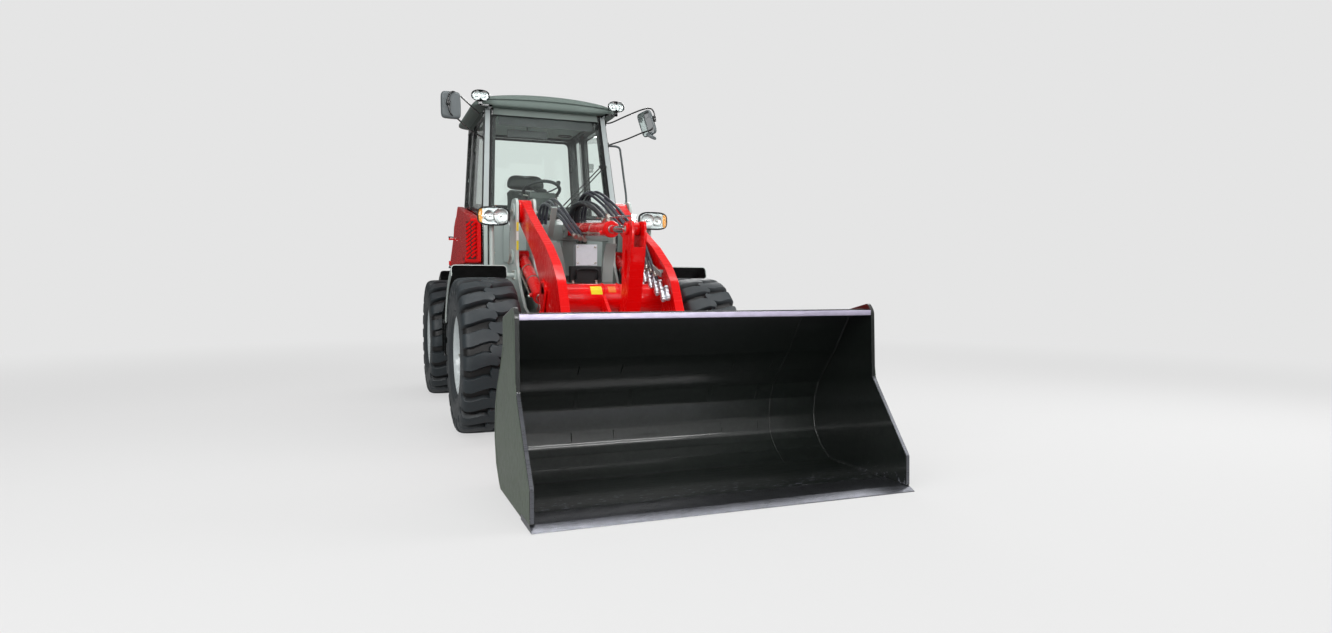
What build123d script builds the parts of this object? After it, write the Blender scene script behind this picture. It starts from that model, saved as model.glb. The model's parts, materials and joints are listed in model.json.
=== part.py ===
"""Compact articulated wheel loader, as separate named pieces in one frame.

Millimetres.  The front of the machine faces -Y, its left side is +X and +Z is up.
The origin is on the ground, on the centre plane, halfway along the machine.
The bucket lies flat on the ground and the front and rear frames are in line.
"""
from build123d import *
from math import cos, hypot, radians, sin
import os

os.makedirs("parts", exist_ok=True)

# ---------------------------------------------------------------- driving dimensions
TYRE_RADIUS = 538
TYRE_WIDTH = 400
RIM_RADIUS = 268
TRACK_HALF = 785
FRONT_AXLE_Y = -500
REAR_AXLE_Y = 1720
PIVOT_Y = 610
REAR_END_Y = 2945

# Pins of the loading arms, each as (Y, Z) in the side view.
ARM_PIN = (40, 1590)
LIFT_BASE_PIN = (110, 1245)
LIFT_ROD_PIN = (-745, 832)
TILT_BASE_PIN = (40, 1463)
LEVER_TOP_PIN = (-1465, 1365)
LEVER_PIN = (-1345, 660)
LEVER_BOTTOM_PIN = (-1510, 310)
COUPLER_TOP_PIN = (-1915, 450)
BUCKET_PIN = (-1830, 280)

ARM_X = 385
ARM_THICKNESS = 60
ARM_BOSS_WIDTH = 100
TORQUE_TUBE = (-930, 930)
TORQUE_TUBE_RADIUS = 100
PIN_RADIUS = 25
PIN_PLAY = 0.05

BUCKET_WIDTH = 1900
BUCKET_SIDE = 20
BUCKET_LIP_Y = -2945
EDGE_REAR_Y = -2715
EDGE_THICKNESS = 25

CAB_HALF = 600
CAB_FLOOR_Z = 1010
CAB_FRONT_Y = 735
CAB_REAR_Y = 2020
CAB_TOP_Z = 2565
ROOF_TOP_Z = 2700
SILL_FRONT_Z = 1600
SILL_REAR_Z = 1800
DOOR_REAR_Y = 1600

HOOD_FRONT_Y = 2055
HOOD_REAR_Y = 2840
HOOD_HALF = 610

SIDES = (-1, 1)


# ---------------------------------------------------------------- shape helpers
def block(x_range, y_range, z_range, mode=Mode.ADD):
    """Add a box given by its limits along each axis."""
    size = [high - low for low, high in (x_range, y_range, z_range)]
    middle = [(low + high) / 2 for low, high in (x_range, y_range, z_range)]
    with Locations(tuple(middle)):
        Box(*size, mode=mode)


def plate(points, x_low, x_high, mode=Mode.ADD):
    """Add a flat plate with a (Y, Z) outline between two X planes."""
    with BuildSketch(Plane.YZ.offset(x_low)) as outline:
        with BuildLine():
            Polyline(*points, close=True)
        make_face()
    extrude(outline.sketch, amount=x_high - x_low, mode=mode)


def panel(points, y_low, y_high, mode=Mode.ADD):
    """Add a flat panel with an (X, Z) outline between two Y planes."""
    with BuildSketch(Plane.XZ.offset(-y_high)) as outline:
        with BuildLine():
            Polyline(*points, close=True)
        make_face()
    extrude(outline.sketch, amount=y_high - y_low, mode=mode)


def disc_x(pin, radius, x_low, x_high, mode=Mode.ADD):
    """Add a cylinder along X round a (Y, Z) point."""
    with BuildSketch(Plane.YZ.offset(x_low)) as disc:
        with Locations(pin):
            Circle(radius)
    extrude(disc.sketch, amount=x_high - x_low, mode=mode)


def disc_z(centre, radius, z_low, z_high, mode=Mode.ADD):
    """Add a cylinder along Z round an (X, Y) point."""
    with BuildSketch(Plane.XY.offset(z_low)) as disc:
        with Locations(centre):
            Circle(radius)
    extrude(disc.sketch, amount=z_high - z_low, mode=mode)


def axis_plane(start, end, x=0):
    """Return the plane at a (Y, Z) start point whose normal points at the end point."""
    direction = (0, end[0] - start[0], end[1] - start[1])
    return Plane(origin=(x, *start), x_dir=(1, 0, 0), z_dir=direction)


def rod_along(start, end, radius, begin, finish, x=0, mode=Mode.ADD):
    """Add a cylinder on the line from start to end, from begin to finish along it."""
    with BuildSketch(axis_plane(start, end, x).offset(begin)) as disc:
        Circle(radius)
    extrude(disc.sketch, amount=finish - begin, mode=mode)


def save(name, part):
    """Label a finished piece and write its file."""
    part.label = name
    export_step(part, f"parts/{name}.step")


# ---------------------------------------------------------------- wheels
# Columns: corner name, centre X, centre Y.
WHEELS = [
    ("front_left", TRACK_HALF, FRONT_AXLE_Y),
    ("front_right", -TRACK_HALF, FRONT_AXLE_Y),
    ("rear_left", TRACK_HALF, REAR_AXLE_Y),
    ("rear_right", -TRACK_HALF, REAR_AXLE_Y),
]
HUB_FACE = 75
DIFFERENTIAL_RADIUS = 150
AXLE_PAD_Z = 640

for corner, wheel_x, wheel_y in WHEELS:
    outward = 1 if wheel_x > 0 else -1
    half = TYRE_WIDTH / 2
    # Columns: distance outward from the wheel's middle plane, radius.
    tyre_section = [
        (-half + 30, RIM_RADIUS + 1),
        (-half, RIM_RADIUS + 90),
        (-half, TYRE_RADIUS - 70),
        (-half + 22, TYRE_RADIUS - 12),
        (-half + 60, TYRE_RADIUS),
        (half - 60, TYRE_RADIUS),
        (half - 22, TYRE_RADIUS - 12),
        (half, TYRE_RADIUS - 70),
        (half, RIM_RADIUS + 90),
        (half - 30, RIM_RADIUS + 1),
    ]
    with BuildPart() as tyre:
        with BuildSketch(Plane(origin=(wheel_x, wheel_y, TYRE_RADIUS), x_dir=(1, 0, 0), z_dir=(0, -1, 0))):
            with BuildLine():
                Polyline(*tyre_section, close=True)
            make_face()
        revolve(axis=Axis((wheel_x, wheel_y, TYRE_RADIUS), (1, 0, 0)))
    save(f"{corner}_tyre", tyre.part)

    # Columns: distance outward from the wheel's middle plane, radius.
    rim_section = [
        (-150, RIM_RADIUS),
        (-165, RIM_RADIUS),
        (-165, RIM_RADIUS - 22),
        (-110, RIM_RADIUS - 40),
        (20, RIM_RADIUS - 48),
        (60, 195),
        (HUB_FACE, 160),
        (HUB_FACE, 60.5),
        (HUB_FACE + 14, 60.5),
        (HUB_FACE + 14, 165),
        (72, 203),
        (36, RIM_RADIUS - 38),
        (110, RIM_RADIUS - 32),
        (165, RIM_RADIUS - 16),
        (165, RIM_RADIUS),
        (150, RIM_RADIUS),
    ]
    with BuildPart() as rim:
        rim_centre = (wheel_x, wheel_y, TYRE_RADIUS)
        rim_plane = Plane(origin=rim_centre, x_dir=(outward, 0, 0), z_dir=(0, -outward, 0))
        with BuildSketch(rim_plane):
            with BuildLine():
                Polyline(*rim_section, close=True)
            make_face()
        revolve(axis=Axis((wheel_x, wheel_y, TYRE_RADIUS), (1, 0, 0)))
    save(f"{corner}_rim", rim.part)


# ---------------------------------------------------------------- axles
def axle(axle_y):
    """Build an axle: differential, tapered beam, planetary hubs and wheel flanges."""
    hub_flange = TRACK_HALF + HUB_FACE - 1
    with BuildPart() as housing:
        disc_x((axle_y, TYRE_RADIUS), DIFFERENTIAL_RADIUS, -90, 90)
        disc_x((axle_y, TYRE_RADIUS), DIFFERENTIAL_RADIUS - 40, -140, 140)
        disc_x((axle_y, TYRE_RADIUS), 78, -470, 470)
        disc_x((axle_y, TYRE_RADIUS), 120, -560, -420)
        disc_x((axle_y, TYRE_RADIUS), 120, 420, 560)
        for side in SIDES:
            near, far = sorted((side * 560, side * hub_flange))
            disc_x((axle_y, TYRE_RADIUS), 140, near, far)
            near, far = sorted((side * hub_flange, side * (hub_flange + 70)))
            disc_x((axle_y, TYRE_RADIUS), 60, near, far)
        for side in SIDES:
            block(sorted((side * 250, side * 330)), (axle_y - 90, axle_y + 90), (TYRE_RADIUS, AXLE_PAD_Z))
    return housing.part


save("front_axle", axle(FRONT_AXLE_Y))
save("rear_axle", axle(REAR_AXLE_Y))

# ---------------------------------------------------------------- front frame
TOWER_INNER_X = (308, 328)
TOWER_OUTER_X = (442, 462)
TOWER_TOP_Z = 1688
BASE_BOTTOM_Z = 700
BASE_TOP_Z = 900

LIFT_EYE = (192, 1462)
LIFT_EYE_RADIUS = 18

# Steering cylinders lie flat beside the pivot: (X, Y) of the base and rod pins and their height.
STEER_BASE = (230, 1030)
STEER_ROD = (190, 440)
STEER_Z = 640

tower_outline = [
    (-60, TOWER_TOP_Z),
    (140, TOWER_TOP_Z),
    (232, 1500),
    (262, 1300),
    (330, BASE_TOP_Z),
    (330, BASE_BOTTOM_Z),
    (-600, BASE_BOTTOM_Z),
    (-600, 770),
    (-330, 860),
    (-150, 1020),
    (-40, 1200),
]

for side, name in ((1, "left"), (-1, "right")):
    near, far = sorted((side * TOWER_INNER_X[0], side * TOWER_OUTER_X[1]))
    with BuildPart() as tower:
        for low, high in (TOWER_INNER_X, TOWER_OUTER_X):
            plate(tower_outline, *sorted((side * low, side * high)))
        for pin in (ARM_PIN, LIFT_BASE_PIN):
            disc_x(pin, PIN_RADIUS, near - 12, far + 12)
        block((near, far), (230, 262), (BASE_BOTTOM_Z + 30.2, 1290))
        block((near, far), (-600, 330), (BASE_BOTTOM_Z, BASE_BOTTOM_Z + 30))
        disc_x(LIFT_EYE, LIFT_EYE_RADIUS, near, far, mode=Mode.SUBTRACT)
    save(f"{name}_tower", tower.part)

base_half = TOWER_INNER_X[0] - 0.2
with BuildPart() as front_frame:
    block((-base_half, base_half), (-620, 330), (BASE_BOTTOM_Z, BASE_BOTTOM_Z + 25))
    block((-base_half, base_half), (305, 330), (BASE_BOTTOM_Z, 1150))
    block((-base_half, base_half), (-600, -575), (BASE_BOTTOM_Z, 880))
    # Ears that carry the tilt cylinder's base pin on a beam between the tower plates.
    block((-base_half, base_half), (90, 170), (1380, 1500))
    for side in SIDES:
        near, far = sorted((side * 48, side * 68))
        plate([(120, 1500), (120, 1400), (10, 1400), (-10, 1463), (10, 1515)], near, far)
    block((-60, 60), (150, 330), (1100, 1420))
    disc_x(TILT_BASE_PIN, PIN_RADIUS, -82, 82)
    for side in SIDES:
        # Seat on the axle's pad.
        pad_y = (FRONT_AXLE_Y - 90, FRONT_AXLE_Y + 90)
        block(sorted((side * 250, side * 330)), pad_y, (AXLE_PAD_Z + 0.2, BASE_BOTTOM_Z - 0.2))
        block(sorted((side * 250, side * base_half)), pad_y, (BASE_BOTTOM_Z - 10, BASE_BOTTOM_Z + 5))
    # Fork of the steering pivot.
    for low, high in ((895, 935), (395, 435)):
        with BuildSketch(Plane.XY.offset(low)):
            with Locations((0, PIVOT_Y)):
                Circle(95)
            with Locations((0, PIVOT_Y - 145)):
                Rectangle(190, 290)
        extrude(amount=high - low)
        disc_z((0, PIVOT_Y), 40 + PIN_PLAY, low, high, mode=Mode.SUBTRACT)
    block((-95, 95), (305, 345), (395, 935))
    block((-240, 240), (285, 330), (395, BASE_BOTTOM_Z))
    for side in SIDES:
        near, far = sorted((side * 215, side * 240))
        plate([(330, BASE_BOTTOM_Z), (330, 395), (-200, 560), (-200, BASE_BOTTOM_Z)], near, far)
    # Wing plates above and below the eyes of the steering cylinders' rods.
    for low, high in ((STEER_Z - 46, STEER_Z - 30), (STEER_Z + 30, STEER_Z + 46)):
        block((-235, 235), (325, STEER_ROD[1] + 35), (low, high))
        for side in SIDES:
            pin_low, pin_high = (low - 14, high) if low < STEER_Z else (low, high + 14)
            disc_z((side * STEER_ROD[0], STEER_ROD[1]), 26, pin_low, pin_high)
save("front_frame", front_frame.part)

# ---------------------------------------------------------------- front fenders and flaps
FENDER_INNER_X = 586
# The front fenders reach past the tyres' outer faces; the rear ones stop short of them.
FRONT_FENDER_OUTER_X = 980
REAR_FENDER_OUTER_X = 840
FENDER_INNER_RADIUS = 640
FENDER_SHEET = 8
FENDER_SKIRT = 74
# Angles above the rear horizon where a fender ends low down and begins above the tyre.
FENDER_ANGLES = (21, 76)


def arched_sheet(centre_y, x_low, x_high, inner, sheet):
    """Add a sheet bent round a wheel between a fender's two angles."""
    start, stop = FENDER_ANGLES
    with BuildSketch(Plane.YZ.offset(x_low)) as sheet_end:
        with BuildLine():
            for radius in (inner, inner + sheet):
                CenterArc((centre_y, TYRE_RADIUS), radius, start, stop - start)
            for angle in (start, stop):
                across, up = cos(radians(angle)), sin(radians(angle))
                radii = (inner, inner + sheet)
                ends = [(centre_y + r * across, TYRE_RADIUS + r * up) for r in radii]
                Line(*ends)
        make_face()
    extrude(sheet_end.sketch, amount=x_high - x_low)


def fender(side, centre_y, outer_x):
    """Add a channel-shaped fender: a curved top with a skirt along each edge."""
    inner_x = FENDER_INNER_X
    near, far = sorted((side * inner_x, side * outer_x))
    arched_sheet(centre_y, near, far, FENDER_INNER_RADIUS, FENDER_SHEET)
    skirt_radius = FENDER_INNER_RADIUS - FENDER_SKIRT
    for x in (inner_x, outer_x - FENDER_SHEET):
        near, far = sorted((side * x, side * (x + FENDER_SHEET)))
        arched_sheet(centre_y, near, far, skirt_radius, FENDER_SKIRT + FENDER_SHEET)


with BuildPart() as front_fenders:
    for side in SIDES:
        fender(side, FRONT_AXLE_Y, FRONT_FENDER_OUTER_X)
        # Bracket from the tower to the fender's inner skirt.
        near, far = sorted((side * (TOWER_OUTER_X[1] + 0.2), side * (FENDER_INNER_X + 2)))
        block((near, far), (-70, -10), (895, 950))
save("front_fenders", front_fenders.part)

# ---------------------------------------------------------------- headlights on stalks
HEADLIGHT = (635, -20, 1540)
STALK_FOOT_Z = 1080

with BuildPart() as headlight_stalks:
    for side in SIDES:
        x = side * HEADLIGHT[0]
        block((x - 20, x + 20), (HEADLIGHT[1] + 30, HEADLIGHT[1] + 60), (STALK_FOOT_Z, HEADLIGHT[2] - 40))
        # Arm that joins the stalk to the tower plate.
        near, far = sorted((side * (TOWER_OUTER_X[1] + 0.2), side * (HEADLIGHT[0] + 20)))
        block((near, far), (HEADLIGHT[1] + 30, HEADLIGHT[1] + 60), (STALK_FOOT_Z, STALK_FOOT_Z + 40))
        y, z = HEADLIGHT[1:]
        block((x - 60, x + 60), (y + 25, y + 60), (z - 45, z + 20))
save("headlight_stalks", headlight_stalks.part)

with BuildPart() as headlights:
    for side in SIDES:
        x = side * HEADLIGHT[0]
        y, z = HEADLIGHT[1:]
        block((x - 122, x + 122), (y - 70, y + 24.8), (z - 72, z + 72))
    fillet(headlights.part.edges().filter_by(Axis.Y), 55)
save("headlights", headlights.part)

# ---------------------------------------------------------------- control valve in the front frame
with BuildPart() as control_valve:
    block((-140, 140), (-330, -130), (BASE_BOTTOM_Z + 25.2, 1030))
    block((-95, 55), (-310, -150), (1030, 1150))
save("control_valve", control_valve.part)

# ---------------------------------------------------------------- loading arms
arm_outline = [
    (60, 1678), (-20, 1662), (-300, 1525), (-560, 1405), (-820, 1290), (-1050, 1155),
    (-1170, 1045), (-1270, 850), (-1400, 640), (-1600, 440), (-1800, 358),
    (-1905, 300), (-1890, 225), (-1800, 203), (-1500, 230), (-1200, 400), (-960, 640),
    (-800, 850), (-640, 1060), (-450, 1230), (-150, 1390), (75, 1505), (120, 1560), (110, 1640),
]
LEVER_GAP = 52

with BuildPart() as loader_arms:
    for side in SIDES:
        middle = side * ARM_X
        plate(arm_outline, middle - ARM_THICKNESS / 2, middle + ARM_THICKNESS / 2)
        for pin, radius in ((ARM_PIN, 90), (BUCKET_PIN, 78)):
            disc_x(pin, radius, middle - ARM_BOSS_WIDTH / 2, middle + ARM_BOSS_WIDTH / 2)
        # Clevis for the lift cylinder's rod, with a notch in the arm between its ears.
        disc_x(LIFT_ROD_PIN, 96, middle - 30, middle + 30, mode=Mode.SUBTRACT)
        for low, high in ((-50, -35), (35, 50)):
            plate(
                [(-690, 800), (-745, 775), (-800, 800), (-900, 980), (-760, 1060), (-690, 860)],
                middle + low,
                middle + high,
            )
            plate([(-900, 980), (-760, 1060), (-720, 960), (-830, 900)], middle + low, middle + high)
        disc_x(LIFT_ROD_PIN, 42, middle - 62, middle - 35)
        disc_x(LIFT_ROD_PIN, 42, middle + 35, middle + 62)
        for low, high in ((-50, -30), (30, 50)):
            block((middle + low, middle + high), (-880, -790), (960, 1040))
    disc_x(TORQUE_TUBE, TORQUE_TUBE_RADIUS, -ARM_X, ARM_X)
    # Lugs that carry the tilt lever.
    for side in SIDES:
        near, far = sorted((side * LEVER_GAP, side * (LEVER_GAP + 22)))
        plate([(-960, 1010), (-1290, 740), (-1392, 700), (-1400, 625), (-1320, 600), (-950, 850)], near, far)
    disc_x(LEVER_PIN, PIN_RADIUS, -LEVER_GAP - 34, LEVER_GAP + 34)
    for side in SIDES:
        middle = side * ARM_X
        for pin in (ARM_PIN, BUCKET_PIN):
            disc_x(pin, PIN_RADIUS + PIN_PLAY, middle - 60, middle + 60, mode=Mode.SUBTRACT)
save("loader_arms", loader_arms.part)

# ---------------------------------------------------------------- tilt lever and link
LEVER_HALF = 46

with BuildPart() as tilt_lever:
    lever_outline = [
        (-1560, 1410), (-1400, 1410), (-1375, 1340), (-1350, 1000), (-1300, 800), (-1285, 640),
        (-1380, 470), (-1455, 290), (-1490, 255), (-1545, 268), (-1562, 320), (-1500, 500),
        (-1425, 660), (-1440, 850), (-1500, 1060), (-1560, 1300),
    ]
    plate(lever_outline, -LEVER_HALF, LEVER_HALF)
    # Slots for the rod eye at the top and for the link at the bottom.
    block((-LEVER_HALF + 14, LEVER_HALF - 14), (-1700, -1300), (1250, 1500), mode=Mode.SUBTRACT)
    block((-LEVER_HALF + 16, LEVER_HALF - 16), (-1700, -1250), (200, 400), mode=Mode.SUBTRACT)
    disc_x(LEVER_PIN, PIN_RADIUS + PIN_PLAY, -LEVER_HALF, LEVER_HALF, mode=Mode.SUBTRACT)
    disc_x(LEVER_TOP_PIN, 36, -LEVER_HALF - 14, -LEVER_HALF + 14)
    disc_x(LEVER_TOP_PIN, 36, LEVER_HALF - 14, LEVER_HALF + 14)
    disc_x(LEVER_BOTTOM_PIN, PIN_RADIUS, -LEVER_HALF - 12, LEVER_HALF + 12)
save("tilt_lever", tilt_lever.part)

with BuildPart() as tilt_link:
    link_length = hypot(COUPLER_TOP_PIN[0] - LEVER_BOTTOM_PIN[0], COUPLER_TOP_PIN[1] - LEVER_BOTTOM_PIN[1])
    with BuildSketch(axis_plane(LEVER_BOTTOM_PIN, COUPLER_TOP_PIN)):
        Rectangle(50, 70)
    extrude(amount=link_length)
    disc_x(LEVER_BOTTOM_PIN, 46, -26, 26)
    disc_x(COUPLER_TOP_PIN, 46, -26, 26)
    disc_x(LEVER_BOTTOM_PIN, PIN_RADIUS + PIN_PLAY, -40, 40, mode=Mode.SUBTRACT)
save("tilt_link", tilt_link.part)

# ---------------------------------------------------------------- quick coupler
COUPLER_EARS = ((ARM_X - 78, ARM_X - 58), (ARM_X + 58, ARM_X + 78))

with BuildPart() as quick_coupler:
    ear_outline = [
        (-1752, 240), (-1752, 330), (-1860, 400), (-1975, 640), (-2010, 640), (-2010, 200), (-1850, 200),
    ]
    for side in SIDES:
        for low, high in COUPLER_EARS:
            plate(ear_outline, *sorted((side * low, side * high)))
        near, far = sorted((side * COUPLER_EARS[0][0], side * COUPLER_EARS[1][1]))
        disc_x(BUCKET_PIN, PIN_RADIUS, near - 12, far + 12)
        # Ears beside the open end of the tilt link.
        ear = [
            (-1855, 420), (-1880, 510), (-1975, 640), (-2010, 640), (-2010, 200), (-1985, 200), (-1975, 330),
        ]
        plate(ear, *sorted((side * 34, side * 54)))
        disc_x(COUPLER_TOP_PIN, 36, *sorted((side * 34, side * 66)))
    outer = COUPLER_EARS[1][1]
    block((-outer, outer), (-2010, -1980), (600, 645))
    block((-outer, outer), (-2010, -1985), (195, 262))
save("quick_coupler", quick_coupler.part)


# ---------------------------------------------------------------- bucket
# The bowl is one sheet with pressed bends, given by its inner and outer face as (Y, Z).
bowl_inner = [
    (-2714.8, 23), (-2221, 23), (-2137, 78), (-2089, 127), (-2058, 170), (-2042, 255),
    (-2055, 364), (-2094, 455), (-2163, 539), (-2263, 650), (-2324, 737), (-2409, 858),
]
bowl_outer = [
    (-2714.8, 9), (-2217, 9), (-2128, 67), (-2078, 118), (-2045, 164), (-2028, 255), (-2041, 368),
    (-2082, 462), (-2152, 548), (-2252, 659), (-2313, 745), (-2398, 866),
]
side_outline = [
    (EDGE_REAR_Y + 0.2, 9), (EDGE_REAR_Y + 0.2, EDGE_THICKNESS + 0.2),
    (BUCKET_LIP_Y + 40, EDGE_THICKNESS + 0.2),
    (-2903, 173), (-2615, 538), (-2602, 870), (-2595, 890), (-2567, 921), (-2290, 865), (-2290, 735),
    (-2215, 628), (-2110, 512), (-2045, 400), (-2022, 240), (-2062, 110), (-2150, 30), (-2190, 9),
]
LIP_Y = -2600
LIP_Z = (858, 887)

with BuildPart() as bucket:
    inner_half = BUCKET_WIDTH / 2 - BUCKET_SIDE
    plate(bowl_inner + bowl_outer[::-1], -inner_half, inner_half)
    for side in SIDES:
        near, far = sorted((side * inner_half, side * BUCKET_WIDTH / 2))
        plate(side_outline, near, far)
    # Box section along the top: lip bar, sloping top sheet and rear sheet.
    block((-inner_half, inner_half), (LIP_Y, LIP_Y + 60), LIP_Z)
    plate([(LIP_Y + 60, 873), (LIP_Y + 60, 887), (-2290, 861), (-2290, 847)], -inner_half, inner_half)
    plate([(-2304, 722), (-2290, 702), (-2290, 861), (-2304, 861)], -inner_half, inner_half)
    # Seats behind the bucket that the coupler holds.
    seat_outline = [
        (-2012, 640), (-2240, 640), (-2108, 480), (-2046, 340), (-2034, 250), (-2048, 190), (-2012, 190),
    ]
    for side in SIDES:
        for x in (-150, 150):
            middle = side * ARM_X + x
            plate(seat_outline, middle - 12, middle + 12)
save("bucket", bucket.part)

with BuildPart() as cutting_edge:
    edge_outline = [
        (BUCKET_LIP_Y, 0), (BUCKET_LIP_Y + 50, EDGE_THICKNESS),
        (EDGE_REAR_Y, EDGE_THICKNESS), (EDGE_REAR_Y, 0),
    ]
    plate(edge_outline, -BUCKET_WIDTH / 2, BUCKET_WIDTH / 2)
save("cutting_edge", cutting_edge.part)


# ---------------------------------------------------------------- cylinders
def barrel(base, rod_end, x, radius, base_gap, length, eye_radius, eye_half):
    """Add a cylinder barrel with its base eye, gland ring and hollow bore."""
    disc_x(base, eye_radius, x - eye_half, x + eye_half)
    rod_along(base, rod_end, radius, base_gap, length, x)
    rod_along(base, rod_end, radius + 8, length - 50, length, x)
    rod_along(base, rod_end, radius - 9, base_gap + 60, length, x, mode=Mode.SUBTRACT)
    disc_x(base, PIN_RADIUS + PIN_PLAY, x - eye_half, x + eye_half, mode=Mode.SUBTRACT)


def rod(base, rod_end, x, radius, barrel_radius, start, eye_radius, eye_half):
    """Add a piston, its rod and the eye at the rod's end."""
    length = hypot(rod_end[0] - base[0], rod_end[1] - base[1])
    rod_along(base, rod_end, barrel_radius - 12, start, start + 40, x)
    rod_along(base, rod_end, radius, start, length, x)
    disc_x(rod_end, eye_radius, x - eye_half, x + eye_half)


with BuildPart() as lift_barrels:
    for side in SIDES:
        barrel(LIFT_BASE_PIN, LIFT_ROD_PIN, side * ARM_X, 45, 30, 720, 50, 45)
save("lift_barrels", lift_barrels.part)

with BuildPart() as lift_rods:
    for side in SIDES:
        rod(LIFT_BASE_PIN, LIFT_ROD_PIN, side * ARM_X, 27, 45, 110, 42, 29)
save("lift_rods", lift_rods.part)

with BuildPart() as tilt_barrel:
    barrel(TILT_BASE_PIN, LEVER_TOP_PIN, 0, 48, 30, 1050, 50, 42)
save("tilt_barrel", tilt_barrel.part)

with BuildPart() as tilt_rod:
    rod(TILT_BASE_PIN, LEVER_TOP_PIN, 0, 24, 48, 640, 40, 26)
save("tilt_rod", tilt_rod.part)

STEER_LENGTH = hypot(STEER_ROD[0] - STEER_BASE[0], STEER_ROD[1] - STEER_BASE[1])
STEER_BARREL = 355
STEER_PISTON = 222
for side, name in ((1, "left"), (-1, "right")):
    base_point = (side * STEER_BASE[0], STEER_BASE[1], STEER_Z)
    heading = (side * (STEER_ROD[0] - STEER_BASE[0]), STEER_ROD[1] - STEER_BASE[1], 0)
    steer_plane = Plane(origin=base_point, x_dir=(0, 0, 1), z_dir=heading)
    with BuildPart() as steer_barrel:
        disc_z(base_point[:2], 34, STEER_Z - 28, STEER_Z + 28)
        with BuildSketch(steer_plane.offset(20)):
            Circle(34)
        extrude(amount=STEER_BARREL - 20)
        with BuildSketch(steer_plane.offset(50)):
            Circle(27)
        extrude(amount=STEER_BARREL - 50, mode=Mode.SUBTRACT)
        disc_z(base_point[:2], 15 + PIN_PLAY, STEER_Z - 28, STEER_Z + 28, mode=Mode.SUBTRACT)
    save(f"steer_barrel_{name}", steer_barrel.part)
    with BuildPart() as steer_rod:
        with BuildSketch(steer_plane.offset(STEER_PISTON)):
            Circle(24)
        extrude(amount=24)
        with BuildSketch(steer_plane.offset(STEER_PISTON)):
            Circle(16)
        extrude(amount=STEER_LENGTH - STEER_PISTON)
        disc_z((side * STEER_ROD[0], STEER_ROD[1]), 30, STEER_Z - 25, STEER_Z + 25)
    save(f"steer_rod_{name}", steer_rod.part)

# ---------------------------------------------------------------- rear frame
rail_outline = [
    (790, 420), (790, 960), (2700, 960), (2700, 600), (2000, 560),
    (1880, 662), (1560, 662), (1440, 540), (1250, 420),
]
TIE_DOWN = (1150, 520)
TIE_DOWN_RADIUS = 20

with BuildPart() as rear_frame:
    for side in SIDES:
        near, far = sorted((side * 290, side * 320))
        plate(rail_outline, near, far)
    block((-320, 320), (790, 815), (420, 960))
    block((-290, 290), (1380, 1405), (700, 960))
    block((-290, 290), (2250, 2500), (600, 640))
    block((-290, 290), (2675, 2700), (600, 960))
    block((-290, 290), (815, 1250), (420, 440))
    # Nose plates of the steering pivot with their pins.
    for low, high, pin_low, pin_high in ((850, 890, 890, 945), (440, 480, 385, 440)):
        with BuildSketch(Plane.XY.offset(low)):
            with Locations((0, PIVOT_Y)):
                Circle(95)
            with Locations((0, PIVOT_Y + 100)):
                Rectangle(190, 200)
        extrude(amount=high - low)
        disc_z((0, PIVOT_Y), 40, pin_low, pin_high)
    for side in SIDES:
        # Seat on the axle's pad.
        block(sorted((side * 250, side * 330)), (REAR_AXLE_Y - 90, REAR_AXLE_Y + 90), (AXLE_PAD_Z + 0.2, 690))
        # Pin of the steering cylinder with its two ears.
        for low, high in ((STEER_Z - 54, STEER_Z - 38), (STEER_Z + 38, STEER_Z + 54)):
            block(sorted((side * 195, side * 290)), (STEER_BASE[1] - 40, STEER_BASE[1] + 40), (low, high))
        disc_z((side * STEER_BASE[0], STEER_BASE[1]), 15, STEER_Z - 54, STEER_Z + 54)
        # Window in the front plate through which the steering cylinder passes.
        block(sorted((side * 112, side * 290)), (780, 820), (STEER_Z - 62, STEER_Z + 62), mode=Mode.SUBTRACT)
        disc_x(TIE_DOWN, TIE_DOWN_RADIUS, *sorted((side * 290, side * 320)), mode=Mode.SUBTRACT)
save("rear_frame", rear_frame.part)

TOW_PIN = (0, 2905)
TOW_PIN_RADIUS = 16

with BuildPart() as counterweight:
    counter_outline = [
        (2520, 620), (2520, 1130), (2842, 1160), (2900, 1110), (REAR_END_Y, 900), (REAR_END_Y, 620),
    ]
    plate(counter_outline, -620, 620)
    block((-325, 325), (2510, 2705), (550, 965), mode=Mode.SUBTRACT)
    block((-325, 325), (2500, 2760), (960, 1200), mode=Mode.SUBTRACT)
    # Towing jaw with its upright pin hole.
    block((-60, 60), (2840, REAR_END_Y + 10), (660, 760), mode=Mode.SUBTRACT)
    disc_z(TOW_PIN, TOW_PIN_RADIUS, 600, 820, mode=Mode.SUBTRACT)
save("counterweight", counterweight.part)

with BuildPart() as engine_block:
    block((-230, 230), (2120, 2600), (700, 1420))
    # Sump and mounts down to the frame's cross plate.
    block((-180, 180), (2270, 2480), (640.2, 700))
save("engine_block", engine_block.part)

with BuildPart() as radiator:
    block((-480, 480), (2660, 2750), (1170, 1640))
    for side in SIDES:
        block(sorted((side * 240, side * 280)), (2610, 2660), (980, 1300))
    block((-300, 300), (2610, 2660), (962, 1010))
save("radiator", radiator.part)

# ---------------------------------------------------------------- hood
HOOD_TOP_FRONT_Z = 1800
HOOD_TOP_REAR_Z = 1680
HOOD_LOW_Z = 1165
HOOD_SHEET = 12
HOOD_HINGE = (2040, 1785)
HOOD_KNUCKLE_X = (380, 420)
# Each hood hinge has an ear on the cab at each side of the hood's knuckle.
HOOD_EARS_X = [(363, 375), (425, 437)]
HOOD_EAR = 8
HINGE_PIN_RADIUS = 5

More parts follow.
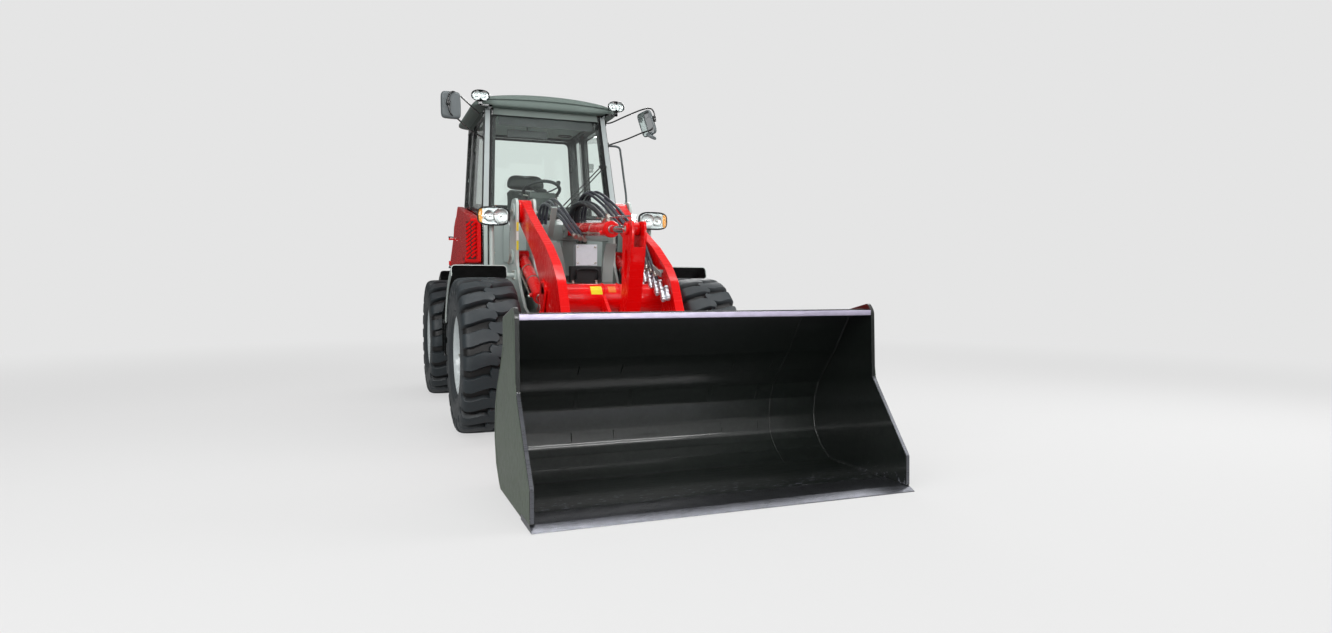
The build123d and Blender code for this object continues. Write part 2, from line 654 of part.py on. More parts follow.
with BuildPart() as engine_hood:
    hood_outline = [
        (HOOD_FRONT_Y, HOOD_LOW_Z), (HOOD_FRONT_Y, HOOD_TOP_FRONT_Z), (2600, HOOD_TOP_FRONT_Z - 25),
        (HOOD_REAR_Y - 60, HOOD_TOP_REAR_Z), (HOOD_REAR_Y, HOOD_TOP_REAR_Z - 130),
        (HOOD_REAR_Y, HOOD_LOW_Z + 10),
    ]
    plate(hood_outline, -HOOD_HALF, HOOD_HALF)
    inner_outline = [
        (HOOD_FRONT_Y + HOOD_SHEET, HOOD_LOW_Z - 50),
        (HOOD_FRONT_Y + HOOD_SHEET, HOOD_TOP_FRONT_Z - HOOD_SHEET),
        (2600, HOOD_TOP_FRONT_Z - 25 - HOOD_SHEET), (HOOD_REAR_Y - 66, HOOD_TOP_REAR_Z - 14),
        (HOOD_REAR_Y - HOOD_SHEET, HOOD_TOP_REAR_Z - 134), (HOOD_REAR_Y - HOOD_SHEET, HOOD_LOW_Z - 50),
    ]
    plate(inner_outline, -HOOD_HALF + HOOD_SHEET, HOOD_HALF - HOOD_SHEET, mode=Mode.SUBTRACT)
    block((-450, 450), (HOOD_REAR_Y - 30, HOOD_REAR_Y + 10), (1230, 1500), mode=Mode.SUBTRACT)
    # The front of the hood is open towards the cab's rear wall.
    block((-560, 560), (HOOD_FRONT_Y - 10, HOOD_FRONT_Y + 30), (1100, 1740), mode=Mode.SUBTRACT)
    for side in SIDES:
        near, far = sorted((side * HOOD_KNUCKLE_X[0], side * HOOD_KNUCKLE_X[1]))
        hinge_z = (HOOD_HINGE[1] - HOOD_EAR, HOOD_HINGE[1] + HOOD_EAR)
        block((near, far), (HOOD_HINGE[0], HOOD_FRONT_Y + 2), hinge_z)
        disc_x(HOOD_HINGE, 10, near, far)
        disc_x(HOOD_HINGE, HINGE_PIN_RADIUS + PIN_PLAY, near, far, mode=Mode.SUBTRACT)
save("engine_hood", engine_hood.part)

EXHAUST = (430, 2480)
EXHAUST_FOOT_Z = 1783

with BuildPart() as exhaust_stack:
    disc_z(EXHAUST, 42, EXHAUST_FOOT_Z, 1930)
    disc_z(EXHAUST, 32, 1930, 1990)
save("exhaust_stack", exhaust_stack.part)

# ---------------------------------------------------------------- cab
PILLAR = 60


# The cab's front leans back to this place and its sides lean in to this half width above the sill.
CAB_TOP_FRONT_Y = 950
CAB_TOP_HALF = 540


def side_x(z):
    """Return the half width of the cab at a height: upright below the sill, leaning inwards above it."""
    lean = (CAB_HALF - CAB_TOP_HALF) / (CAB_TOP_Z - SILL_FRONT_Z)
    return CAB_HALF - max(0, z - SILL_FRONT_Z) * lean


def keep_band(side, outer, inner):
    """Keep only what lies between two depths under the cab's side, which leans inwards above the sill."""
    heights = (CAB_FLOOR_Z - 50, SILL_FRONT_Z, CAB_TOP_Z)
    band = [(side * (side_x(z) - outer), z) for z in heights]
    band += [(side * (side_x(z) - inner), z) for z in reversed(heights)]
    panel(band, CAB_FRONT_Y - 50, CAB_REAR_Y + 50, mode=Mode.INTERSECT)


def side_sheet(side, outline, outer, inner, openings=()):
    """Return a flat sheet of the cab's side, between two depths under its leaning face, with openings."""
    near, far = sorted((side * (CAB_TOP_HALF - PILLAR), side * CAB_HALF))
    with BuildPart() as sheet:
        plate(outline, near, far)
        for opening in openings:
            plate(opening, near, far, mode=Mode.SUBTRACT)
        keep_band(side, outer, inner)
    return sheet.part


top_front_y = CAB_TOP_FRONT_Y
# The cab's sides rise over the rear wheels between these points.
ARCH_FRONT_Y = 1120
ARCH_REAR_Y = 1230
ARCH_Z = 1170
side_frame = [
    (CAB_FRONT_Y, CAB_FLOOR_Z), (CAB_FRONT_Y, SILL_FRONT_Z), (top_front_y, CAB_TOP_Z),
    (CAB_REAR_Y, CAB_TOP_Z), (CAB_REAR_Y, ARCH_Z), (ARCH_REAR_Y - 110, ARCH_Z), (ARCH_FRONT_Y, CAB_FLOOR_Z),
]
door_opening = [
    (CAB_FRONT_Y + PILLAR, CAB_FLOOR_Z + 50), (CAB_FRONT_Y + PILLAR, SILL_FRONT_Z),
    (top_front_y + PILLAR, CAB_TOP_Z - 60), (DOOR_REAR_Y, CAB_TOP_Z - 60), (DOOR_REAR_Y, ARCH_Z + 50),
    (ARCH_REAR_Y, ARCH_Z + 50), (ARCH_FRONT_Y - 20, CAB_FLOOR_Z + 50),
]
quarter_opening = [
    (DOOR_REAR_Y + PILLAR, SILL_REAR_Z - 40), (DOOR_REAR_Y + PILLAR, CAB_TOP_Z - 60),
    (CAB_REAR_Y - PILLAR, CAB_TOP_Z - 60), (CAB_REAR_Y - PILLAR, SILL_REAR_Z),
]
DOOR_HINGE = (CAB_HALF + 14, DOOR_REAR_Y + 8)
DOOR_HINGE_HEIGHTS = (1330, 2200)
COVER_HINGE = (-735, 2000)
# Columns: bottom and top of each ear that holds a pin of the cover, bottom and top of its pin.
COVER_EARS = [(1195, 1210, 1195, 1265), (1495, 1507, 1470, 1507)]
right_opening = [
    (CAB_FRONT_Y + PILLAR, SILL_FRONT_Z + 20), (top_front_y + PILLAR, CAB_TOP_Z - 60),
    (DOOR_REAR_Y, CAB_TOP_Z - 60), (DOOR_REAR_Y, SILL_REAR_Z - 60),
]

with BuildPart() as cab_frame:
    add(side_sheet(1, side_frame, 0, PILLAR, (door_opening, quarter_opening)))
    add(side_sheet(-1, side_frame, 0, PILLAR, (right_opening, quarter_opening)))
    inner = CAB_HALF - PILLAR
    inner_top = CAB_TOP_HALF - PILLAR + 20
    block((-inner, inner), (CAB_REAR_Y - 40, CAB_REAR_Y), (CAB_FLOOR_Z, SILL_REAR_Z))
    block((-inner_top, inner_top), (CAB_REAR_Y - 50, CAB_REAR_Y), (CAB_TOP_Z - 60, CAB_TOP_Z))
    block((-inner_top, inner_top), (top_front_y, top_front_y + 60), (CAB_TOP_Z - 50, CAB_TOP_Z))
    block((-inner, inner), (CAB_FRONT_Y, CAB_FRONT_Y + 40), (CAB_FLOOR_Z, SILL_FRONT_Z))
    # Fixed halves of the door's hinges.
    for z in DOOR_HINGE_HEIGHTS:
        block((side_x(z) - 1, CAB_HALF + 12), (DOOR_HINGE[1], DOOR_HINGE[1] + 45), (z - 50, z - 30))
        disc_z(DOOR_HINGE, 12, z - 50, z - 30)
        disc_z(DOOR_HINGE, HINGE_PIN_RADIUS, z - 50, z + 30)
    # Ears and pins that hold the side cover.
    for ear_low, ear_high, pin_low, pin_high in COVER_EARS:
        block((COVER_HINGE[0] - 9, 1 - CAB_HALF), (CAB_REAR_Y - 12, CAB_REAR_Y), (ear_low, ear_high))
        disc_z(COVER_HINGE, 9, ear_low, ear_high)
        disc_z(COVER_HINGE, HINGE_PIN_RADIUS, pin_low, pin_high)
    # Ears and pins that hold the hood.
    for side in SIDES:
        for low, high in HOOD_EARS_X:
            near, far = sorted((side * low, side * high))
            block((near, far), (CAB_REAR_Y - 1, HOOD_HINGE[0]), hinge_z)
            disc_x(HOOD_HINGE, HOOD_EAR, near, far)
        near, far = sorted((side * HOOD_EARS_X[0][0], side * HOOD_EARS_X[1][1]))
        disc_x(HOOD_HINGE, HINGE_PIN_RADIUS, near, far)
save("cab_frame", cab_frame.part)

with BuildPart() as cab_floor:
    block((-inner + 1, inner - 1), (CAB_FRONT_Y + 41, CAB_REAR_Y - 41), (CAB_FLOOR_Z, CAB_FLOOR_Z + 25))
    block((-325, 325), (CAB_FRONT_Y + 60, CAB_REAR_Y - 60), (960.2, CAB_FLOOR_Z))
save("cab_floor", cab_floor.part)

ROOF_HALF = 645
ROOF_Y = (850, 2065)
# Columns: half width, height of the crowned roof above the cab's frame.
ROOF_CROWN = [(645, 0.2), (645, 28), (600, 70), (470, 94), (240, 126), (120, 135)]

with BuildPart() as cab_roof:
    with BuildSketch(Plane.XY.offset(CAB_TOP_Z)):
        with Locations((0, sum(ROOF_Y) / 2)):
            RectangleRounded(2 * ROOF_HALF, ROOF_Y[1] - ROOF_Y[0], 150)
    extrude(amount=ROOF_TOP_Z - CAB_TOP_Z)
    roof_section = [(-x, CAB_TOP_Z + height) for x, height in ROOF_CROWN]
    roof_section += [(x, CAB_TOP_Z + height) for x, height in reversed(ROOF_CROWN)]
    panel(roof_section, ROOF_Y[0] - 10, ROOF_Y[1] + 10, mode=Mode.INTERSECT)
save("cab_roof", cab_roof.part)

GLASS = 6
with BuildPart() as windscreen:
    glass_front = [
        (CAB_FRONT_Y + 12, SILL_FRONT_Z + 2), (top_front_y + 12, CAB_TOP_Z - 52),
        (top_front_y + 12 + GLASS, CAB_TOP_Z - 52), (CAB_FRONT_Y + 12 + GLASS, SILL_FRONT_Z + 2),
    ]
    plate(glass_front, -inner, inner)
    pane_edge = PILLAR + 1
    pane_section = [(side_x(z) - pane_edge, z) for z in (CAB_FLOOR_Z, SILL_FRONT_Z, CAB_TOP_Z)]
    pane_section += [(pane_edge - side_x(z), z) for z in (CAB_TOP_Z, SILL_FRONT_Z, CAB_FLOOR_Z)]
    panel(pane_section, CAB_FRONT_Y, CAB_REAR_Y, mode=Mode.INTERSECT)
save("windscreen", windscreen.part)

quarter_pane = [
    (DOOR_REAR_Y + PILLAR + 1, SILL_REAR_Z - 38), (DOOR_REAR_Y + PILLAR + 1, CAB_TOP_Z - 61),
    (CAB_REAR_Y - PILLAR - 1, CAB_TOP_Z - 61), (CAB_REAR_Y - PILLAR - 1, SILL_REAR_Z + 2),
]
right_pane = [
    (CAB_FRONT_Y + PILLAR + 6, SILL_FRONT_Z + 23), (top_front_y + PILLAR + 1, CAB_TOP_Z - 61),
    (DOOR_REAR_Y - 1, CAB_TOP_Z - 61), (DOOR_REAR_Y - 1, SILL_REAR_Z - 58),
]
PANE_DEPTH = 15

with BuildPart() as cab_windows:
    block((-inner, inner), (CAB_REAR_Y - 20, CAB_REAR_Y - 20 + GLASS), (SILL_REAR_Z + 1, CAB_TOP_Z - 61))
    panel(pane_section, CAB_FRONT_Y, CAB_REAR_Y, mode=Mode.INTERSECT)
    for side in SIDES:
        add(side_sheet(side, quarter_pane, PANE_DEPTH, PANE_DEPTH + GLASS))
    add(side_sheet(-1, right_pane, PANE_DEPTH, PANE_DEPTH + GLASS))
save("cab_windows", cab_windows.part)

# ---------------------------------------------------------------- left door
DOOR_GAP = 6
DOOR_PANEL_Z = 1330


def door_outline(gap):
    """Return the door's outline, a gap inside the opening of the cab's frame."""
    return [
        (CAB_FRONT_Y + PILLAR + gap, CAB_FLOOR_Z + 50 + gap), (CAB_FRONT_Y + PILLAR + gap, SILL_FRONT_Z),
        (top_front_y + PILLAR + gap, CAB_TOP_Z - 60 - gap), (DOOR_REAR_Y - gap, CAB_TOP_Z - 60 - gap),
        (DOOR_REAR_Y - gap, ARCH_Z + 50 + gap), (ARCH_REAR_Y - gap, ARCH_Z + 50 + gap),
        (ARCH_FRONT_Y - 20 - gap, CAB_FLOOR_Z + 50 + gap),
    ]


with BuildPart() as left_door:
    add(side_sheet(1, door_outline(DOOR_GAP), 0, 42, (door_outline(DOOR_GAP + 45),)))
    lower_panel = door_outline(DOOR_GAP + 44)
    lower_panel[1:4] = [(lower_panel[0][0], DOOR_PANEL_Z), (lower_panel[3][0], DOOR_PANEL_Z)]
    plate(lower_panel, CAB_HALF - 38, CAB_HALF - 8)
    for z in DOOR_HINGE_HEIGHTS:
        block((side_x(z) - 2, CAB_HALF + 12), (DOOR_HINGE[1] - 60, DOOR_HINGE[1] - 18), (z - 25, z + 25))
        block((CAB_HALF + 2, CAB_HALF + 12), (DOOR_HINGE[1] - 20, DOOR_HINGE[1] - 2), (z - 25, z + 25))
        disc_z(DOOR_HINGE, 12, z - 25, z + 25)
        disc_z(DOOR_HINGE, HINGE_PIN_RADIUS + PIN_PLAY, z - 25, z + 25, mode=Mode.SUBTRACT)
save("left_door", left_door.part)

with BuildPart() as left_door_glass:
    pane = door_outline(DOOR_GAP + 46)[:4]
    pane[0] = (pane[0][0], DOOR_PANEL_Z + 1)
    pane.append((pane[3][0], DOOR_PANEL_Z + 1))
    add(side_sheet(1, pane, 18, 18 + GLASS))
save("left_door_glass", left_door_glass.part)

# ---------------------------------------------------------------- right side cover
with BuildPart() as side_cover:
    with BuildSketch(Plane.XY.offset(1215)):
        with BuildLine():
            Polyline((-730, 830), (-606, 770), (-606, 2000), (-730, 2000), close=True)
        make_face()
    extrude(amount=600)
    # The top slopes with the window sill and the outer face leans inwards.
    plate([(700, 1572), (2100, 1822), (2100, 2000), (700, 2000)], -800, -500, mode=Mode.SUBTRACT)
    panel([(-735, 1215), (-650, 1830), (-900, 1830), (-900, 1215)], 700, 2100, mode=Mode.SUBTRACT)
    block((-640, -600), (800, 1970), (1200, 1540), mode=Mode.SUBTRACT)
    # Knuckles of the hinges at the rear edge.
    block((COVER_HINGE[0], -690), (COVER_HINGE[1] - 16, COVER_HINGE[1] - 1), (1470, 1490))
    for low, high in ((1225, 1265), (1470, 1490)):
        disc_z(COVER_HINGE, 9, low, high)
        disc_z(COVER_HINGE, HINGE_PIN_RADIUS + PIN_PLAY, low, high, mode=Mode.SUBTRACT)
save("side_cover", side_cover.part)

# ---------------------------------------------------------------- things in the cab
with BuildPart() as operator_seat:
    block((-150, 150), (1450, 1800), (CAB_FLOOR_Z + 25.2, 1400))
    block((-235, 235), (1370, 1850), (1400, 1520))
    plate([(1800, 1500), (1900, 1500), (1960, 2130), (1880, 2130)], -230, 230)
save("operator_seat", operator_seat.part)

with BuildPart() as steering_column:
    plate([(CAB_FRONT_Y + 60, CAB_FLOOR_Z + 25.2), (CAB_FRONT_Y + 260, CAB_FLOOR_Z + 25.2),
           (1250, 1800), (1120, 1840), (850, 1500)], -90, 90)
    wheel_plane = Plane(origin=(0, 1300, 1920), x_dir=(1, 0, 0), z_dir=(0, 0.42, 0.91))
    with BuildSketch(wheel_plane):
        Circle(185)
        Circle(150, mode=Mode.SUBTRACT)
        Rectangle(320, 36)
    extrude(amount=24)
    with BuildSketch(wheel_plane.offset(-130)):
        Circle(40)
    extrude(amount=140)
save("steering_column", steering_column.part)

with BuildPart() as side_console:
    block((-500, -280), (1250, 1900), (CAB_FLOOR_Z + 25.2, 1620))
    with Locations((-390, 1330, 1690)):
        Cylinder(22, 140)
save("side_console", side_console.part)

# ---------------------------------------------------------------- outside fittings of the cab
with BuildPart() as mirrors:
    for side in SIDES:
        block(sorted((side * 780, side * 945)), (590, 630), (2375, 2600))
        block(sorted((side * CAB_HALF, side * 860)), (612, 630), (2500, 2518))
        block(sorted((side * CAB_HALF, side * (CAB_HALF + 20))), (612, 975), (2500, 2518))
        block(sorted((side * (side_x(2500) + 0.2), side * (CAB_HALF + 1))), (955, 975), (2500, 2518))
save("mirrors", mirrors.part)

with BuildPart() as work_lights:
    for side in SIDES:
        # Front lamp on a bracket that comes out under the roof's edge.
        block(sorted((side * 500, side * 530)), (790, top_front_y - 5), (CAB_TOP_Z - 20, CAB_TOP_Z - 8))
        block(sorted((side * 500, side * 615)), (790, 810), (CAB_TOP_Z - 20, CAB_TOP_Z - 8))
        block(sorted((side * 585, side * 615)), (790, 810), (CAB_TOP_Z - 20, CAB_TOP_Z + 12))
        block(sorted((side * 522, side * 678)), (775, 825), (CAB_TOP_Z + 11, CAB_TOP_Z + 109))
        # Rear lamp below the roof.
        lamp_z = (CAB_TOP_Z - 80, CAB_TOP_Z - 10)
        block(sorted((side * 450, side * 540)), (CAB_REAR_Y + 0.2, CAB_REAR_Y + 40), lamp_z)
save("work_lights", work_lights.part)

with BuildPart() as rear_fenders:
    for side in SIDES:
        fender(side, REAR_AXLE_Y, REAR_FENDER_OUTER_X)
        # Bracket from the rail to the fender's inner skirt.
        block(sorted((side * 320.2, side * (FENDER_INNER_X + 2))), (2110, 2150), (905, 955))
save("rear_fenders", rear_fenders.part)

with BuildPart() as cab_steps:
    for side in SIDES:
        near, far = sorted((side * 620, side * 900))
        for z in (420, 700):
            block((near, far), (930, 1120), (z, z + 30))
        for y in (930, 1112):
            block((near, far), (y, y + 8), (420, 960))
        block(sorted((side * 321, side * 640)), (935, 1110), (900, 958))
save("cab_steps", cab_steps.part)

with BuildPart() as tail_lights:
    for side in SIDES:
        plate([(2850, 1153.5), (2850, 1225), (2885, 1225), (2885, 1123.3)], *sorted((side * 480, side * 600)))
save("tail_lights", tail_lights.part)
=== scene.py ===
"""Looks of a compact articulated wheel loader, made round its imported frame.

Metres.  The front of the machine faces -Y, its left side is +X and +Z is up.  Each sub-assembly is a
class that holds its sizes and dresses its own pieces, and each finish is a small frozen class.
"""
from __future__ import annotations

import json
import logging
from dataclasses import dataclass, field
from enum import Enum
from math import atan2, cos, pi, radians, sin
from typing import Any, Optional, Sequence

import bmesh
import bpy
import numpy as np
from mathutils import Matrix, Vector
from mathutils.geometry import tessellate_polygon

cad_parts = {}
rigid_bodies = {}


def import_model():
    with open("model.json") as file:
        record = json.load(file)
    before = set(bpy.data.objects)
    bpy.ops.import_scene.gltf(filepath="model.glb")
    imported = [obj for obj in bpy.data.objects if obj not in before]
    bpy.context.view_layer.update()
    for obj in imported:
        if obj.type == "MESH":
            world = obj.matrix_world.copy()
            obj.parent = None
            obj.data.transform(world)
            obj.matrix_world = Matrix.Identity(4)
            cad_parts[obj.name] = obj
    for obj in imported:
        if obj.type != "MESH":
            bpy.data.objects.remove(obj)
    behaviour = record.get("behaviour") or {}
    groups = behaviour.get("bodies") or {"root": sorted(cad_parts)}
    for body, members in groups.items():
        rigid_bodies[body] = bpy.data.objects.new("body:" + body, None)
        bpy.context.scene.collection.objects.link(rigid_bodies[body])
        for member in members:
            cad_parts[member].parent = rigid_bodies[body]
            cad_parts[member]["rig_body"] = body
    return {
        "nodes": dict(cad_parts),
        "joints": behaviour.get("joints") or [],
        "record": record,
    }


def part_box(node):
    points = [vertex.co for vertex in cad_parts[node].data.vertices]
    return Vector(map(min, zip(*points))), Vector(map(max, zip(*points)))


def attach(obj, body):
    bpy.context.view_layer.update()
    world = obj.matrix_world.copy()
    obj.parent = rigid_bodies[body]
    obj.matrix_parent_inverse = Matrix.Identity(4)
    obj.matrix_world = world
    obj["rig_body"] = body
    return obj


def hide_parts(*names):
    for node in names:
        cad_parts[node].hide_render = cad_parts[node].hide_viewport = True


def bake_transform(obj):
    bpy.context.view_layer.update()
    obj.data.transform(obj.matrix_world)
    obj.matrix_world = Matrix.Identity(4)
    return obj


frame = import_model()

LOG = logging.getLogger("loader")
Array = np.ndarray
MM = 0.001
FRONT = "front_chassis"
REAR = "rear_chassis"
JOINTS = {joint["name"]: joint for joint in frame["joints"]}


class Axis(Enum):
    """The order that turns (along, across, up) profile columns into X, Y, Z."""

    X = (0, 1, 2)
    Y = (1, 0, 2)
    Z = (2, 1, 0)


def pin(joint: str) -> Array:
    """Return the place of a joint's pin."""
    return np.array(JOINTS[joint]["pos_m"], float)


def corners(node: str) -> tuple[Array, Array]:
    """Return a node's lowest and highest corner."""
    low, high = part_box(node)
    return np.array(low), np.array(high)


# ---------------------------------------------------------------- surfaces
@dataclass
class Patch:
    """A surface as arrays.

    points holds (n, 3) places in metres, faces holds index lists, and tone is a number or one number
    for each point that a finish may read, such as how deep a point lies in a groove.
    """

    points: Array
    faces: list
    tone: Any = 0.0

    def mirrored(self) -> Patch:
        """Return the patch reflected through the machine's centre plane, still facing outwards."""
        return Patch(self.points * (-1, 1, 1), [face[::-1] for face in self.faces], self.tone)

    def placed(self, origin: Sequence[float], along: Sequence[float],
               up: Sequence[float] = (0, 0, 1)) -> Patch:
        """Return the patch with its own X laid along a direction, its Z near up, and moved to origin."""
        return Patch(self.points @ basis(along, up) + np.asarray(origin, float), self.faces, self.tone)


def unit(vector: Sequence[float]) -> Array:
    """Return a vector at length one."""
    array = np.asarray(vector, float)
    return array / np.linalg.norm(array)


def basis(along: Sequence[float], up: Sequence[float] = (0, 0, 1)) -> Array:
    """Return rows for X along a direction, Y across it and Z near up."""
    first = unit(along)
    up_array = np.asarray(up, float)
    if abs(first @ unit(up_array)) > 0.999:
        up_array = np.array((0.0, 1.0, 0.0)) if abs(first[1]) < 0.9 else np.array((1.0, 0.0, 0.0))
    across = unit(np.cross(up_array, first))
    return np.array((first, across, np.cross(first, across)))


def grid(points: Array, wrap_rows: bool = False, wrap_columns: bool = False, caps: bool = False,
         tone: Any = 0.0) -> Patch:
    """Join a (rows, columns, 3) array of places into quads.

    Args:
        points: the places.
        wrap_rows: join the last row to the first.
        wrap_columns: join the last column to the first.
        caps: close the first and last rows with one face each.
        tone: a number, or a (rows, columns) array.

    Returns:
        The surface, each quad between two rows and two columns.
    """
    rows, columns = points.shape[:2]
    index = np.arange(rows * columns).reshape(rows, columns)
    ends = [index[0][::-1].tolist(), index[-1].tolist()] if caps else []
    if wrap_rows:
        index = np.vstack([index, index[:1]])
    if wrap_columns:
        index = np.hstack([index, index[:, :1]])
    quads = np.stack([index[:-1, :-1], index[:-1, 1:], index[1:, 1:], index[1:, :-1]], -1)
    tones = tone.ravel() if isinstance(tone, np.ndarray) else tone
    return Patch(points.reshape(-1, 3), quads.reshape(-1, 4).tolist() + ends, tones)


def prism(outline: Sequence, low: float, high: float, axis: Axis = Axis.X, holes: Sequence = (),
          tone: float = 0.0) -> Patch:
    """Extrude a flat outline between two planes.

    Args:
        outline: (n, 2) corners, as (Y, Z) for axis X, (X, Z) for axis Y and (Y, X) for axis Z.
        low: where the first cap lies along the axis.
        high: where the second cap lies.
        axis: the direction of extrusion.
        holes: outlines cut right through.
        tone: the tone of every point.

    Returns:
        A closed prism: caps cut into triangles round the holes, and one wall quad for each edge.
    """
    loops = [np.asarray(loop, float) for loop in (outline, *holes)]
    flat = np.vstack(loops)
    count = len(flat)
    caps = [list(t) for t in tessellate_polygon([[Vector((*p, 0)) for p in loop] for loop in loops])]
    if not holes:
        caps = [list(range(count))]
    walls, start = [], 0
    for loop in loops:
        here = np.arange(len(loop)) + start
        after = np.roll(here, -1)
        walls += np.stack([here, after, after + count, here + count], -1).tolist()
        start += len(loop)
    columns = np.empty((2 * count, 3))
    columns[:count, 0], columns[count:, 0] = low, high
    columns[:, 1:] = np.vstack([flat, flat])
    faces = walls + [c[::-1] for c in caps] + [[i + count for i in c] for c in caps]
    return Patch(columns[:, axis.value], faces, tone)


def box(low: Sequence[float], high: Sequence[float]) -> Patch:
    """Return a box between two corners."""
    outline = rectangle(low[1], low[2], high[1], high[2])
    return prism(outline, low[0], high[0])


def slab(centre: Sequence[float], size: Sequence[float], along: Sequence[float] = (1, 0, 0),
         up: Sequence[float] = (0, 0, 1)) -> Patch:
    """Return a box of a size round a centre, with its length along a direction."""
    half = np.asarray(size, float) / 2
    return box(-half, half).placed(centre, along, up)


def rectangle(left: float, low: float, right: float, high: float) -> list[tuple[float, float]]:
    """Return an upright rectangle's four corners."""
    return [(left, low), (right, low), (right, high), (left, high)]


def round_corners(points: Sequence, radius: Any, steps: int = 5) -> Array:
    """Round each corner of a closed flat outline with an arc.

    Args:
        points: (n, 2) corners in order.
        radius: one radius, or one for each corner.
        steps: spans in each arc.

    Returns:
        The outline with each corner as a quadratic arc that leaves its two edges at the tangent length.
    """
    array = np.asarray(points, float)
    before, after = np.roll(array, 1, 0) - array, np.roll(array, -1, 0) - array
    first, second = np.linalg.norm(before, axis=1), np.linalg.norm(after, axis=1)
    cosine = np.clip((before * after).sum(1) / first / second, -0.9999, 0.9999)
    reach = np.minimum(np.broadcast_to(radius, len(array)) / np.tan(np.arccos(cosine) / 2),
                       0.49 * np.minimum(first, second))
    t = np.linspace(0, 1, steps + 1)[None, :, None]
    start = (array + before / first[:, None] * reach[:, None])[:, None]
    stop = (array + after / second[:, None] * reach[:, None])[:, None]
    return ((1 - t) ** 2 * start + 2 * t * (1 - t) * array[:, None] + t**2 * stop).reshape(-1, 2)


def oval(centre: Sequence[float], width: float, height: float, power: float = 2.0, count: int = 32) -> Array:
    """Return a superellipse: at power 2 an ellipse, and squarer above it."""
    angle = np.linspace(0, 2 * pi, count, endpoint=False)
    c, s = np.cos(angle), np.sin(angle)
    return np.stack([centre[0] + width / 2 * np.sign(c) * abs(c) ** (2 / power),
                     centre[1] + height / 2 * np.sign(s) * abs(s) ** (2 / power)], -1)


def slot_hole(start: Sequence[float], end: Sequence[float], radius: float, steps: int = 8) -> Array:
    """Return a slot's outline: two half circles of a radius round start and end, joined by straight sides."""
    heading = atan2(end[1] - start[1], end[0] - start[0])
    turn = np.linspace(pi / 2, 3 * pi / 2, steps) + heading
    first = np.stack([start[0] + radius * np.cos(turn), start[1] + radius * np.sin(turn)], -1)
    second = np.stack([end[0] - radius * np.cos(turn), end[1] - radius * np.sin(turn)], -1)
    return np.vstack([first, second])


def lathe(profile: Sequence, origin: Sequence[float] = (0, 0, 0), along: Sequence[float] = (1, 0, 0),
          segments: int = 32, closed: bool = False, tone: Any = 0.0) -> Patch:
    """Turn a profile round an axis.

    Args:
        profile: (n, 2) of distance along the axis and radius.
        origin: where the axis starts.
        along: the axis direction.
        segments: spans in the full turn.
        closed: join the profile's last point to its first, or else cap both ends.
        tone: a number or one for each profile point.

    Returns:
        The surface of revolution.
    """
    section = np.asarray(profile, float)
    angle = np.linspace(0, 2 * pi, segments, endpoint=False)
    ring = np.empty((len(section), segments, 3))
    ring[..., 0] = section[:, :1]
    ring[..., 1] = section[:, 1:] * np.cos(angle)
    ring[..., 2] = section[:, 1:] * np.sin(angle)
    tones = np.repeat(np.asarray(tone)[:, None], segments, 1) if np.ndim(tone) else tone
    return grid(ring, wrap_rows=closed, wrap_columns=True, caps=not closed, tone=tones).placed(origin, along)


def rod(start: Sequence[float], end: Sequence[float], radius: float, segments: int = 20,
        chamfer: float = 0.0) -> Patch:
    """Return a round bar between two points, with its end edges chamfered."""
    first, last = np.asarray(start, float), np.asarray(end, float)
    length = np.linalg.norm(last - first)
    cut = chamfer or min(radius, length) * 0.08
    profile = [(0, radius - cut), (cut, radius), (length - cut, radius), (length, radius - cut)]
    return lathe(profile, first, last - first, segments)


def curve_through(points: Sequence, count: int, closed: bool = False) -> Array:
    """Return places on a smooth curve through given points.

    Each span is a cubic whose slope at a point is half the step between its two neighbours, so the curve
    passes through every point without a kink.

    Args:
        points: the given points.
        count: how many places are returned.
        closed: whether the curve runs from the last point back to the first.

    Returns:
        A (count, dimensions) array of places.
    """
    array = np.asarray(points, float)
    if closed:
        padded = np.vstack([array[-1:], array, array[:2]])
    else:
        padded = np.vstack([2 * array[0] - array[1], array, 2 * array[-1] - array[-2]])
    spans = len(padded) - 3
    place = np.linspace(0, spans, count, endpoint=not closed)
    span = np.minimum(place.astype(int), spans - 1)
    t = (place - span)[:, None]
    p0, p1, p2, p3 = (padded[span + shift] for shift in range(4))
    return 0.5 * (2 * p1 + (p2 - p0) * t + (2 * p0 - 5 * p1 + 4 * p2 - p3) * t**2
                  + (3 * p1 - p0 - 3 * p2 + p3) * t**3)


def tube(path: Array, radius: Any, sides: int = 12, closed: bool = False, flatten: float = 1.0) -> Patch:
    """Carry a circle along a path.

    Args:
        path: (n, 3) places, close enough together to look smooth.
        radius: one radius or one for each place.
        sides: corners of the circle.
        closed: join the last ring to the first.
        flatten: the section's second half-width as a share of the first.

    Returns:
        Rings square to the path, each turned as little as possible from the one before.
    """
    ahead = np.roll(path, -1, 0) - np.roll(path, 1, 0) if closed else np.gradient(path, axis=0)
    tangent = ahead / np.linalg.norm(ahead, axis=1)[:, None]
    across = np.empty_like(tangent)
    across[0] = basis(tangent[0])[1]
    for i in range(1, len(path)):
        across[i] = unit(across[i - 1] - tangent[i] * (across[i - 1] @ tangent[i]))
    up = np.cross(tangent, across)
    angle = np.linspace(0, 2 * pi, sides, endpoint=False)
    size = np.broadcast_to(radius, len(path))[:, None, None]
    ring = across[:, None] * np.cos(angle)[None, :, None] + up[:, None] * np.sin(angle)[
        None, :, None] * flatten
    return grid(path[:, None] + ring * size, wrap_rows=closed, wrap_columns=True, caps=not closed)


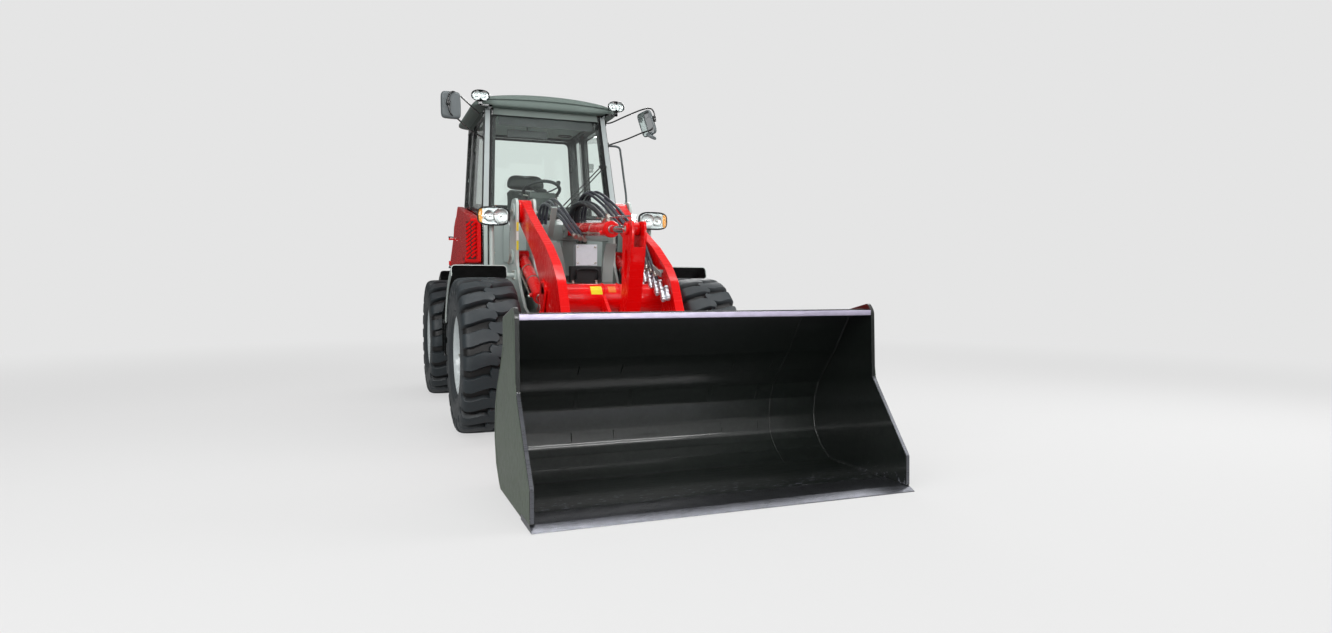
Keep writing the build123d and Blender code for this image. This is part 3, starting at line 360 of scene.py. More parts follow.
def weld(path: Sequence, radius: float = 0.005, pitch: float = 0.009) -> Patch:
    """Return a weld bead along straight runs: a small tube whose radius swells once for each pitch."""
    array = np.asarray(path, float)
    run = np.r_[0, np.cumsum(np.linalg.norm(np.diff(array, axis=0), axis=1))]
    place = np.linspace(0, run[-1], max(4, int(run[-1] / pitch * 3)))
    line = np.stack([np.interp(place, run, array[:, k]) for k in range(3)], -1)
    return tube(line, radius * (1 + 0.16 * np.sin(2 * pi * place / pitch)), 6)


def weld_ring(centre: Sequence[float], along: Sequence[float], ring: float, radius: float = 0.006) -> Patch:
    """Return a weld bead round a tube: a closed bead on a circle square to a direction."""
    _, across, up = basis(along)
    angle = np.linspace(0, 2 * pi, 96, endpoint=False)
    path = np.asarray(centre) + ring * (np.cos(angle)[:, None] * across + np.sin(angle)[:, None] * up)
    return tube(path, radius * (1 + 0.14 * np.sin(24 * angle)), 6, closed=True)


def bolts(places: Sequence, along: Sequence[float], size: float = 0.016, washer: bool = True) -> list[Patch]:
    """Return hexagon heads on washers.

    Args:
        places: where each head sits.
        along: the way the heads point.
        size: thread diameter; the head is 1.6 times as wide across its corners and 0.65 times as high.
        washer: whether a flat washer lies under each head.

    Returns:
        A head, and a washer before it if asked for, for each place.
    """
    head = [(0, 0.8 * size), (0.5 * size, 0.8 * size), (0.65 * size, 0.66 * size)]
    flat = [(-0.001, 1.1 * size), (0.12 * size, 1.1 * size), (0.16 * size, 1.02 * size)]
    made = []
    for place in places:
        if washer:
            made.append(lathe(flat, place, along, 20))
        made.append(lathe(head, np.asarray(place) + unit(along) * (0.14 * size), along, 6))
    return made


# ---------------------------------------------------------------- finishes
def linear(code: str, share: float = 1.0) -> tuple[float, float, float, float]:
    """Turn an sRGB hex code such as '#c4090d' into linear light, times a share."""
    channels = [int(code[i:i + 2], 16) / 255 for i in (1, 3, 5)]
    red, green, blue = (c / 12.92 if c <= 0.04045 else ((c + 0.055) / 1.055) ** 2.4 for c in channels)
    return (min(1.0, red * share), min(1.0, green * share), min(1.0, blue * share), 1.0)


def features(size: float) -> float:
    """Return the scale that draws a texture's features at a size in millimetres."""
    return 1 / (size * MM)


def plug(tree: bpy.types.NodeTree, node: bpy.types.Node, sockets: dict) -> None:
    """Set a node's inputs.

    Args:
        tree: the tree that the node is in.
        node: the node.
        sockets: for each input, by name or index, a value, an output, or a node whose first output is meant.
    """
    for name, value in sockets.items():
        source = value.outputs[0] if isinstance(value, bpy.types.Node) else value
        if isinstance(source, bpy.types.NodeSocket):
            tree.links.new(source, node.inputs[name])
        else:
            node.inputs[name].default_value = source


def add(tree: bpy.types.NodeTree, kind: str, sockets: Optional[dict] = None,
        **settings: Any) -> bpy.types.Node:
    """Add a node.

    Args:
        tree: the tree it joins.
        kind: the node's type, without its ShaderNode prefix.
        sockets: its inputs, as plug takes them.
        settings: its attributes.

    Returns:
        The new node.
    """
    node = tree.nodes.new("ShaderNode" + kind)
    for name, value in settings.items():
        setattr(node, name, value)
    plug(tree, node, sockets or {})
    return node


@dataclass(frozen=True)
class Finish:
    """What every finish has: a plain name, the record's slot, a colour and a roughness."""

    name: str
    slot: str
    colour: str
    roughness: float = 0.5

    def material(self) -> bpy.types.Material:
        """Return the finish's material, made the first time it is asked for."""
        found = bpy.data.materials.get(self.name)
        if found:
            return found
        made = bpy.data.materials.new(self.name)
        made.use_nodes = True
        made.diffuse_color = linear(self.colour)
        shader = made.node_tree.nodes["Principled BSDF"]
        plug(made.node_tree, shader, {"Base Color": linear(self.colour), "Roughness": self.roughness})
        plug(made.node_tree, shader, self.pattern(made.node_tree))
        return made

    def pattern(self, tree: bpy.types.NodeTree) -> dict:
        """Add the finish's own pattern.

        Args:
            tree: the material's tree.

        Returns:
            What goes into the shader's inputs, as plug takes it.
        """
        return {}


@dataclass(frozen=True)
class Enamel(Finish):
    """Sprayed enamel over steel: a smooth glossy coat with faint orange peel, thin dust low down and scuffs.

    peel is the width of the orange peel's cells in mm, dust the share of dust near the ground, scuff how
    strongly long fine scratches dull the gloss, and chips the share of bare flecks behind the cutting edge.
    """

    coat: float = 0.5
    peel: float = 5.0
    dust: float = 0.25
    dust_colour: str = "#6f6a60"
    scuff: float = 0.15
    shade: float = 0.12
    shine: float = 0.5
    coat_roughness: float = 0.06
    chips: float = 0.0

    def pattern(self, tree: bpy.types.NodeTree) -> dict:
        """Mix cloudy shade and dust into the colour, scratches into the roughness and peel into the bump."""
        place = add(tree, "TexCoord").outputs["Object"]
        height = add(tree, "SeparateXYZ", {"Vector": place}).outputs["Z"]
        clouds = add(tree, "TexNoise", {"Vector": place, "Scale": features(220), "Detail": 4.0})
        specks = add(tree, "TexNoise", {"Vector": place, "Scale": features(28), "Detail": 6.0,
                                        "Roughness": 0.7})
        low = add(tree, "MapRange", {"Value": height, "From Min": 0.0, "From Max": 1.1, "To Min": 1.0,
                                     "To Max": 0.12})
        patchy = add(tree, "MapRange", {"Value": specks, "From Min": 0.42, "From Max": 0.75})
        dusty = add(tree, "Math", {0: low, 1: patchy}, operation="MULTIPLY")
        share = add(tree, "Math", {0: dusty, 1: self.dust}, operation="MULTIPLY")
        dark, light = linear(self.colour, 1 - self.shade), linear(self.colour, 1 + self.shade)
        cloudy = add(tree, "Mix", {0: clouds, 6: dark, 7: light}, data_type="RGBA").outputs[2]
        dirty = add(tree, "Mix", {0: share, 6: cloudy, 7: linear(self.dust_colour)},
                    data_type="RGBA").outputs[2]
        stretched = add(tree, "Mapping", {"Vector": place, "Scale": (6.0, 160.0, 22.0)})
        lines = add(tree, "TexNoise", {"Vector": stretched, "Scale": 1.0, "Detail": 3.0})
        scuffs = add(tree, "MapRange", {"Value": lines, "From Min": 0.55, "From Max": 0.8,
                                        "To Min": self.roughness, "To Max": self.roughness + self.scuff})
        cells = add(tree, "TexNoise", {"Vector": place, "Scale": features(self.peel), "Detail": 2.0})
        return {
            "Base Color": self.chipped(tree, place, height, dirty) if self.chips else dirty,
            "Roughness": add(tree, "Math", {0: share, 1: 0.6, 2: scuffs}, operation="MULTIPLY_ADD"),
            "Normal": add(tree, "Bump", {"Height": cells, "Distance": 0.0004, "Strength": 0.12}),
            "Coat Weight": self.coat, "Coat Roughness": self.coat_roughness, "Specular IOR Level": self.shine,
        }

    def chipped(self, tree: bpy.types.NodeTree, place: bpy.types.NodeSocket, height: bpy.types.NodeSocket,
                colour: bpy.types.NodeSocket) -> bpy.types.NodeSocket:
        """Put flecks of bare steel where a noise is high and the surface lies low behind the cutting edge.

        Args:
            tree: the material's tree.
            place: Object coordinates.
            height: their Z.
            colour: the paint's colour so far.

        Returns:
            The output that gives the colour.
        """
        ahead = add(tree, "SeparateXYZ", {"Vector": place}).outputs["Y"]
        zone = add(tree, "MapRange", {"Value": ahead, "From Min": -2.45, "From Max": -2.72, "To Min": 0.0,
                                      "To Max": 1.0})
        low = add(tree, "MapRange", {"Value": height, "From Min": 0.03, "From Max": 0.09, "To Min": 1.0,
                                     "To Max": 0.0})
        drawn = add(tree, "Mapping", {"Vector": place, "Scale": (0.45, 1.0, 1.0)})
        flecks = add(tree, "TexNoise", {"Vector": drawn, "Scale": features(20), "Detail": 5.0,
                                        "Roughness": 0.6})
        sharp = add(tree, "MapRange", {"Value": flecks, "From Min": 0.6, "From Max": 0.63})
        worn = add(tree, "Math", {0: zone, 1: low}, operation="MULTIPLY")
        share = add(tree, "Math", {0: worn, 1: sharp}, operation="MULTIPLY")
        scaled = add(tree, "Math", {0: share, 1: self.chips}, operation="MULTIPLY")
        return add(tree, "Mix", {0: scaled, 6: colour, 7: linear("#8b8c97")}, data_type="RGBA").outputs[2]


@dataclass(frozen=True)
class Metal(Finish):
    """Bare metal: machined, plated or worn steel, with fine lines along one axis and uneven tarnish.

    lines is the spacing of the machining lines in mm, grain how much finer they are along each axis, and
    tarnish how much darker the stained parts are.
    """

    lines: float = 1.2
    tarnish: float = 0.3
    grain: tuple = (1.0, 40.0, 40.0)

    def pattern(self, tree: bpy.types.NodeTree) -> dict:
        """Darken stains, and let fine lines change the roughness and the bump."""
        place = add(tree, "TexCoord").outputs["Object"]
        stains = add(tree, "TexNoise", {"Vector": place, "Scale": features(50), "Detail": 5.0,
                                        "Roughness": 0.65})
        dark = linear(self.colour, 1 - self.tarnish)
        stretch = tuple(g / (self.lines * 0.04) for g in self.grain)
        fine = add(tree, "TexNoise", {"Vector": add(tree, "Mapping", {"Vector": place, "Scale": stretch}),
                                      "Scale": 1.0, "Detail": 3.0})
        return {"Base Color": add(tree, "Mix", {0: stains, 6: dark, 7: linear(self.colour)},
                                  data_type="RGBA").outputs[2],
                "Roughness": add(tree, "MapRange", {"Value": fine, "From Min": 0.3, "From Max": 0.7,
                                                    "To Min": self.roughness * 0.75,
                                                    "To Max": self.roughness * 1.3}),
                "Normal": add(tree, "Bump", {"Height": fine, "Distance": 0.0002, "Strength": 0.12}),
                "Metallic": 1.0}


@dataclass(frozen=True)
class Rubber(Finish):
    """Moulded or extruded rubber: dark and matt, a little paler where dust lies, with a fine pebbled skin.

    dust is how strongly the tone of a point turns into dust, and pebble the width of the skin's grain in mm.
    A tone below nought is the bottom of a groove, which gets no dust and is painted nearly black as shade.
    """

    dust: float = 0.0
    dust_colour: str = "#57534b"
    pebble: float = 3.0

    def pattern(self, tree: bpy.types.NodeTree) -> dict:
        """Mix dust by tone and noise, paint shade into the grooves and raise the grain."""
        place = add(tree, "TexCoord").outputs["Object"]
        tone = add(tree, "Attribute", attribute_name="tone").outputs["Fac"]
        clouds = add(tree, "TexNoise", {"Vector": place, "Scale": features(60), "Detail": 5.0,
                                        "Roughness": 0.65})
        patchy = add(tree, "MapRange", {"Value": clouds, "From Min": 0.3, "From Max": 0.7, "To Min": 0.35,
                                        "To Max": 1.0})
        share = add(tree, "Math", {0: tone, 1: patchy}, operation="MULTIPLY", use_clamp=True)
        scaled = add(tree, "Math", {0: share, 1: self.dust}, operation="MULTIPLY")
        dark, dusty = linear(self.colour, 0.75), linear(self.dust_colour)
        worn = add(tree, "Mix", {0: clouds, 6: dark, 7: linear(self.colour)}, data_type="RGBA").outputs[2]
        paler = add(tree, "Mix", {0: scaled, 6: worn, 7: dusty}, data_type="RGBA").outputs[2]
        # Painted shade: where the tone is below nought, the colour is mixed towards near black.
        deep = add(tree, "Math", {0: tone, 1: -1.0}, operation="MULTIPLY", use_clamp=True)
        groove = (0.0015, 0.0016, 0.0017, 1)
        skin = add(tree, "TexNoise", {"Vector": place, "Scale": features(self.pebble), "Detail": 4.0})
        return {"Base Color": add(tree, "Mix", {0: deep, 6: paler, 7: groove}, data_type="RGBA").outputs[2],
                "Roughness": add(tree, "MapRange", {"Value": clouds, "From Min": 0.3, "From Max": 0.7,
                                                    "To Min": self.roughness - 0.08,
                                                    "To Max": self.roughness + 0.1}),
                "Normal": add(tree, "Bump", {"Height": skin, "Distance": 0.0008, "Strength": 0.3})}


@dataclass(frozen=True)
class Plastic(Finish):
    """Injection-moulded ABS: an even colour with a leather-like grain in the tool's surface, grain in mm."""

    grain: float = 1.5
    depth: float = 0.35

    def pattern(self, tree: bpy.types.NodeTree) -> dict:
        """Raise the moulded grain and vary the gloss a little."""
        place = add(tree, "TexCoord").outputs["Object"]
        cells = add(tree, "TexVoronoi", {"Vector": place, "Scale": features(self.grain)}, feature="SMOOTH_F1")
        clouds = add(tree, "TexNoise", {"Vector": place, "Scale": features(120), "Detail": 3.0})
        dark = linear(self.colour, 0.85)
        return {"Base Color": add(tree, "Mix", {0: clouds, 6: dark, 7: linear(self.colour)},
                                  data_type="RGBA").outputs[2],
                "Roughness": add(tree, "MapRange", {"Value": clouds, "To Min": self.roughness - 0.06,
                                                    "To Max": self.roughness + 0.08}),
                "Normal": add(tree, "Bump", {"Height": cells, "Distance": 0.0003, "Strength": self.depth})}


@dataclass(frozen=True)
class Pane(Finish):
    """Float glass or clear lens plastic: smooth, tinted in its depth, and open to the light of lamps."""

    ior: float = 1.45

    def pattern(self, tree: bpy.types.NodeTree) -> dict:
        """Let light through the shader, with a tinted opening for shadow rays."""
        opening = add(tree, "BsdfTransparent", {"Color": linear(self.colour)})
        shadow = add(tree, "LightPath").outputs["Is Shadow Ray"]
        mixed = add(tree, "MixShader", {0: shadow, 1: tree.nodes["Principled BSDF"], 2: opening})
        plug(tree, tree.nodes["Material Output"], {"Surface": mixed})
        return {"Transmission Weight": 1.0, "IOR": self.ior}


@dataclass(frozen=True)
class Cloth(Finish):
    """Woven polyester seat cover: threads over and under each other at a pitch in mm, drawn twice as coarse
    as the real 1.5 mm so that the weave still shows."""

    pitch: float = 3.0

    def pattern(self, tree: bpy.types.NodeTree) -> dict:
        """Cross two sets of waves into a weave that shades and raises the surface."""
        place = add(tree, "TexCoord").outputs["Object"]
        wave = {"Vector": place, "Scale": features(2 * self.pitch), "Distortion": 0.6}
        warp, weft = (add(tree, "TexWave", wave, bands_direction=axis).outputs["Fac"] for axis in "XZ")
        threads = add(tree, "Math", {0: warp, 1: weft}, operation="MULTIPLY")
        dark = linear(self.colour, 0.5)
        return {"Base Color": add(tree, "Mix", {0: threads, 6: dark, 7: linear(self.colour)},
                                  data_type="RGBA").outputs[2],
                "Normal": add(tree, "Bump", {"Height": threads, "Distance": 0.0008, "Strength": 0.5}),
                "Sheen Weight": 0.25}


@dataclass(frozen=True)
class Glow(Finish):
    """A lamp's moulded lens: coloured acrylic that lets a little light through, with fine vertical flutes."""

    flute: float = 6.0

    def pattern(self, tree: bpy.types.NodeTree) -> dict:
        """Give the lens its depth and its flutes."""
        wave = {"Vector": add(tree, "TexCoord").outputs["Object"], "Scale": features(2 * self.flute)}
        flutes = add(tree, "TexWave", wave, bands_direction="X").outputs["Fac"]
        bump = add(tree, "Bump", {"Height": flutes, "Distance": 0.0006, "Strength": 0.6})
        return {"Transmission Weight": 0.35, "IOR": 1.49, "Normal": bump}


# Sprayed enamel: one even, saturated red whose gloss is held back so that lamps don't bleach it.
RED = Enamel("red_enamel_sprayed", "arm_red", "#dc0204", 0.26, coat=0.25, dust=0.04, scuff=0.08, shade=0.06,
             shine=0.22)
# Sprayed enamel on welded steel: mid grey, half gloss, dusty near the ground.
GREY = Enamel("grey_enamel_sprayed", "frame_grey", "#8c9794", 0.36, coat=0.35, dust=0.3, shade=0.1)
# Painted highlight: the same grey enamel a shade lighter, for the parts that catch more light.
LIT_GREY = Enamel("grey_enamel_painted_highlight", "frame_grey", "#b4bfbb", 0.34, coat=0.35, dust=0.3, shade=0.08)
# Wheel enamel: light silver grey with dust in its lower half.
SILVER = Enamel("silver_grey_wheel_enamel", "rim_silver", "#c3cbcc", 0.32, coat=0.3, dust=0.35, shade=0.08)
# Enamel worn by soil: black and wet-looking, scratched, with bare flecks behind the edge.
BOWL = Enamel("black_enamel_on_plate", "bucket_black", "#0b100e", 0.34, coat=0.9, dust=0.12,
              dust_colour="#4d5a50", scuff=0.25, shade=0.3, coat_roughness=0.11, chips=0.85)
# Powder coat: deep black with clear soft reflections.
GLOSS = Enamel("black_powder_coat", "cab_black", "#0c0f10", 0.2, coat=0.6, dust=0.12, scuff=0.08, shade=0.2)
# Moulded roof shell: flat grey green with hardly any highlight.
ROOF = Enamel("grey_green_roof_shell", "roof_grey", "#64706b", 0.6, coat=0.0, dust=0.15, shade=0.1,
              shine=0.25)
# Painted casting: dull grey with a coarse skin.
IRON = Enamel("grey_painted_cast_iron", "engine_iron", "#4a5153", 0.5, coat=0.1, peel=9.0, dust=0.4,
              shade=0.2)
# Old enamel on the side plates: greenish black, chalky with dried soil.
OLIVE = Enamel("weathered_black_enamel_on_side_plates", "bucket_black", "#3d4a3d", 0.45, coat=0.15, dust=0.5,
               dust_colour="#7c8672", scuff=0.3, shade=0.25)
# Hardened steel ground by soil: bright lines over dark stains.
EDGE = Metal("worn_hardened_steel", "edge_steel", "#8d8f96", 0.33, lines=2.0, tarnish=0.6)
# Steel polished where paint has gone: pale and slightly blue.
WORN = Metal("paint_worn_to_steel", "edge_steel", "#c9c2d8", 0.42, lines=3.0, tarnish=0.35)
# Hard chrome: a mirror-like rod with very fine lines.
CHROME = Metal("hard_chromed_steel", "cylinder_chrome", "#d8dadb", 0.1, lines=0.8, tarnish=0.08)
# Zinc plating: pale, slightly yellow, soft highlights.
ZINC = Metal("zinc_plated_steel", "valve_steel", "#c6c4bb", 0.3, lines=1.2, tarnish=0.25)
# Cast aluminium: light and matt, with an even grain.
ALLOY = Metal("cast_aluminium", "valve_steel", "#d6d8de", 0.42, lines=2.5, tarnish=0.2,
              grain=(20.0, 20.0, 20.0))
# Exhaust steel after heat: brown and patchy.
HOT = Metal("heat_stained_steel", "exhaust_steel", "#6d625a", 0.42, tarnish=0.55)
# Moulded tyre rubber: blue black, dusty on the lugs, with painted shade in the grooves.
TYRE = Rubber("tyre_rubber_moulded", "tyre_rubber", "#293135", 0.5, dust=0.25)
# Extruded hose cover: smooth dark rubber with a soft highlight.
HOSE = Rubber("hose_rubber_extruded", "trim_plastic", "#34343e", 0.38, pebble=1.2)
# Woven sleeve over a hose: darker and rougher than the bare hose.
SLEEVE = Rubber("braid_covered_hose_rubber", "trim_plastic", "#1d1e24", 0.5, pebble=4.0)
# Rubber sheet: flat black with some dust.
SHEET = Rubber("rubber_sheet", "trim_plastic", "#121413", 0.6, dust=0.3)
# Moulded black trim: even and matt with a fine grain.
TRIM = Plastic("black_abs_moulded", "trim_plastic", "#15181a", 0.55)
# Moulded dash panels: dark green grey, matt.
DASH = Plastic("dark_green_grey_abs_moulded", "trim_plastic", "#2b302e", 0.6)
# Moulded mirror and lamp shells: mid grey with a low gloss.
SHELL = Plastic("grey_abs_moulded", "mirror_shell", "#5f6668", 0.45)
# Headliner foam: pale, soft and without highlights.
LINING = Plastic("pale_headliner_foam", "roof_grey", "#7f8a85", 0.85, grain=4.0, depth=0.5)
# Float glass: clear, very slightly green, with sharp reflections.
GLASS = Pane("green_tinted_float_glass", "cab_glass", "#f7fefb", 0.0, ior=1.45)
# Polycarbonate: clear and glossy, bending light less than glass.
LENS = Pane("clear_polycarbonate_lens", "lamp_lens", "#f2f6f6", 0.02, ior=1.3)
# Silvered glass: an almost perfect reflection.
MIRROR = Metal("silvered_mirror_glass", "cylinder_chrome", "#e4e8ea", 0.03, tarnish=0.0)
# Vapour-plated bowl: bright but softly spread light behind a lens.
BRIGHT = Metal("vapour_plated_reflector", "lamp_lens", "#c9cccb", 0.34, tarnish=0.25)
# Acrylic lens: orange with depth and flutes.
AMBER = Glow("amber_acrylic_lens", "lamp_lens", "#e39a35", 0.15)
# Acrylic lens: deep red with depth and flutes.
RUBY = Glow("red_acrylic_lens", "tail_red", "#9a0a08", 0.15)
# Woven cover: dark, soft, with a visible weave.
SEAT = Cloth("woven_seat_polyester", "seat_fabric", "#1f2422", 0.9)
# Vinyl at the seat's edges: nearly black, with a coarser grain than the trim.
VINYL = Plastic("grained_seat_vinyl", "seat_fabric", "#121514", 0.55, grain=2.2, depth=0.5)
# Label vinyl: flat yellow film without print.
YELLOW = Plastic("yellow_label_vinyl", "trim_plastic", "#e3d21b", 0.4, grain=6.0, depth=0.05)
# Label vinyl: flat white film without print.
WHITE = Plastic("white_label_vinyl", "trim_plastic", "#e6e8e4", 0.4, grain=6.0, depth=0.05)
# Label vinyl: flat orange film without print.
ORANGE = Plastic("orange_label_vinyl", "trim_plastic", "#e0701a", 0.4, grain=6.0, depth=0.05)
# Painted highlight: cool grey gloss enamel with clear reflections, laid over the black A-pillars where they
# catch the light.
PILLAR_HIGHLIGHT = Enamel("grey_enamel_painted_pillar_highlight", "cab_black", "#a9b1b1", 0.2, coat=0.5, dust=0.1, scuff=0.06,
                    shade=0.1)
# Ceramic printed on glass: black border with the glass's own gloss.
FRIT = Plastic("black_ceramic_frit", "cab_black", "#08090a", 0.25, grain=8.0, depth=0.02)


# ---------------------------------------------------------------- pieces
# Corners nearer than MERGE metres are one.  Angles in degrees: edges sharper than the first are rounded, and
# those sharper than the second stay sharp on a copy of a CAD node.
MERGE = 2e-5
BEVEL_ANGLE = 38
COPY_CREASE = 30


def finish_mesh(mesh: bpy.types.Mesh, crease: float, recalc: bool) -> None:
    """Weld a mesh's doubles, turn its faces outwards and mark its sharp edges.

    Args:
        mesh: the mesh.
        crease: angle in degrees above which an edge stays sharp.
        recalc: whether the faces are turned.
    """
    work = bmesh.new()
    work.from_mesh(mesh)
    bmesh.ops.remove_doubles(work, verts=work.verts, dist=MERGE)
    bmesh.ops.dissolve_degenerate(work, edges=work.edges, dist=1e-6)
    if recalc:
        bmesh.ops.recalc_face_normals(work, faces=work.faces)
    work.to_mesh(mesh)
    work.free()
    mesh.shade_smooth()
    mesh.set_sharp_from_angle(angle=radians(crease))


def modify(piece: bpy.types.Object, bevel: float, segments: int, thickness: float, subdivisions: int) -> None:
    """Add the modifiers that a piece asks for: a wall thickness, rounded edges, then subdivision.

    Args:
        piece: the piece.
        bevel: width of the rounded edges, or nought.
        segments: spans across a rounded edge.
        thickness: wall given to an open sheet, inwards, or outwards if negative.
        subdivisions: levels of subdivision.
    """
    if thickness:
        wall = piece.modifiers.new("wall", "SOLIDIFY")
        wall.thickness = abs(thickness)
        wall.offset = -1.0 if thickness > 0 else 1.0
    if bevel:
        edges = piece.modifiers.new("edges", "BEVEL")
        edges.width = bevel
        edges.segments = segments
        edges.limit_method = "ANGLE"
        edges.angle_limit = radians(BEVEL_ANGLE)
        edges.harden_normals = True
        edges.use_clamp_overlap = True
    if subdivisions:
        smooth = piece.modifiers.new("smooth", "SUBSURF")
        smooth.levels = smooth.render_levels = subdivisions


def make(name: str, body: str, dressed: Sequence, bevel: float = 0.0, segments: int = 2, crease: float = 38.0,
         thickness: float = 0.0, subdivisions: int = 0, replaces: Sequence[str] = (),
         recalc: bool = True, bend: Optional[tuple] = None) -> bpy.types.Object:
    """Make one piece of the object.

    Args:
        name: the piece's name.
        body: the body it rides on.
        dressed: (finish, patches) pairs.
        bevel: width of the rounded edges.
        segments: spans across a rounded edge.
        crease: angle in degrees above which an edge stays sharp.
        thickness: wall given to an open sheet, inwards, or outwards if negative.
        subdivisions: levels of subdivision.
        replaces: CAD nodes that it stands for.
        recalc: turn faces outwards, for closed surfaces.
        bend: two bodies and two places, for a piece that crosses a joint; such a piece rides on no body and
            keeps its place in its mesh.

    Returns:
        The piece, at the origin, with its place in its mesh.
    """
    points, faces, slots, tones, start = [], [], [], [], 0
    for index, (_, patches) in enumerate(dressed):
        for patch in patches:
            points.append(patch.points)
            tones.append(np.broadcast_to(patch.tone, len(patch.points)))
            faces += [[i + start for i in face] for face in patch.faces]
            slots += [index] * len(patch.faces)
            start += len(patch.points)
    mesh = bpy.data.meshes.new(name)
    mesh.from_pydata(np.vstack(points).tolist(), [], faces)
    for finish, _ in dressed:
        mesh.materials.append(finish.material())
    mesh.polygons.foreach_set("material_index", slots)
    mesh.attributes.new("tone", "FLOAT", "POINT").data.foreach_set("value", np.concatenate(tones).astype(
            np.float32))
    finish_mesh(mesh, crease, recalc)
    piece = bpy.data.objects.new(name, mesh)
    bpy.context.scene.collection.objects.link(piece)
    modify(piece, bevel, segments, thickness, subdivisions)
    if bend:
        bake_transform(piece)
    else:
        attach(piece, body)
    if replaces:
        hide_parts(*replaces)
    LOG.info("%s: %d faces on %s", name, len(mesh.polygons), body)
    return piece


def round_off(node: str, finish: Finish, bevel: float = 0.003, segments: int = 2) -> bpy.types.Object:
    """Show a CAD node as a copy with rounded edges.

    Args:
        node: the CAD node.
        finish: what it is made of.
        bevel: width of its rounded edges.
        segments: spans across them.

    Returns:
        The copy, which stands for the node.
    """
    source = frame["nodes"][node]
    work = bmesh.new()
    work.from_mesh(source.data)
    bmesh.ops.remove_doubles(work, verts=work.verts, dist=1e-5)
    bmesh.ops.dissolve_degenerate(work, edges=work.edges, dist=1e-5)
    bmesh.ops.dissolve_limit(work, angle_limit=radians(1.0), verts=work.verts, edges=work.edges)
    mesh = bpy.data.meshes.new(node + "_shown")
    work.to_mesh(mesh)
    work.free()
    mesh.materials.append(finish.material())
    mesh.polygons.foreach_set("material_index", [0] * len(mesh.polygons))
    mesh.shade_smooth()
    mesh.set_sharp_from_angle(angle=radians(COPY_CREASE))
    piece = bpy.data.objects.new(node + "_shown", mesh)
    bpy.context.scene.collection.objects.link(piece)
    modify(piece, bevel, segments, 0.0, 0)
    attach(piece, source["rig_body"])
    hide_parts(node)
    LOG.info("%s: copy with rounded edges", node)
    return piece


def dress(node: str, finish: Finish) -> None:
    """Give a CAD node that stays as it is a finish."""
    data = frame["nodes"][node].data
    data.materials.clear()
    data.materials.append(finish.material())


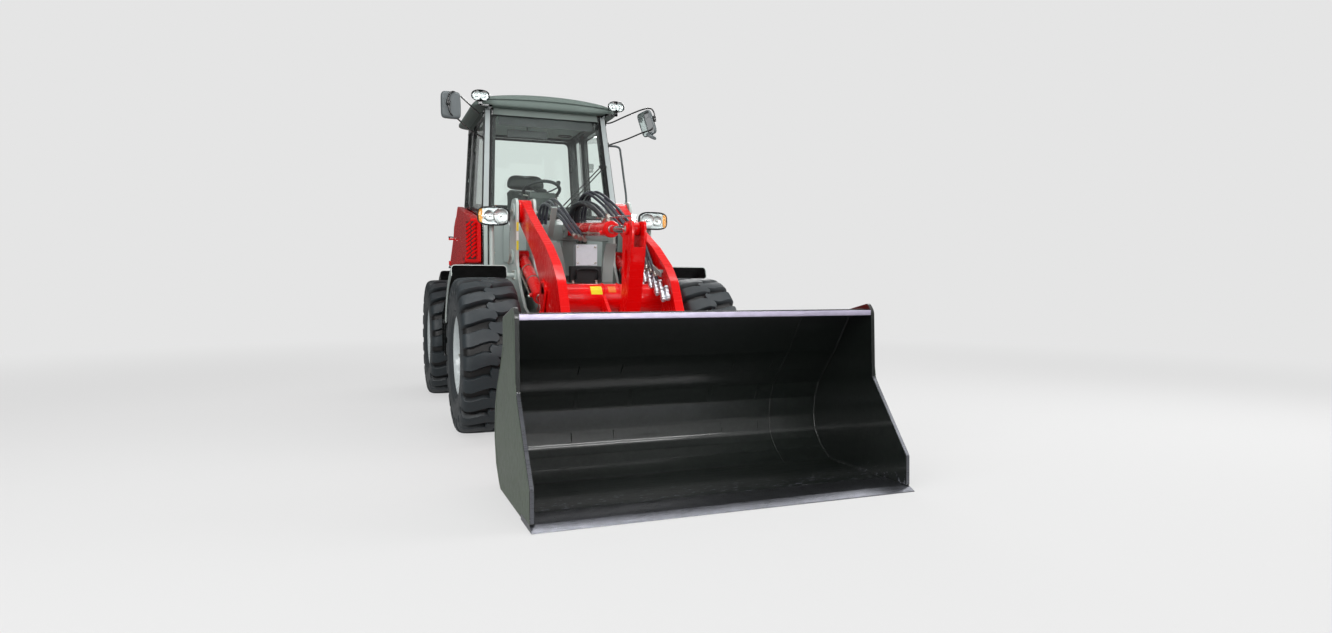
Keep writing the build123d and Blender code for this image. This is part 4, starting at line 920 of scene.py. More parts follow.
# ---------------------------------------------------------------- wheels
@dataclass
class Wheel:
    """A wheel: tyre with chunky staggered lugs, welded steel rim, hub cover and wheel nuts.

    Distances along the axle are measured outwards from the wheel's middle plane.
    """

    corner: str
    lugs: int = 22
    lug_depth: float = 0.03
    rim_radius: float = 0.268
    nut_circle: float = 0.125
    nuts: int = 8
    radius: float = field(init=False)
    half: float = field(init=False)
    centre: Array = field(init=False)
    outward: Array = field(init=False)

    def __post_init__(self) -> None:
        """Read the tyre's centre, radius and half-width from its node."""
        low, high = corners(self.corner + "_tyre")
        self.centre = (low + high) / 2
        self.radius = (high[2] - low[2]) / 2
        self.half = (high[0] - low[0]) / 2
        self.outward = np.array((np.sign(self.centre[0]), 0.0, 0.0))

    def carcass(self) -> Patch:
        """Return the casing: half a section mirrored in the middle plane and turned round the axle.

        The half section is a smooth curve through a few (along, radius) points, with three low rings added to
        the sidewall as narrow cosine ridges.
        """
        base = self.radius - self.lug_depth
        knots = np.array([(0.0, base + 0.001), (0.08, base), (0.14, base - 0.006), (0.17, base - 0.018),
                          (0.186, base - 0.042), (0.1935, base - 0.075), (0.197, base - 0.115),
                          (0.1965, base - 0.15), (0.192, base - 0.18), (0.187, 0.315), (0.19, 0.306),
                          (0.187, 0.296), (0.176, 0.286), (0.163, 0.27)])
        section = curve_through(knots, 62)
        for ring in (0.405, 0.372, 0.338):
            section[:, 0] += 0.0016 * np.exp(-((section[:, 1] - ring) / 0.003) ** 2) * (section[:, 0] > 0.17)
        full = np.vstack([section[::-1], section[1:] * (-1, 1)])
        # Painted shade on the tread between the lugs, a little dust on the sidewalls.
        tone = np.where(full[:, 1] > self.radius - 0.075, -1.0, 0.25)
        return lathe(full, self.centre, self.outward, 128, tone=tone, closed=True)

    def lug_surface(self, side: float, offset: float) -> Patch:
        """Return every lug of one side.

        A lug runs from its rounded nose, just past the middle of the tread, over the shoulder and down the
        sidewall.  Its top and foot follow two curves, it widens from the nose to the shoulder, and its middle
        line sways as a sine, so that the two sides lock into each other.

        Args:
            side: 1 for the outer half of the tread and -1 for the inner half.
            offset: how far round the first lug lies, as a share of the pitch.

        Returns:
            The lugs as one surface, with painted shade at their feet.
        """
        top = curve_through([(-0.03, -0.001), (0.02, 0), (0.1, -0.001), (0.15, -0.005), (0.178, -0.016),
                             (0.1915, -0.036), (0.1975, -0.062), (0.1985, -0.088), (0.1955, -0.108)], 26)
        foot = curve_through([(-0.032, -0.033), (0.02, -0.032), (0.1, -0.034), (0.146, -0.04),
                              (0.168, -0.052), (0.18, -0.07), (0.186, -0.088), (0.189, -0.1),
                              (0.19, -0.112)], 26)
        top, foot = top + (0, self.radius), foot + (0, self.radius)
        pitch = 2 * pi * self.radius / self.lugs
        along = top[:, 0]
        widen = np.clip((along - 0.012) / 0.055, 0, 1)
        width = pitch * (0.5 + 0.13 * widen**2 * (3 - 2 * widen))
        nose = np.clip((along - along[0]) / 0.02, 0, 1)
        width *= 0.35 + 0.65 * np.sqrt(1 - (1 - nose) ** 2)
        sway = pitch * (0.1 * np.sin(pi * np.clip(along, -0.05, 0.19) / 0.13 + 0.6))
        # Columns across the lug: share of the half-width, share of the height, top edge's inset in metres.
        across = np.array([(-1.16, 0.0, 0), (-1.0, 0.8, 0), (-1.0, 1.0, 0.005), (-0.5, 1.0, 0),
                           (0, 1.0, 0), (0.5, 1.0, 0), (1.0, 1.0, -0.005), (1.0, 0.8, 0), (1.16, 0.0, 0)])
        arc = sway[:, None] + width[:, None] / 2 * across[:, 0] + across[:, 2]
        place = foot[:, None] * (1 - across[:, 1][:, None]) + top[:, None] * across[:, 1][:, None]
        turn = (np.arange(self.lugs) + offset) * 2 * pi / self.lugs
        angle = arc[None] / self.radius * side + turn[:, None, None]
        points = np.empty((*angle.shape, 3))
        points[..., 0] = place[..., 0] * side
        points[..., 1] = place[..., 1] * np.cos(angle)
        points[..., 2] = place[..., 1] * np.sin(angle)
        # Painted shade: the tone falls below nought towards each lug's foot.
        tone = np.broadcast_to(-0.9 * (1 - across[:, 1]), angle.shape[1:])
        whole = [grid(lug, wrap_columns=True, caps=True, tone=tone) for lug in points]
        joined = [[i + k * angle[0].size for i in face] for k, lug in enumerate(whole) for face in lug.faces]
        tones = np.concatenate([lug.tone for lug in whole])
        return Patch(points.reshape(-1, 3), joined, tones).placed(self.centre, self.outward)

    def rim(self) -> list[Patch]:
        """Return the rim: a turned section with flanges, bead seats, a conical well and a pressed disc."""
        r = self.rim_radius
        section = [(-0.15, r), (-0.163, r + 0.006), (-0.17, r + 0.004), (-0.17, r - 0.008),
                   (-0.16, r - 0.014), (-0.11, r - 0.036), (0.02, r - 0.046), (0.052, 0.204),
                   (0.066, 0.172), (0.072, 0.15), (0.074, 0.0615), (0.089, 0.0615), (0.089, 0.15),
                   (0.084, 0.166), (0.068, 0.206), (0.044, r - 0.036), (0.06, r - 0.031),
                   (0.118, r - 0.029), (0.156, r - 0.016), (0.165, r - 0.01), (0.17, r - 0.006),
                   (0.17, r + 0.004), (0.163, r + 0.006), (0.15, r)]
        return [lathe(section, self.centre, self.outward, 96, closed=True)]

    def hub(self) -> list[Patch]:
        """Return the planetary hub's cover: a stepped cap over the axle's end."""
        cap = [(0.0895, 0.088), (0.1, 0.088), (0.106, 0.082), (0.128, 0.078), (0.136, 0.07),
               (0.148, 0.066), (0.151, 0.06)]
        return [lathe(cap, self.centre, self.outward, 48)]

    def ring_of(self, count: int, circle: float, along: float, turn: float = 0.0) -> Array:
        """Return places on a circle round the axle."""
        angle = np.arange(count) * 2 * pi / count + turn
        ring = np.stack([np.zeros(count), circle * np.cos(angle), circle * np.sin(angle)], -1)
        return self.centre + self.outward * along + ring

    def build(self) -> None:
        """Make the tyre, the rim and the hub."""
        body = self.corner + "_wheel"
        tyre = [self.carcass(), self.lug_surface(1, 0.0), self.lug_surface(-1, 0.5)]
        make(self.corner + "_tyre_shown", body, [(TYRE, tyre)], crease=32, replaces=[self.corner + "_tyre"])
        make(self.corner + "_rim_shown", body, [(SILVER, self.rim())], crease=50,
             replaces=[self.corner + "_rim"])
        studs = [rod(p - self.outward * 0.002, p + self.outward * 0.028, 0.008, 12) for p in
                 self.ring_of(self.nuts, self.nut_circle, 0.089)]
        nuts = bolts(self.ring_of(self.nuts, self.nut_circle, 0.089), self.outward, 0.018)
        caps = bolts(self.ring_of(6, 0.072, 0.129, 0.3), self.outward, 0.007, washer=False)
        plug = bolts([self.centre + self.outward * 0.151 + np.array((0, 0.03, 0))], self.outward, 0.012)
        valve_start = self.centre + self.outward * 0.06 + np.array((0, 0, 0.226))
        valve = rod(valve_start, valve_start + self.outward * 0.05 + np.array((0, 0, -0.02)), 0.005, 10)
        make(self.corner + "_hub", body, [(GREY, self.hub()), (ZINC, studs + nuts + caps + plug + [valve])],
             bevel=0.001)


# ---------------------------------------------------------------- stage
@dataclass
class Stage:
    """The floor, the light and the camera, which aren't part of the machine."""

    eye: tuple = (-1.606, -6.155, 1.008)
    turn: float = 21.16
    dip: float = 2.1
    lens: float = 21.67
    paper: str = "#e5e5e5"

    def camera(self) -> None:
        """Place the camera at the eye, turned from +Y towards +X and dipped below level."""
        data = bpy.data.cameras.new("camera")
        data.lens = self.lens
        data.clip_end = 300
        camera = bpy.data.objects.new("camera", data)
        camera.location = self.eye
        camera.rotation_euler = (radians(90 - self.dip), 0, radians(-self.turn))
        bpy.context.scene.collection.objects.link(camera)
        bpy.context.scene.camera = camera

    def seen(self, tree: bpy.types.NodeTree) -> bpy.types.Node:
        """Return a node that gives one where the camera looks, also through glass, and nought elsewhere."""
        path = add(tree, "LightPath").outputs
        return add(tree, "Math", {0: path["Is Camera Ray"], 1: path["Is Transmission Ray"]},
                   operation="MAXIMUM")

    def floor(self) -> None:
        """Lay a round pale floor whose far part fades into the backdrop's own brightness."""
        mesh = bpy.data.meshes.new("floor")
        angle = np.linspace(0, 2 * pi, 96, endpoint=False)
        rim = np.stack([120 * np.cos(angle), 120 * np.sin(angle), np.zeros(96)], -1)
        mesh.from_pydata(rim.tolist(), [], [list(range(96))])
        material = bpy.data.materials.new("pale_studio_floor")
        material.use_nodes = True
        tree = material.node_tree
        shader = tree.nodes["Principled BSDF"]
        plug(tree, shader, {"Base Color": linear("#dcdcdc"), "Roughness": 0.9, "Specular IOR Level": 0.1})
        place = add(tree, "TexCoord").outputs["Object"]
        away = add(tree, "VectorMath", {0: place}, operation="LENGTH").outputs["Value"]
        far = add(tree, "MapRange", {"Value": away, "From Min": 3.6, "From Max": 11.0},
                  interpolation_type="SMOOTHSTEP")
        share = add(tree, "MapRange", {"Value": far, "To Min": 0.72, "To Max": 1.0})
        # Reflections and bounced light see a dimmer floor than the camera does.
        dim = add(tree, "MapRange", {"Value": self.seen(tree), "To Min": 0.45, "To Max": 1.0})
        bright = add(tree, "Emission", {"Color": linear(self.paper), "Strength": dim})
        mixed = add(tree, "MixShader", {0: share, 1: shader, 2: bright})
        plug(tree, tree.nodes["Material Output"], {"Surface": mixed})
        mesh.materials.append(material)
        floor = bpy.data.objects.new("floor", mesh)
        bpy.context.scene.collection.objects.link(floor)

    def lamp(self, name: str, place: Sequence[float], aim: Sequence[float], size: Sequence[float],
             power: float) -> None:
        """Hang a rectangular soft lamp.

        Args:
            name: its name.
            place: where it hangs.
            aim: the point that it faces.
            size: its width and length in metres.
            power: its power in watts.
        """
        data = bpy.data.lights.new(name, "AREA")
        data.shape = "RECTANGLE"
        data.size, data.size_y = size
        data.energy = power
        lamp = bpy.data.objects.new(name, data)
        lamp.location = place
        lamp.rotation_mode = "QUATERNION"
        lamp.rotation_quaternion = (Vector(aim) - Vector(place)).to_track_quat("-Z", "Y")
        bpy.context.scene.collection.objects.link(lamp)

    def sky(self) -> None:
        """Fill the room with soft light, brighter above, and keep the backdrop itself plain and pale."""
        world = bpy.data.worlds.new("studio")
        world.use_nodes = True
        tree = world.node_tree
        tree.nodes.clear()
        place = add(tree, "TexCoord").outputs["Generated"]
        height = add(tree, "SeparateXYZ", {"Vector": place}).outputs["Z"]
        ramp = add(tree, "MapRange", {"Value": height, "From Min": -0.1, "From Max": 0.9, "To Min": 0.05,
                                      "To Max": 0.44}, interpolation_type="SMOOTHSTEP")
        soft = add(tree, "Background", {"Color": (1, 1, 1, 1), "Strength": ramp})
        plain = add(tree, "Background", {"Color": linear(self.paper), "Strength": 1.0})
        add(tree, "OutputWorld", {"Surface": add(tree, "MixShader", {0: self.seen(tree), 1: soft, 2: plain})})
        bpy.context.scene.world = world

    def build(self) -> None:
        """Set the stage."""
        self.camera()
        self.floor()
        self.sky()
        centre = (0.0, 0.0, 0.8)
        self.lamp("overhead_left_strip", (-1.9, -1.6, 5.2), (0.0, -1.0, 0.6), (0.7, 6.5), 90)
        self.lamp("overhead_right_strip", (2.2, -1.2, 5.2), (0.0, -1.0, 0.6), (0.7, 6.5), 80)
        self.lamp("low_front_strip", (0.5, -8.6, 2.3), (0.0, -2.6, 0.5), (5.5, 0.14), 95)
        self.lamp("high_front_strip", (0.5, -8.6, 4.8), (0.0, -2.6, 0.5), (5.5, 0.3), 130)
        self.lamp("front_softbox", (-5.4, -6.6, 3.6), centre, (3.2, 2.6), 290)
        self.lamp("side_softbox", (5.8, -3.4, 3.4), centre, (2.6, 3.0), 170)
        self.lamp("back_softbox", (3.2, 6.5, 4.6), centre, (4.0, 2.2), 220)
        bpy.context.scene.view_settings.view_transform = "Standard"


def mm(points: Sequence) -> Array:
    """Return places given in millimetres as metres."""
    return np.asarray(points, float) * MM


def both(patches: Sequence[Patch]) -> list[Patch]:
    """Return patches and their reflections in the centre plane."""
    return [*patches, *(patch.mirrored() for patch in patches)]


def rounded(points: Sequence, radius: float, steps: int = 4, sharp: Sequence[int] = ()) -> Array:
    """Return an outline given in millimetres with rounded corners, in metres.

    Args:
        points: its corners.
        radius: radius of the corners, in millimetres.
        steps: spans in each arc.
        sharp: the corners that stay nearly sharp, by place in the list.

    Returns:
        The outline.
    """
    radii = np.full(len(points), radius * MM)
    radii[list(sharp)] = 0.001
    return round_corners(mm(points), radii, steps)


def loft(levels: Sequence, axis: Axis = Axis.Y, tone: float = 0.0) -> Patch:
    """Join flat outlines of equal count into a closed skin.

    Args:
        levels: (place along the axis, (n, 2) outline) pairs, in order.
        axis: the way the levels are stacked; outlines are (X, Z) for Y and (X, Y) for Z.
        tone: the tone of every point.

    Returns:
        The skin, closed at its first and last level.
    """
    rows = np.empty((len(levels), len(levels[0][1]), 3))
    for row, (place, outline) in zip(rows, levels):
        flat = np.asarray(outline, float)
        row[:, 0] = flat[:, 0]
        row[:, 1] = place if axis is Axis.Y else flat[:, 1]
        row[:, 2] = flat[:, 1] if axis is Axis.Y else place
    return grid(rows, wrap_columns=True, caps=True, tone=tone)


def pin_ends(centre: Sequence[float], half: float, radius: float = 0.025) -> list[Patch]:
    """Return a pin along X with a grease nipple at each end.

    Args:
        centre: the pin's middle.
        half: half its length.
        radius: its radius.

    Returns:
        The pin and its two nipples.
    """
    middle = np.asarray(centre, float)
    made = [rod(middle - (half, 0, 0), middle + (half, 0, 0), radius, 28, 0.003)]
    for side in (-1.0, 1.0):
        tip = middle + (side * half, 0, 0)
        nipple = [(0, 0.004), (0.006, 0.004), (0.007, 0.0022), (0.011, 0.003), (0.013, 0.0015)]
        made.append(lathe(nipple, tip, (side, 0, 0), 10))
    return made


def boss(centre: Sequence[float], low: float, high: float, radius: float) -> Patch:
    """Return a round boss along X between two planes, with chamfered rims."""
    cut = 0.003
    profile = [(low, radius - cut), (low + cut, radius), (high - cut, radius), (high, radius - cut)]
    return lathe(profile, (0.0, centre[-2], centre[-1]), (1, 0, 0), 48)


# ---------------------------------------------------------------- bucket
@dataclass
class Bucket:
    """The bucket: bowl sheet with pressed bends, side plates, box-section lip, seats and cutting edge."""

    bowl: tuple = ((-2715, 23), (-2221, 23), (-2137, 78), (-2089, 127), (-2058, 170), (-2042, 255),
                   (-2055, 364), (-2094, 455), (-2163, 539), (-2263, 650), (-2324, 737), (-2409, 858),
                   (-2398, 866), (-2313, 745), (-2252, 659), (-2152, 548), (-2082, 462), (-2041, 368),
                   (-2028, 255), (-2045, 164), (-2078, 118), (-2128, 67), (-2217, 9), (-2715, 9))
    side: tuple = ((-2714, 9), (-2714, 26), (-2905, 26), (-2903, 173), (-2615, 538), (-2602, 870),
                   (-2595, 890), (-2567, 921), (-2290, 865), (-2290, 735), (-2215, 628), (-2110, 512),
                   (-2045, 400), (-2022, 240), (-2062, 110), (-2150, 30), (-2190, 9))
    seat: tuple = ((-2013, 640), (-2240, 640), (-2108, 480), (-2046, 340), (-2034, 250), (-2048, 190),
                   (-2013, 190))
    sheet: float = 0.02

    def shell(self) -> list[Patch]:
        """Return the bowl and its two side plates, with radii where the sheet is bent."""
        half = corners("bucket")[1][0]
        bends = rounded(self.bowl, 70, 5, sharp=(0, 11, 12, 23))
        plates = prism(rounded(self.side, 18, 3, sharp=(0, 1, 2)), half - self.sheet, half)
        return [prism(bends, -half + self.sheet, half - self.sheet), *both([plates])]

    def top(self) -> list[Patch]:
        """Return the box section along the top: lip bar, sloping sheet and rear sheet."""
        half = corners("bucket")[1][0] - self.sheet
        bar = rounded(rectangle(-2600, 858, -2540, 887), 5, 3)
        sheet = mm([(-2541, 874), (-2541, 887), (-2290, 861), (-2290, 848)])
        rear = mm([(-2304, 722), (-2290, 702), (-2290, 861), (-2304, 861)])
        return [prism(bar, -half, half), prism(sheet, -half, half), prism(rear, -half, half)]

    def welds(self) -> list[Patch]:
        """Return the beads in the corners, the marks of the seats showing through, and the seam of the
        bowl."""
        half = corners("bucket")[1][0] - self.sheet
        inside = mm(self.bowl[:12])
        corner = np.column_stack([np.full(len(inside), half - 0.002), inside + (-0.001, 0.002)])
        beads = both([weld(corner, 0.0045)])
        for x in (0.32, 0.552):
            beads += both([weld([(x, -2.1845, 0.56), (x, -2.2265, 0.607)], 0.003, 0.011),
                           weld([(x, -2.0555, 0.19), (x, -2.0465, 0.238)], 0.003, 0.011)])
        seam = np.column_stack([np.full(11, 0.628), inside[1:12] + (-0.0005, 0.0005)])
        return beads + [weld(seam, 0.0036, 0.014), weld([(-half, -2.541, 0.888), (half, -2.541, 0.888)],
                                                        0.004)]

    def build(self) -> None:
        """Make the bucket and its cutting edge."""
        half = corners("bucket")[1][0]
        seats = [prism(mm(self.seat), x - 0.012, x + 0.012) for x in (0.235, 0.535)]
        seat_welds = [weld([(x, -2.236, 0.641), (x, -2.1, 0.483), (x, -2.04, 0.345)], 0.006)
                      for x in (0.222, 0.248, 0.522, 0.548)]
        make("bucket_shell", "bucket", [(BOWL, self.shell() + self.top())], bevel=0.0015, crease=32,
             replaces=["bucket"])
        make("bucket_seats", "bucket", [(BOWL, both(seats))], bevel=0.002)
        make("bucket_seat_welds", "bucket", [(BOWL, both(seat_welds))])
        make("bucket_welds", "bucket", [(BOWL, self.welds())], crease=60)
        skin = prism(rounded([(y * 0.996 - 9, z * 0.99 + 4) for y, z in self.side], 18, 3), half - 0.001,
                     half + 0.0004)
        scar = both([weld([(half, -2.56, 0.868), (half, -2.62, 0.53), (half, -2.86, 0.2)], 0.0018, 0.02),
                     weld([(half, -2.31, 0.72), (half, -2.12, 0.5), (half, -2.045, 0.25),
                           (half, -2.16, 0.04)], 0.002, 0.02)])
        make("bucket_side_paint", "bucket", [(OLIVE, both([skin])), (OLIVE, scar)], crease=60)
        worn = prism(rounded([(-2600.6, 860), (-2596, 860), (-2596, 887.5), (-2600.6, 886)], 1, 1),
                     -half + 0.021, half - 0.021)
        tips = prism(rounded([(-2905.5, 30), (-2900, 30), (-2899, 172), (-2903.5, 173)], 1, 1),
                     half - 0.018, half - 0.002)
        fronts = prism(rounded([(-2903.6, 173), (-2899, 172), (-2611, 538), (-2615.6, 538)], 1, 1),
                       half - 0.018, half - 0.002)
        make("bucket_worn_edges", "bucket", [(WORN, [worn]), (EDGE, both([tips, fronts]))])
        edge = rounded([(-2945, 1), (-2943, 5), (-2895, 25), (-2715, 25), (-2715, 0), (-2940, 0)], 1, 2)
        shine = prism(edge, -half, half)
        make("cutting_edge_shown", "bucket", [(EDGE, [shine])], replaces=["cutting_edge"])


# ---------------------------------------------------------------- loading arms
@dataclass
class Arms:
    """The loading arms with their torque tube, the clevises of the lift cylinders and the lever's lugs."""

    outline: tuple = ((60, 1678), (-20, 1662), (-300, 1525), (-560, 1405), (-820, 1290), (-1050, 1155),
                      (-1170, 1045), (-1270, 850), (-1400, 640), (-1600, 440), (-1800, 358), (-1905, 300),
                      (-1890, 225), (-1800, 203), (-1500, 230), (-1200, 400), (-960, 640), (-836, 802))
    after_notch: tuple = ((-640, 1060), (-450, 1230), (-150, 1390), (75, 1505), (120, 1560), (110, 1640))
    ear: tuple = ((-690, 800), (-745, 775), (-800, 800), (-900, 980), (-760, 1060), (-690, 860))
    lug: tuple = ((-960, 1010), (-1290, 740), (-1392, 700), (-1400, 625), (-1320, 600), (-950, 850))
    x: float = 0.385
    half: float = 0.03
    tube_radius: float = 0.1

    def plates(self) -> list[Patch]:
        """Return the left arm's plate, with a round notch for the lift cylinder's eye."""
        turn = np.radians(np.linspace(198, 87.4, 14))
        notch = np.stack([-745 + 96 * np.cos(turn), 832 + 96 * np.sin(turn)], -1)
        outline = np.vstack([self.outline[:-1], notch, self.after_notch])
        first, last = len(self.outline) - 1, len(self.outline) + 12
        return [prism(rounded(outline, 150, 4, sharp=range(first, last + 1)), self.x - self.half,
                      self.x + self.half)]

    def fittings(self) -> list[Patch]:
        """Return the left arm's bosses and clevis ears."""
        head, tip, eye = pin("lift")[1:], pin("bucket_tilt")[1:], np.array((-0.745, 0.832))
        made = [boss(head, self.x - 0.05, self.x + 0.05, 0.088),
                boss(tip, self.x - 0.05, self.x + 0.05, 0.076)]
        for low, high in ((-0.05, -0.035), (0.035, 0.05)):
            made.append(prism(rounded(self.ear, 30, 4), self.x + low, self.x + high))
        made += [boss(eye, self.x - 0.062, self.x - 0.035, 0.042),
                 boss(eye, self.x + 0.035, self.x + 0.062, 0.042)]
        for low, high in ((-0.05, -0.03), (0.03, 0.05)):
            made.append(prism(rounded(rectangle(-880, 960, -790, 1040), 8, 2), self.x + low, self.x + high))
        return made

    def label(self, low: float, high: float, first: float, last: float) -> Patch:
        """Return a thin label wrapped round the torque tube between two X and two angles above the front."""
        turn = np.radians(np.linspace(first, last, 12))
        centre = np.array((-0.93, 0.93))
        rows = []
        for radius, x in rectangle(0.0998, low, 0.1007, high):
            rows.append(np.column_stack([np.full(12, x), centre[0] - radius * np.cos(turn),
                                         centre[1] + radius * np.sin(turn)]))
        return grid(np.array(rows), wrap_rows=True)

    def couplings(self) -> list[Patch]:
        """Return two rows of quick couplings with collars and hexagons on the left arm's inner face."""
        made = []
        body = [(0, 0.011), (0.02, 0.011), (0.022, 0.017), (0.04, 0.017), (0.043, 0.014), (0.06, 0.014),
                (0.062, 0.019), (0.084, 0.019), (0.088, 0.015), (0.1, 0.015), (0.102, 0.008)]
        for row, step in [(row, step) for row in (0, 1) for step in np.linspace(0, 1, 5)]:
            place = np.array((0.328 - 0.034 * row, -0.7 - 0.46 * step, 1.162 - 0.16 * step - 0.012 * row))
            heading = (-0.1, -0.62 - 0.1 * row, -0.74)
            made.append(lathe(body, place, heading, 20))
            made.append(lathe([(-0.012, 0.018), (0.004, 0.018)], place, heading, 6))
        return made

    def build(self) -> None:
        """Make the arms and what is welded and bolted to them."""
        tube = boss((-0.93, 0.93), -self.x + 0.028, self.x - 0.028, self.tube_radius)
        lugs = [prism(rounded(self.lug, 45, 4), 0.052, 0.074), boss(pin("lever_swing"), 0.074, 0.088, 0.05)]
        make("arms_shown", "loader_arms", [(RED, both(self.plates()))], bevel=0.005, segments=3, crease=30,
             replaces=["loader_arms"])
        make("arm_fittings", "loader_arms", [(RED, [tube, *both(self.fittings() + lugs)])], bevel=0.002)
        inner = self.x - self.half
        rings = [weld_ring((inner, -0.93, 0.93), (1, 0, 0), self.tube_radius + 0.002),
                 weld_ring((0.052, -0.93, 0.93), (1, 0, 0), self.tube_radius + 0.002, 0.004),
                 weld([(0.075, -0.962, 1.008), (0.075, -1.02, 0.962)], 0.004)]
        for x in (self.x - 0.033, self.x + 0.033):
            rings.append(weld([(x, -0.9, 0.982), (x, -0.76, 1.062), (x, -0.69, 0.862)], 0.0045))
        make("arm_welds", "loader_arms", [(RED, both(rings))], crease=60)
        pins = both(pin_ends((self.x, -0.745, 0.832), 0.066)) + pin_ends(pin("lever_swing"), 0.093)
        keepers = both([slab((self.x + 0.065, -0.785, 0.86), (0.006, 0.075, 0.026), (1, 0, 0),
                             (0, 0.55, 0.8))])
        heads = bolts([(self.x + 0.068, -0.805, 0.872), (-self.x + 0.068, -0.805, 0.872)], (1, 0, 0), 0.01)
        make("arm_pins", "loader_arms", [(ZINC, pins + keepers + heads)], bevel=0.001)
        make("arm_labels", "loader_arms", [(YELLOW, [self.label(-0.15, -0.072, 17, 56)]),
                                           (ORANGE, [self.label(-0.028, 0.024, 25, 55)])])
        rail = prism(rounded([(-640, 1216), (-1075, 1075), (-1085, 1105), (-650, 1262)], 6, 2), 0.318, 0.326)
        foot = [slab((0.34, -0.72 - 0.3 * t, 1.215 - 0.098 * t), (0.036, 0.03, 0.02)) for t in (0.0, 1.0)]
        make("coupling_bracket", "loader_arms", [(GREY, [rail, *foot])], bevel=0.0015)
        make("hydraulic_couplings", "loader_arms", [(ALLOY, self.couplings())], bevel=0.0006)


# ---------------------------------------------------------------- tilt lever and link
@dataclass
class TiltLever:
    """The central tilt lever, a box with open ends and a long slot in each side, and the link below it."""

    outline: tuple = ((-1560, 1410), (-1400, 1410), (-1375, 1340), (-1350, 1000), (-1300, 800),
                      (-1285, 640), (-1380, 470), (-1455, 290), (-1490, 255), (-1545, 268), (-1562, 320),
                      (-1500, 500), (-1425, 660), (-1440, 850), (-1500, 1060), (-1560, 1300))
    core: tuple = ((-1547, 1250), (-1369, 1250), (-1350, 1000), (-1300, 800), (-1285, 640), (-1380, 470),
                   (-1409, 400), (-1534, 400), (-1500, 500), (-1425, 660), (-1440, 850), (-1500, 1060))
    half: float = 0.046
    wall: float = 0.014

    def build(self) -> None:
        """Make the lever, its pins, the rubber stop, and the link with its eyes."""
        slot = slot_hole(mm((-1428, 1085)), mm((-1448, 1215)), 0.026)
        side = prism(rounded(self.outline, 34, 4), self.half - self.wall, self.half, holes=[slot])
        core = prism(rounded(self.core, 34, 4, sharp=(0, 1, 6, 7)), -self.half + self.wall,
                     self.half - self.wall, holes=[slot])
        top, low = np.array((-1.465, 1.365)), pin("link_swing")[1:]
        rings = [boss(top, self.half - 0.002, 0.06, 0.036), boss(low, self.half - 0.002, 0.056, 0.034),
                 boss(pin("lever_swing"), self.half - 0.002, 0.05, 0.058)]
        make("lever_shown", "tilt_lever", [(RED, [core, *both([side])])], bevel=0.003, crease=30,
             replaces=["tilt_lever"])
        make("lever_bosses", "tilt_lever", [(RED, both(rings))])
        make("lever_pins", "tilt_lever",
             [(ZINC, pin_ends((0, *top), 0.063, 0.02) + pin_ends((0, *low), 0.059, 0.02))])
        far = np.array((-1.915, 0.45))
        middle, span = (low + far) / 2, far - low
        bar = slab((0, *middle), (np.linalg.norm(span) - 0.05, 0.046, 0.066), (0, *span), (1, 0, 0))
        eyes = [boss(low, -0.026, 0.026, 0.046), boss(far, -0.026, 0.026, 0.046)]
        make("link_shown", "tilt_link", [(RED, [bar, *eyes])], bevel=0.004, segments=3,
             replaces=["tilt_link"])
        make("link_end_pin", "bucket", [(ZINC, pin_ends((0, *far), 0.066, 0.02))])


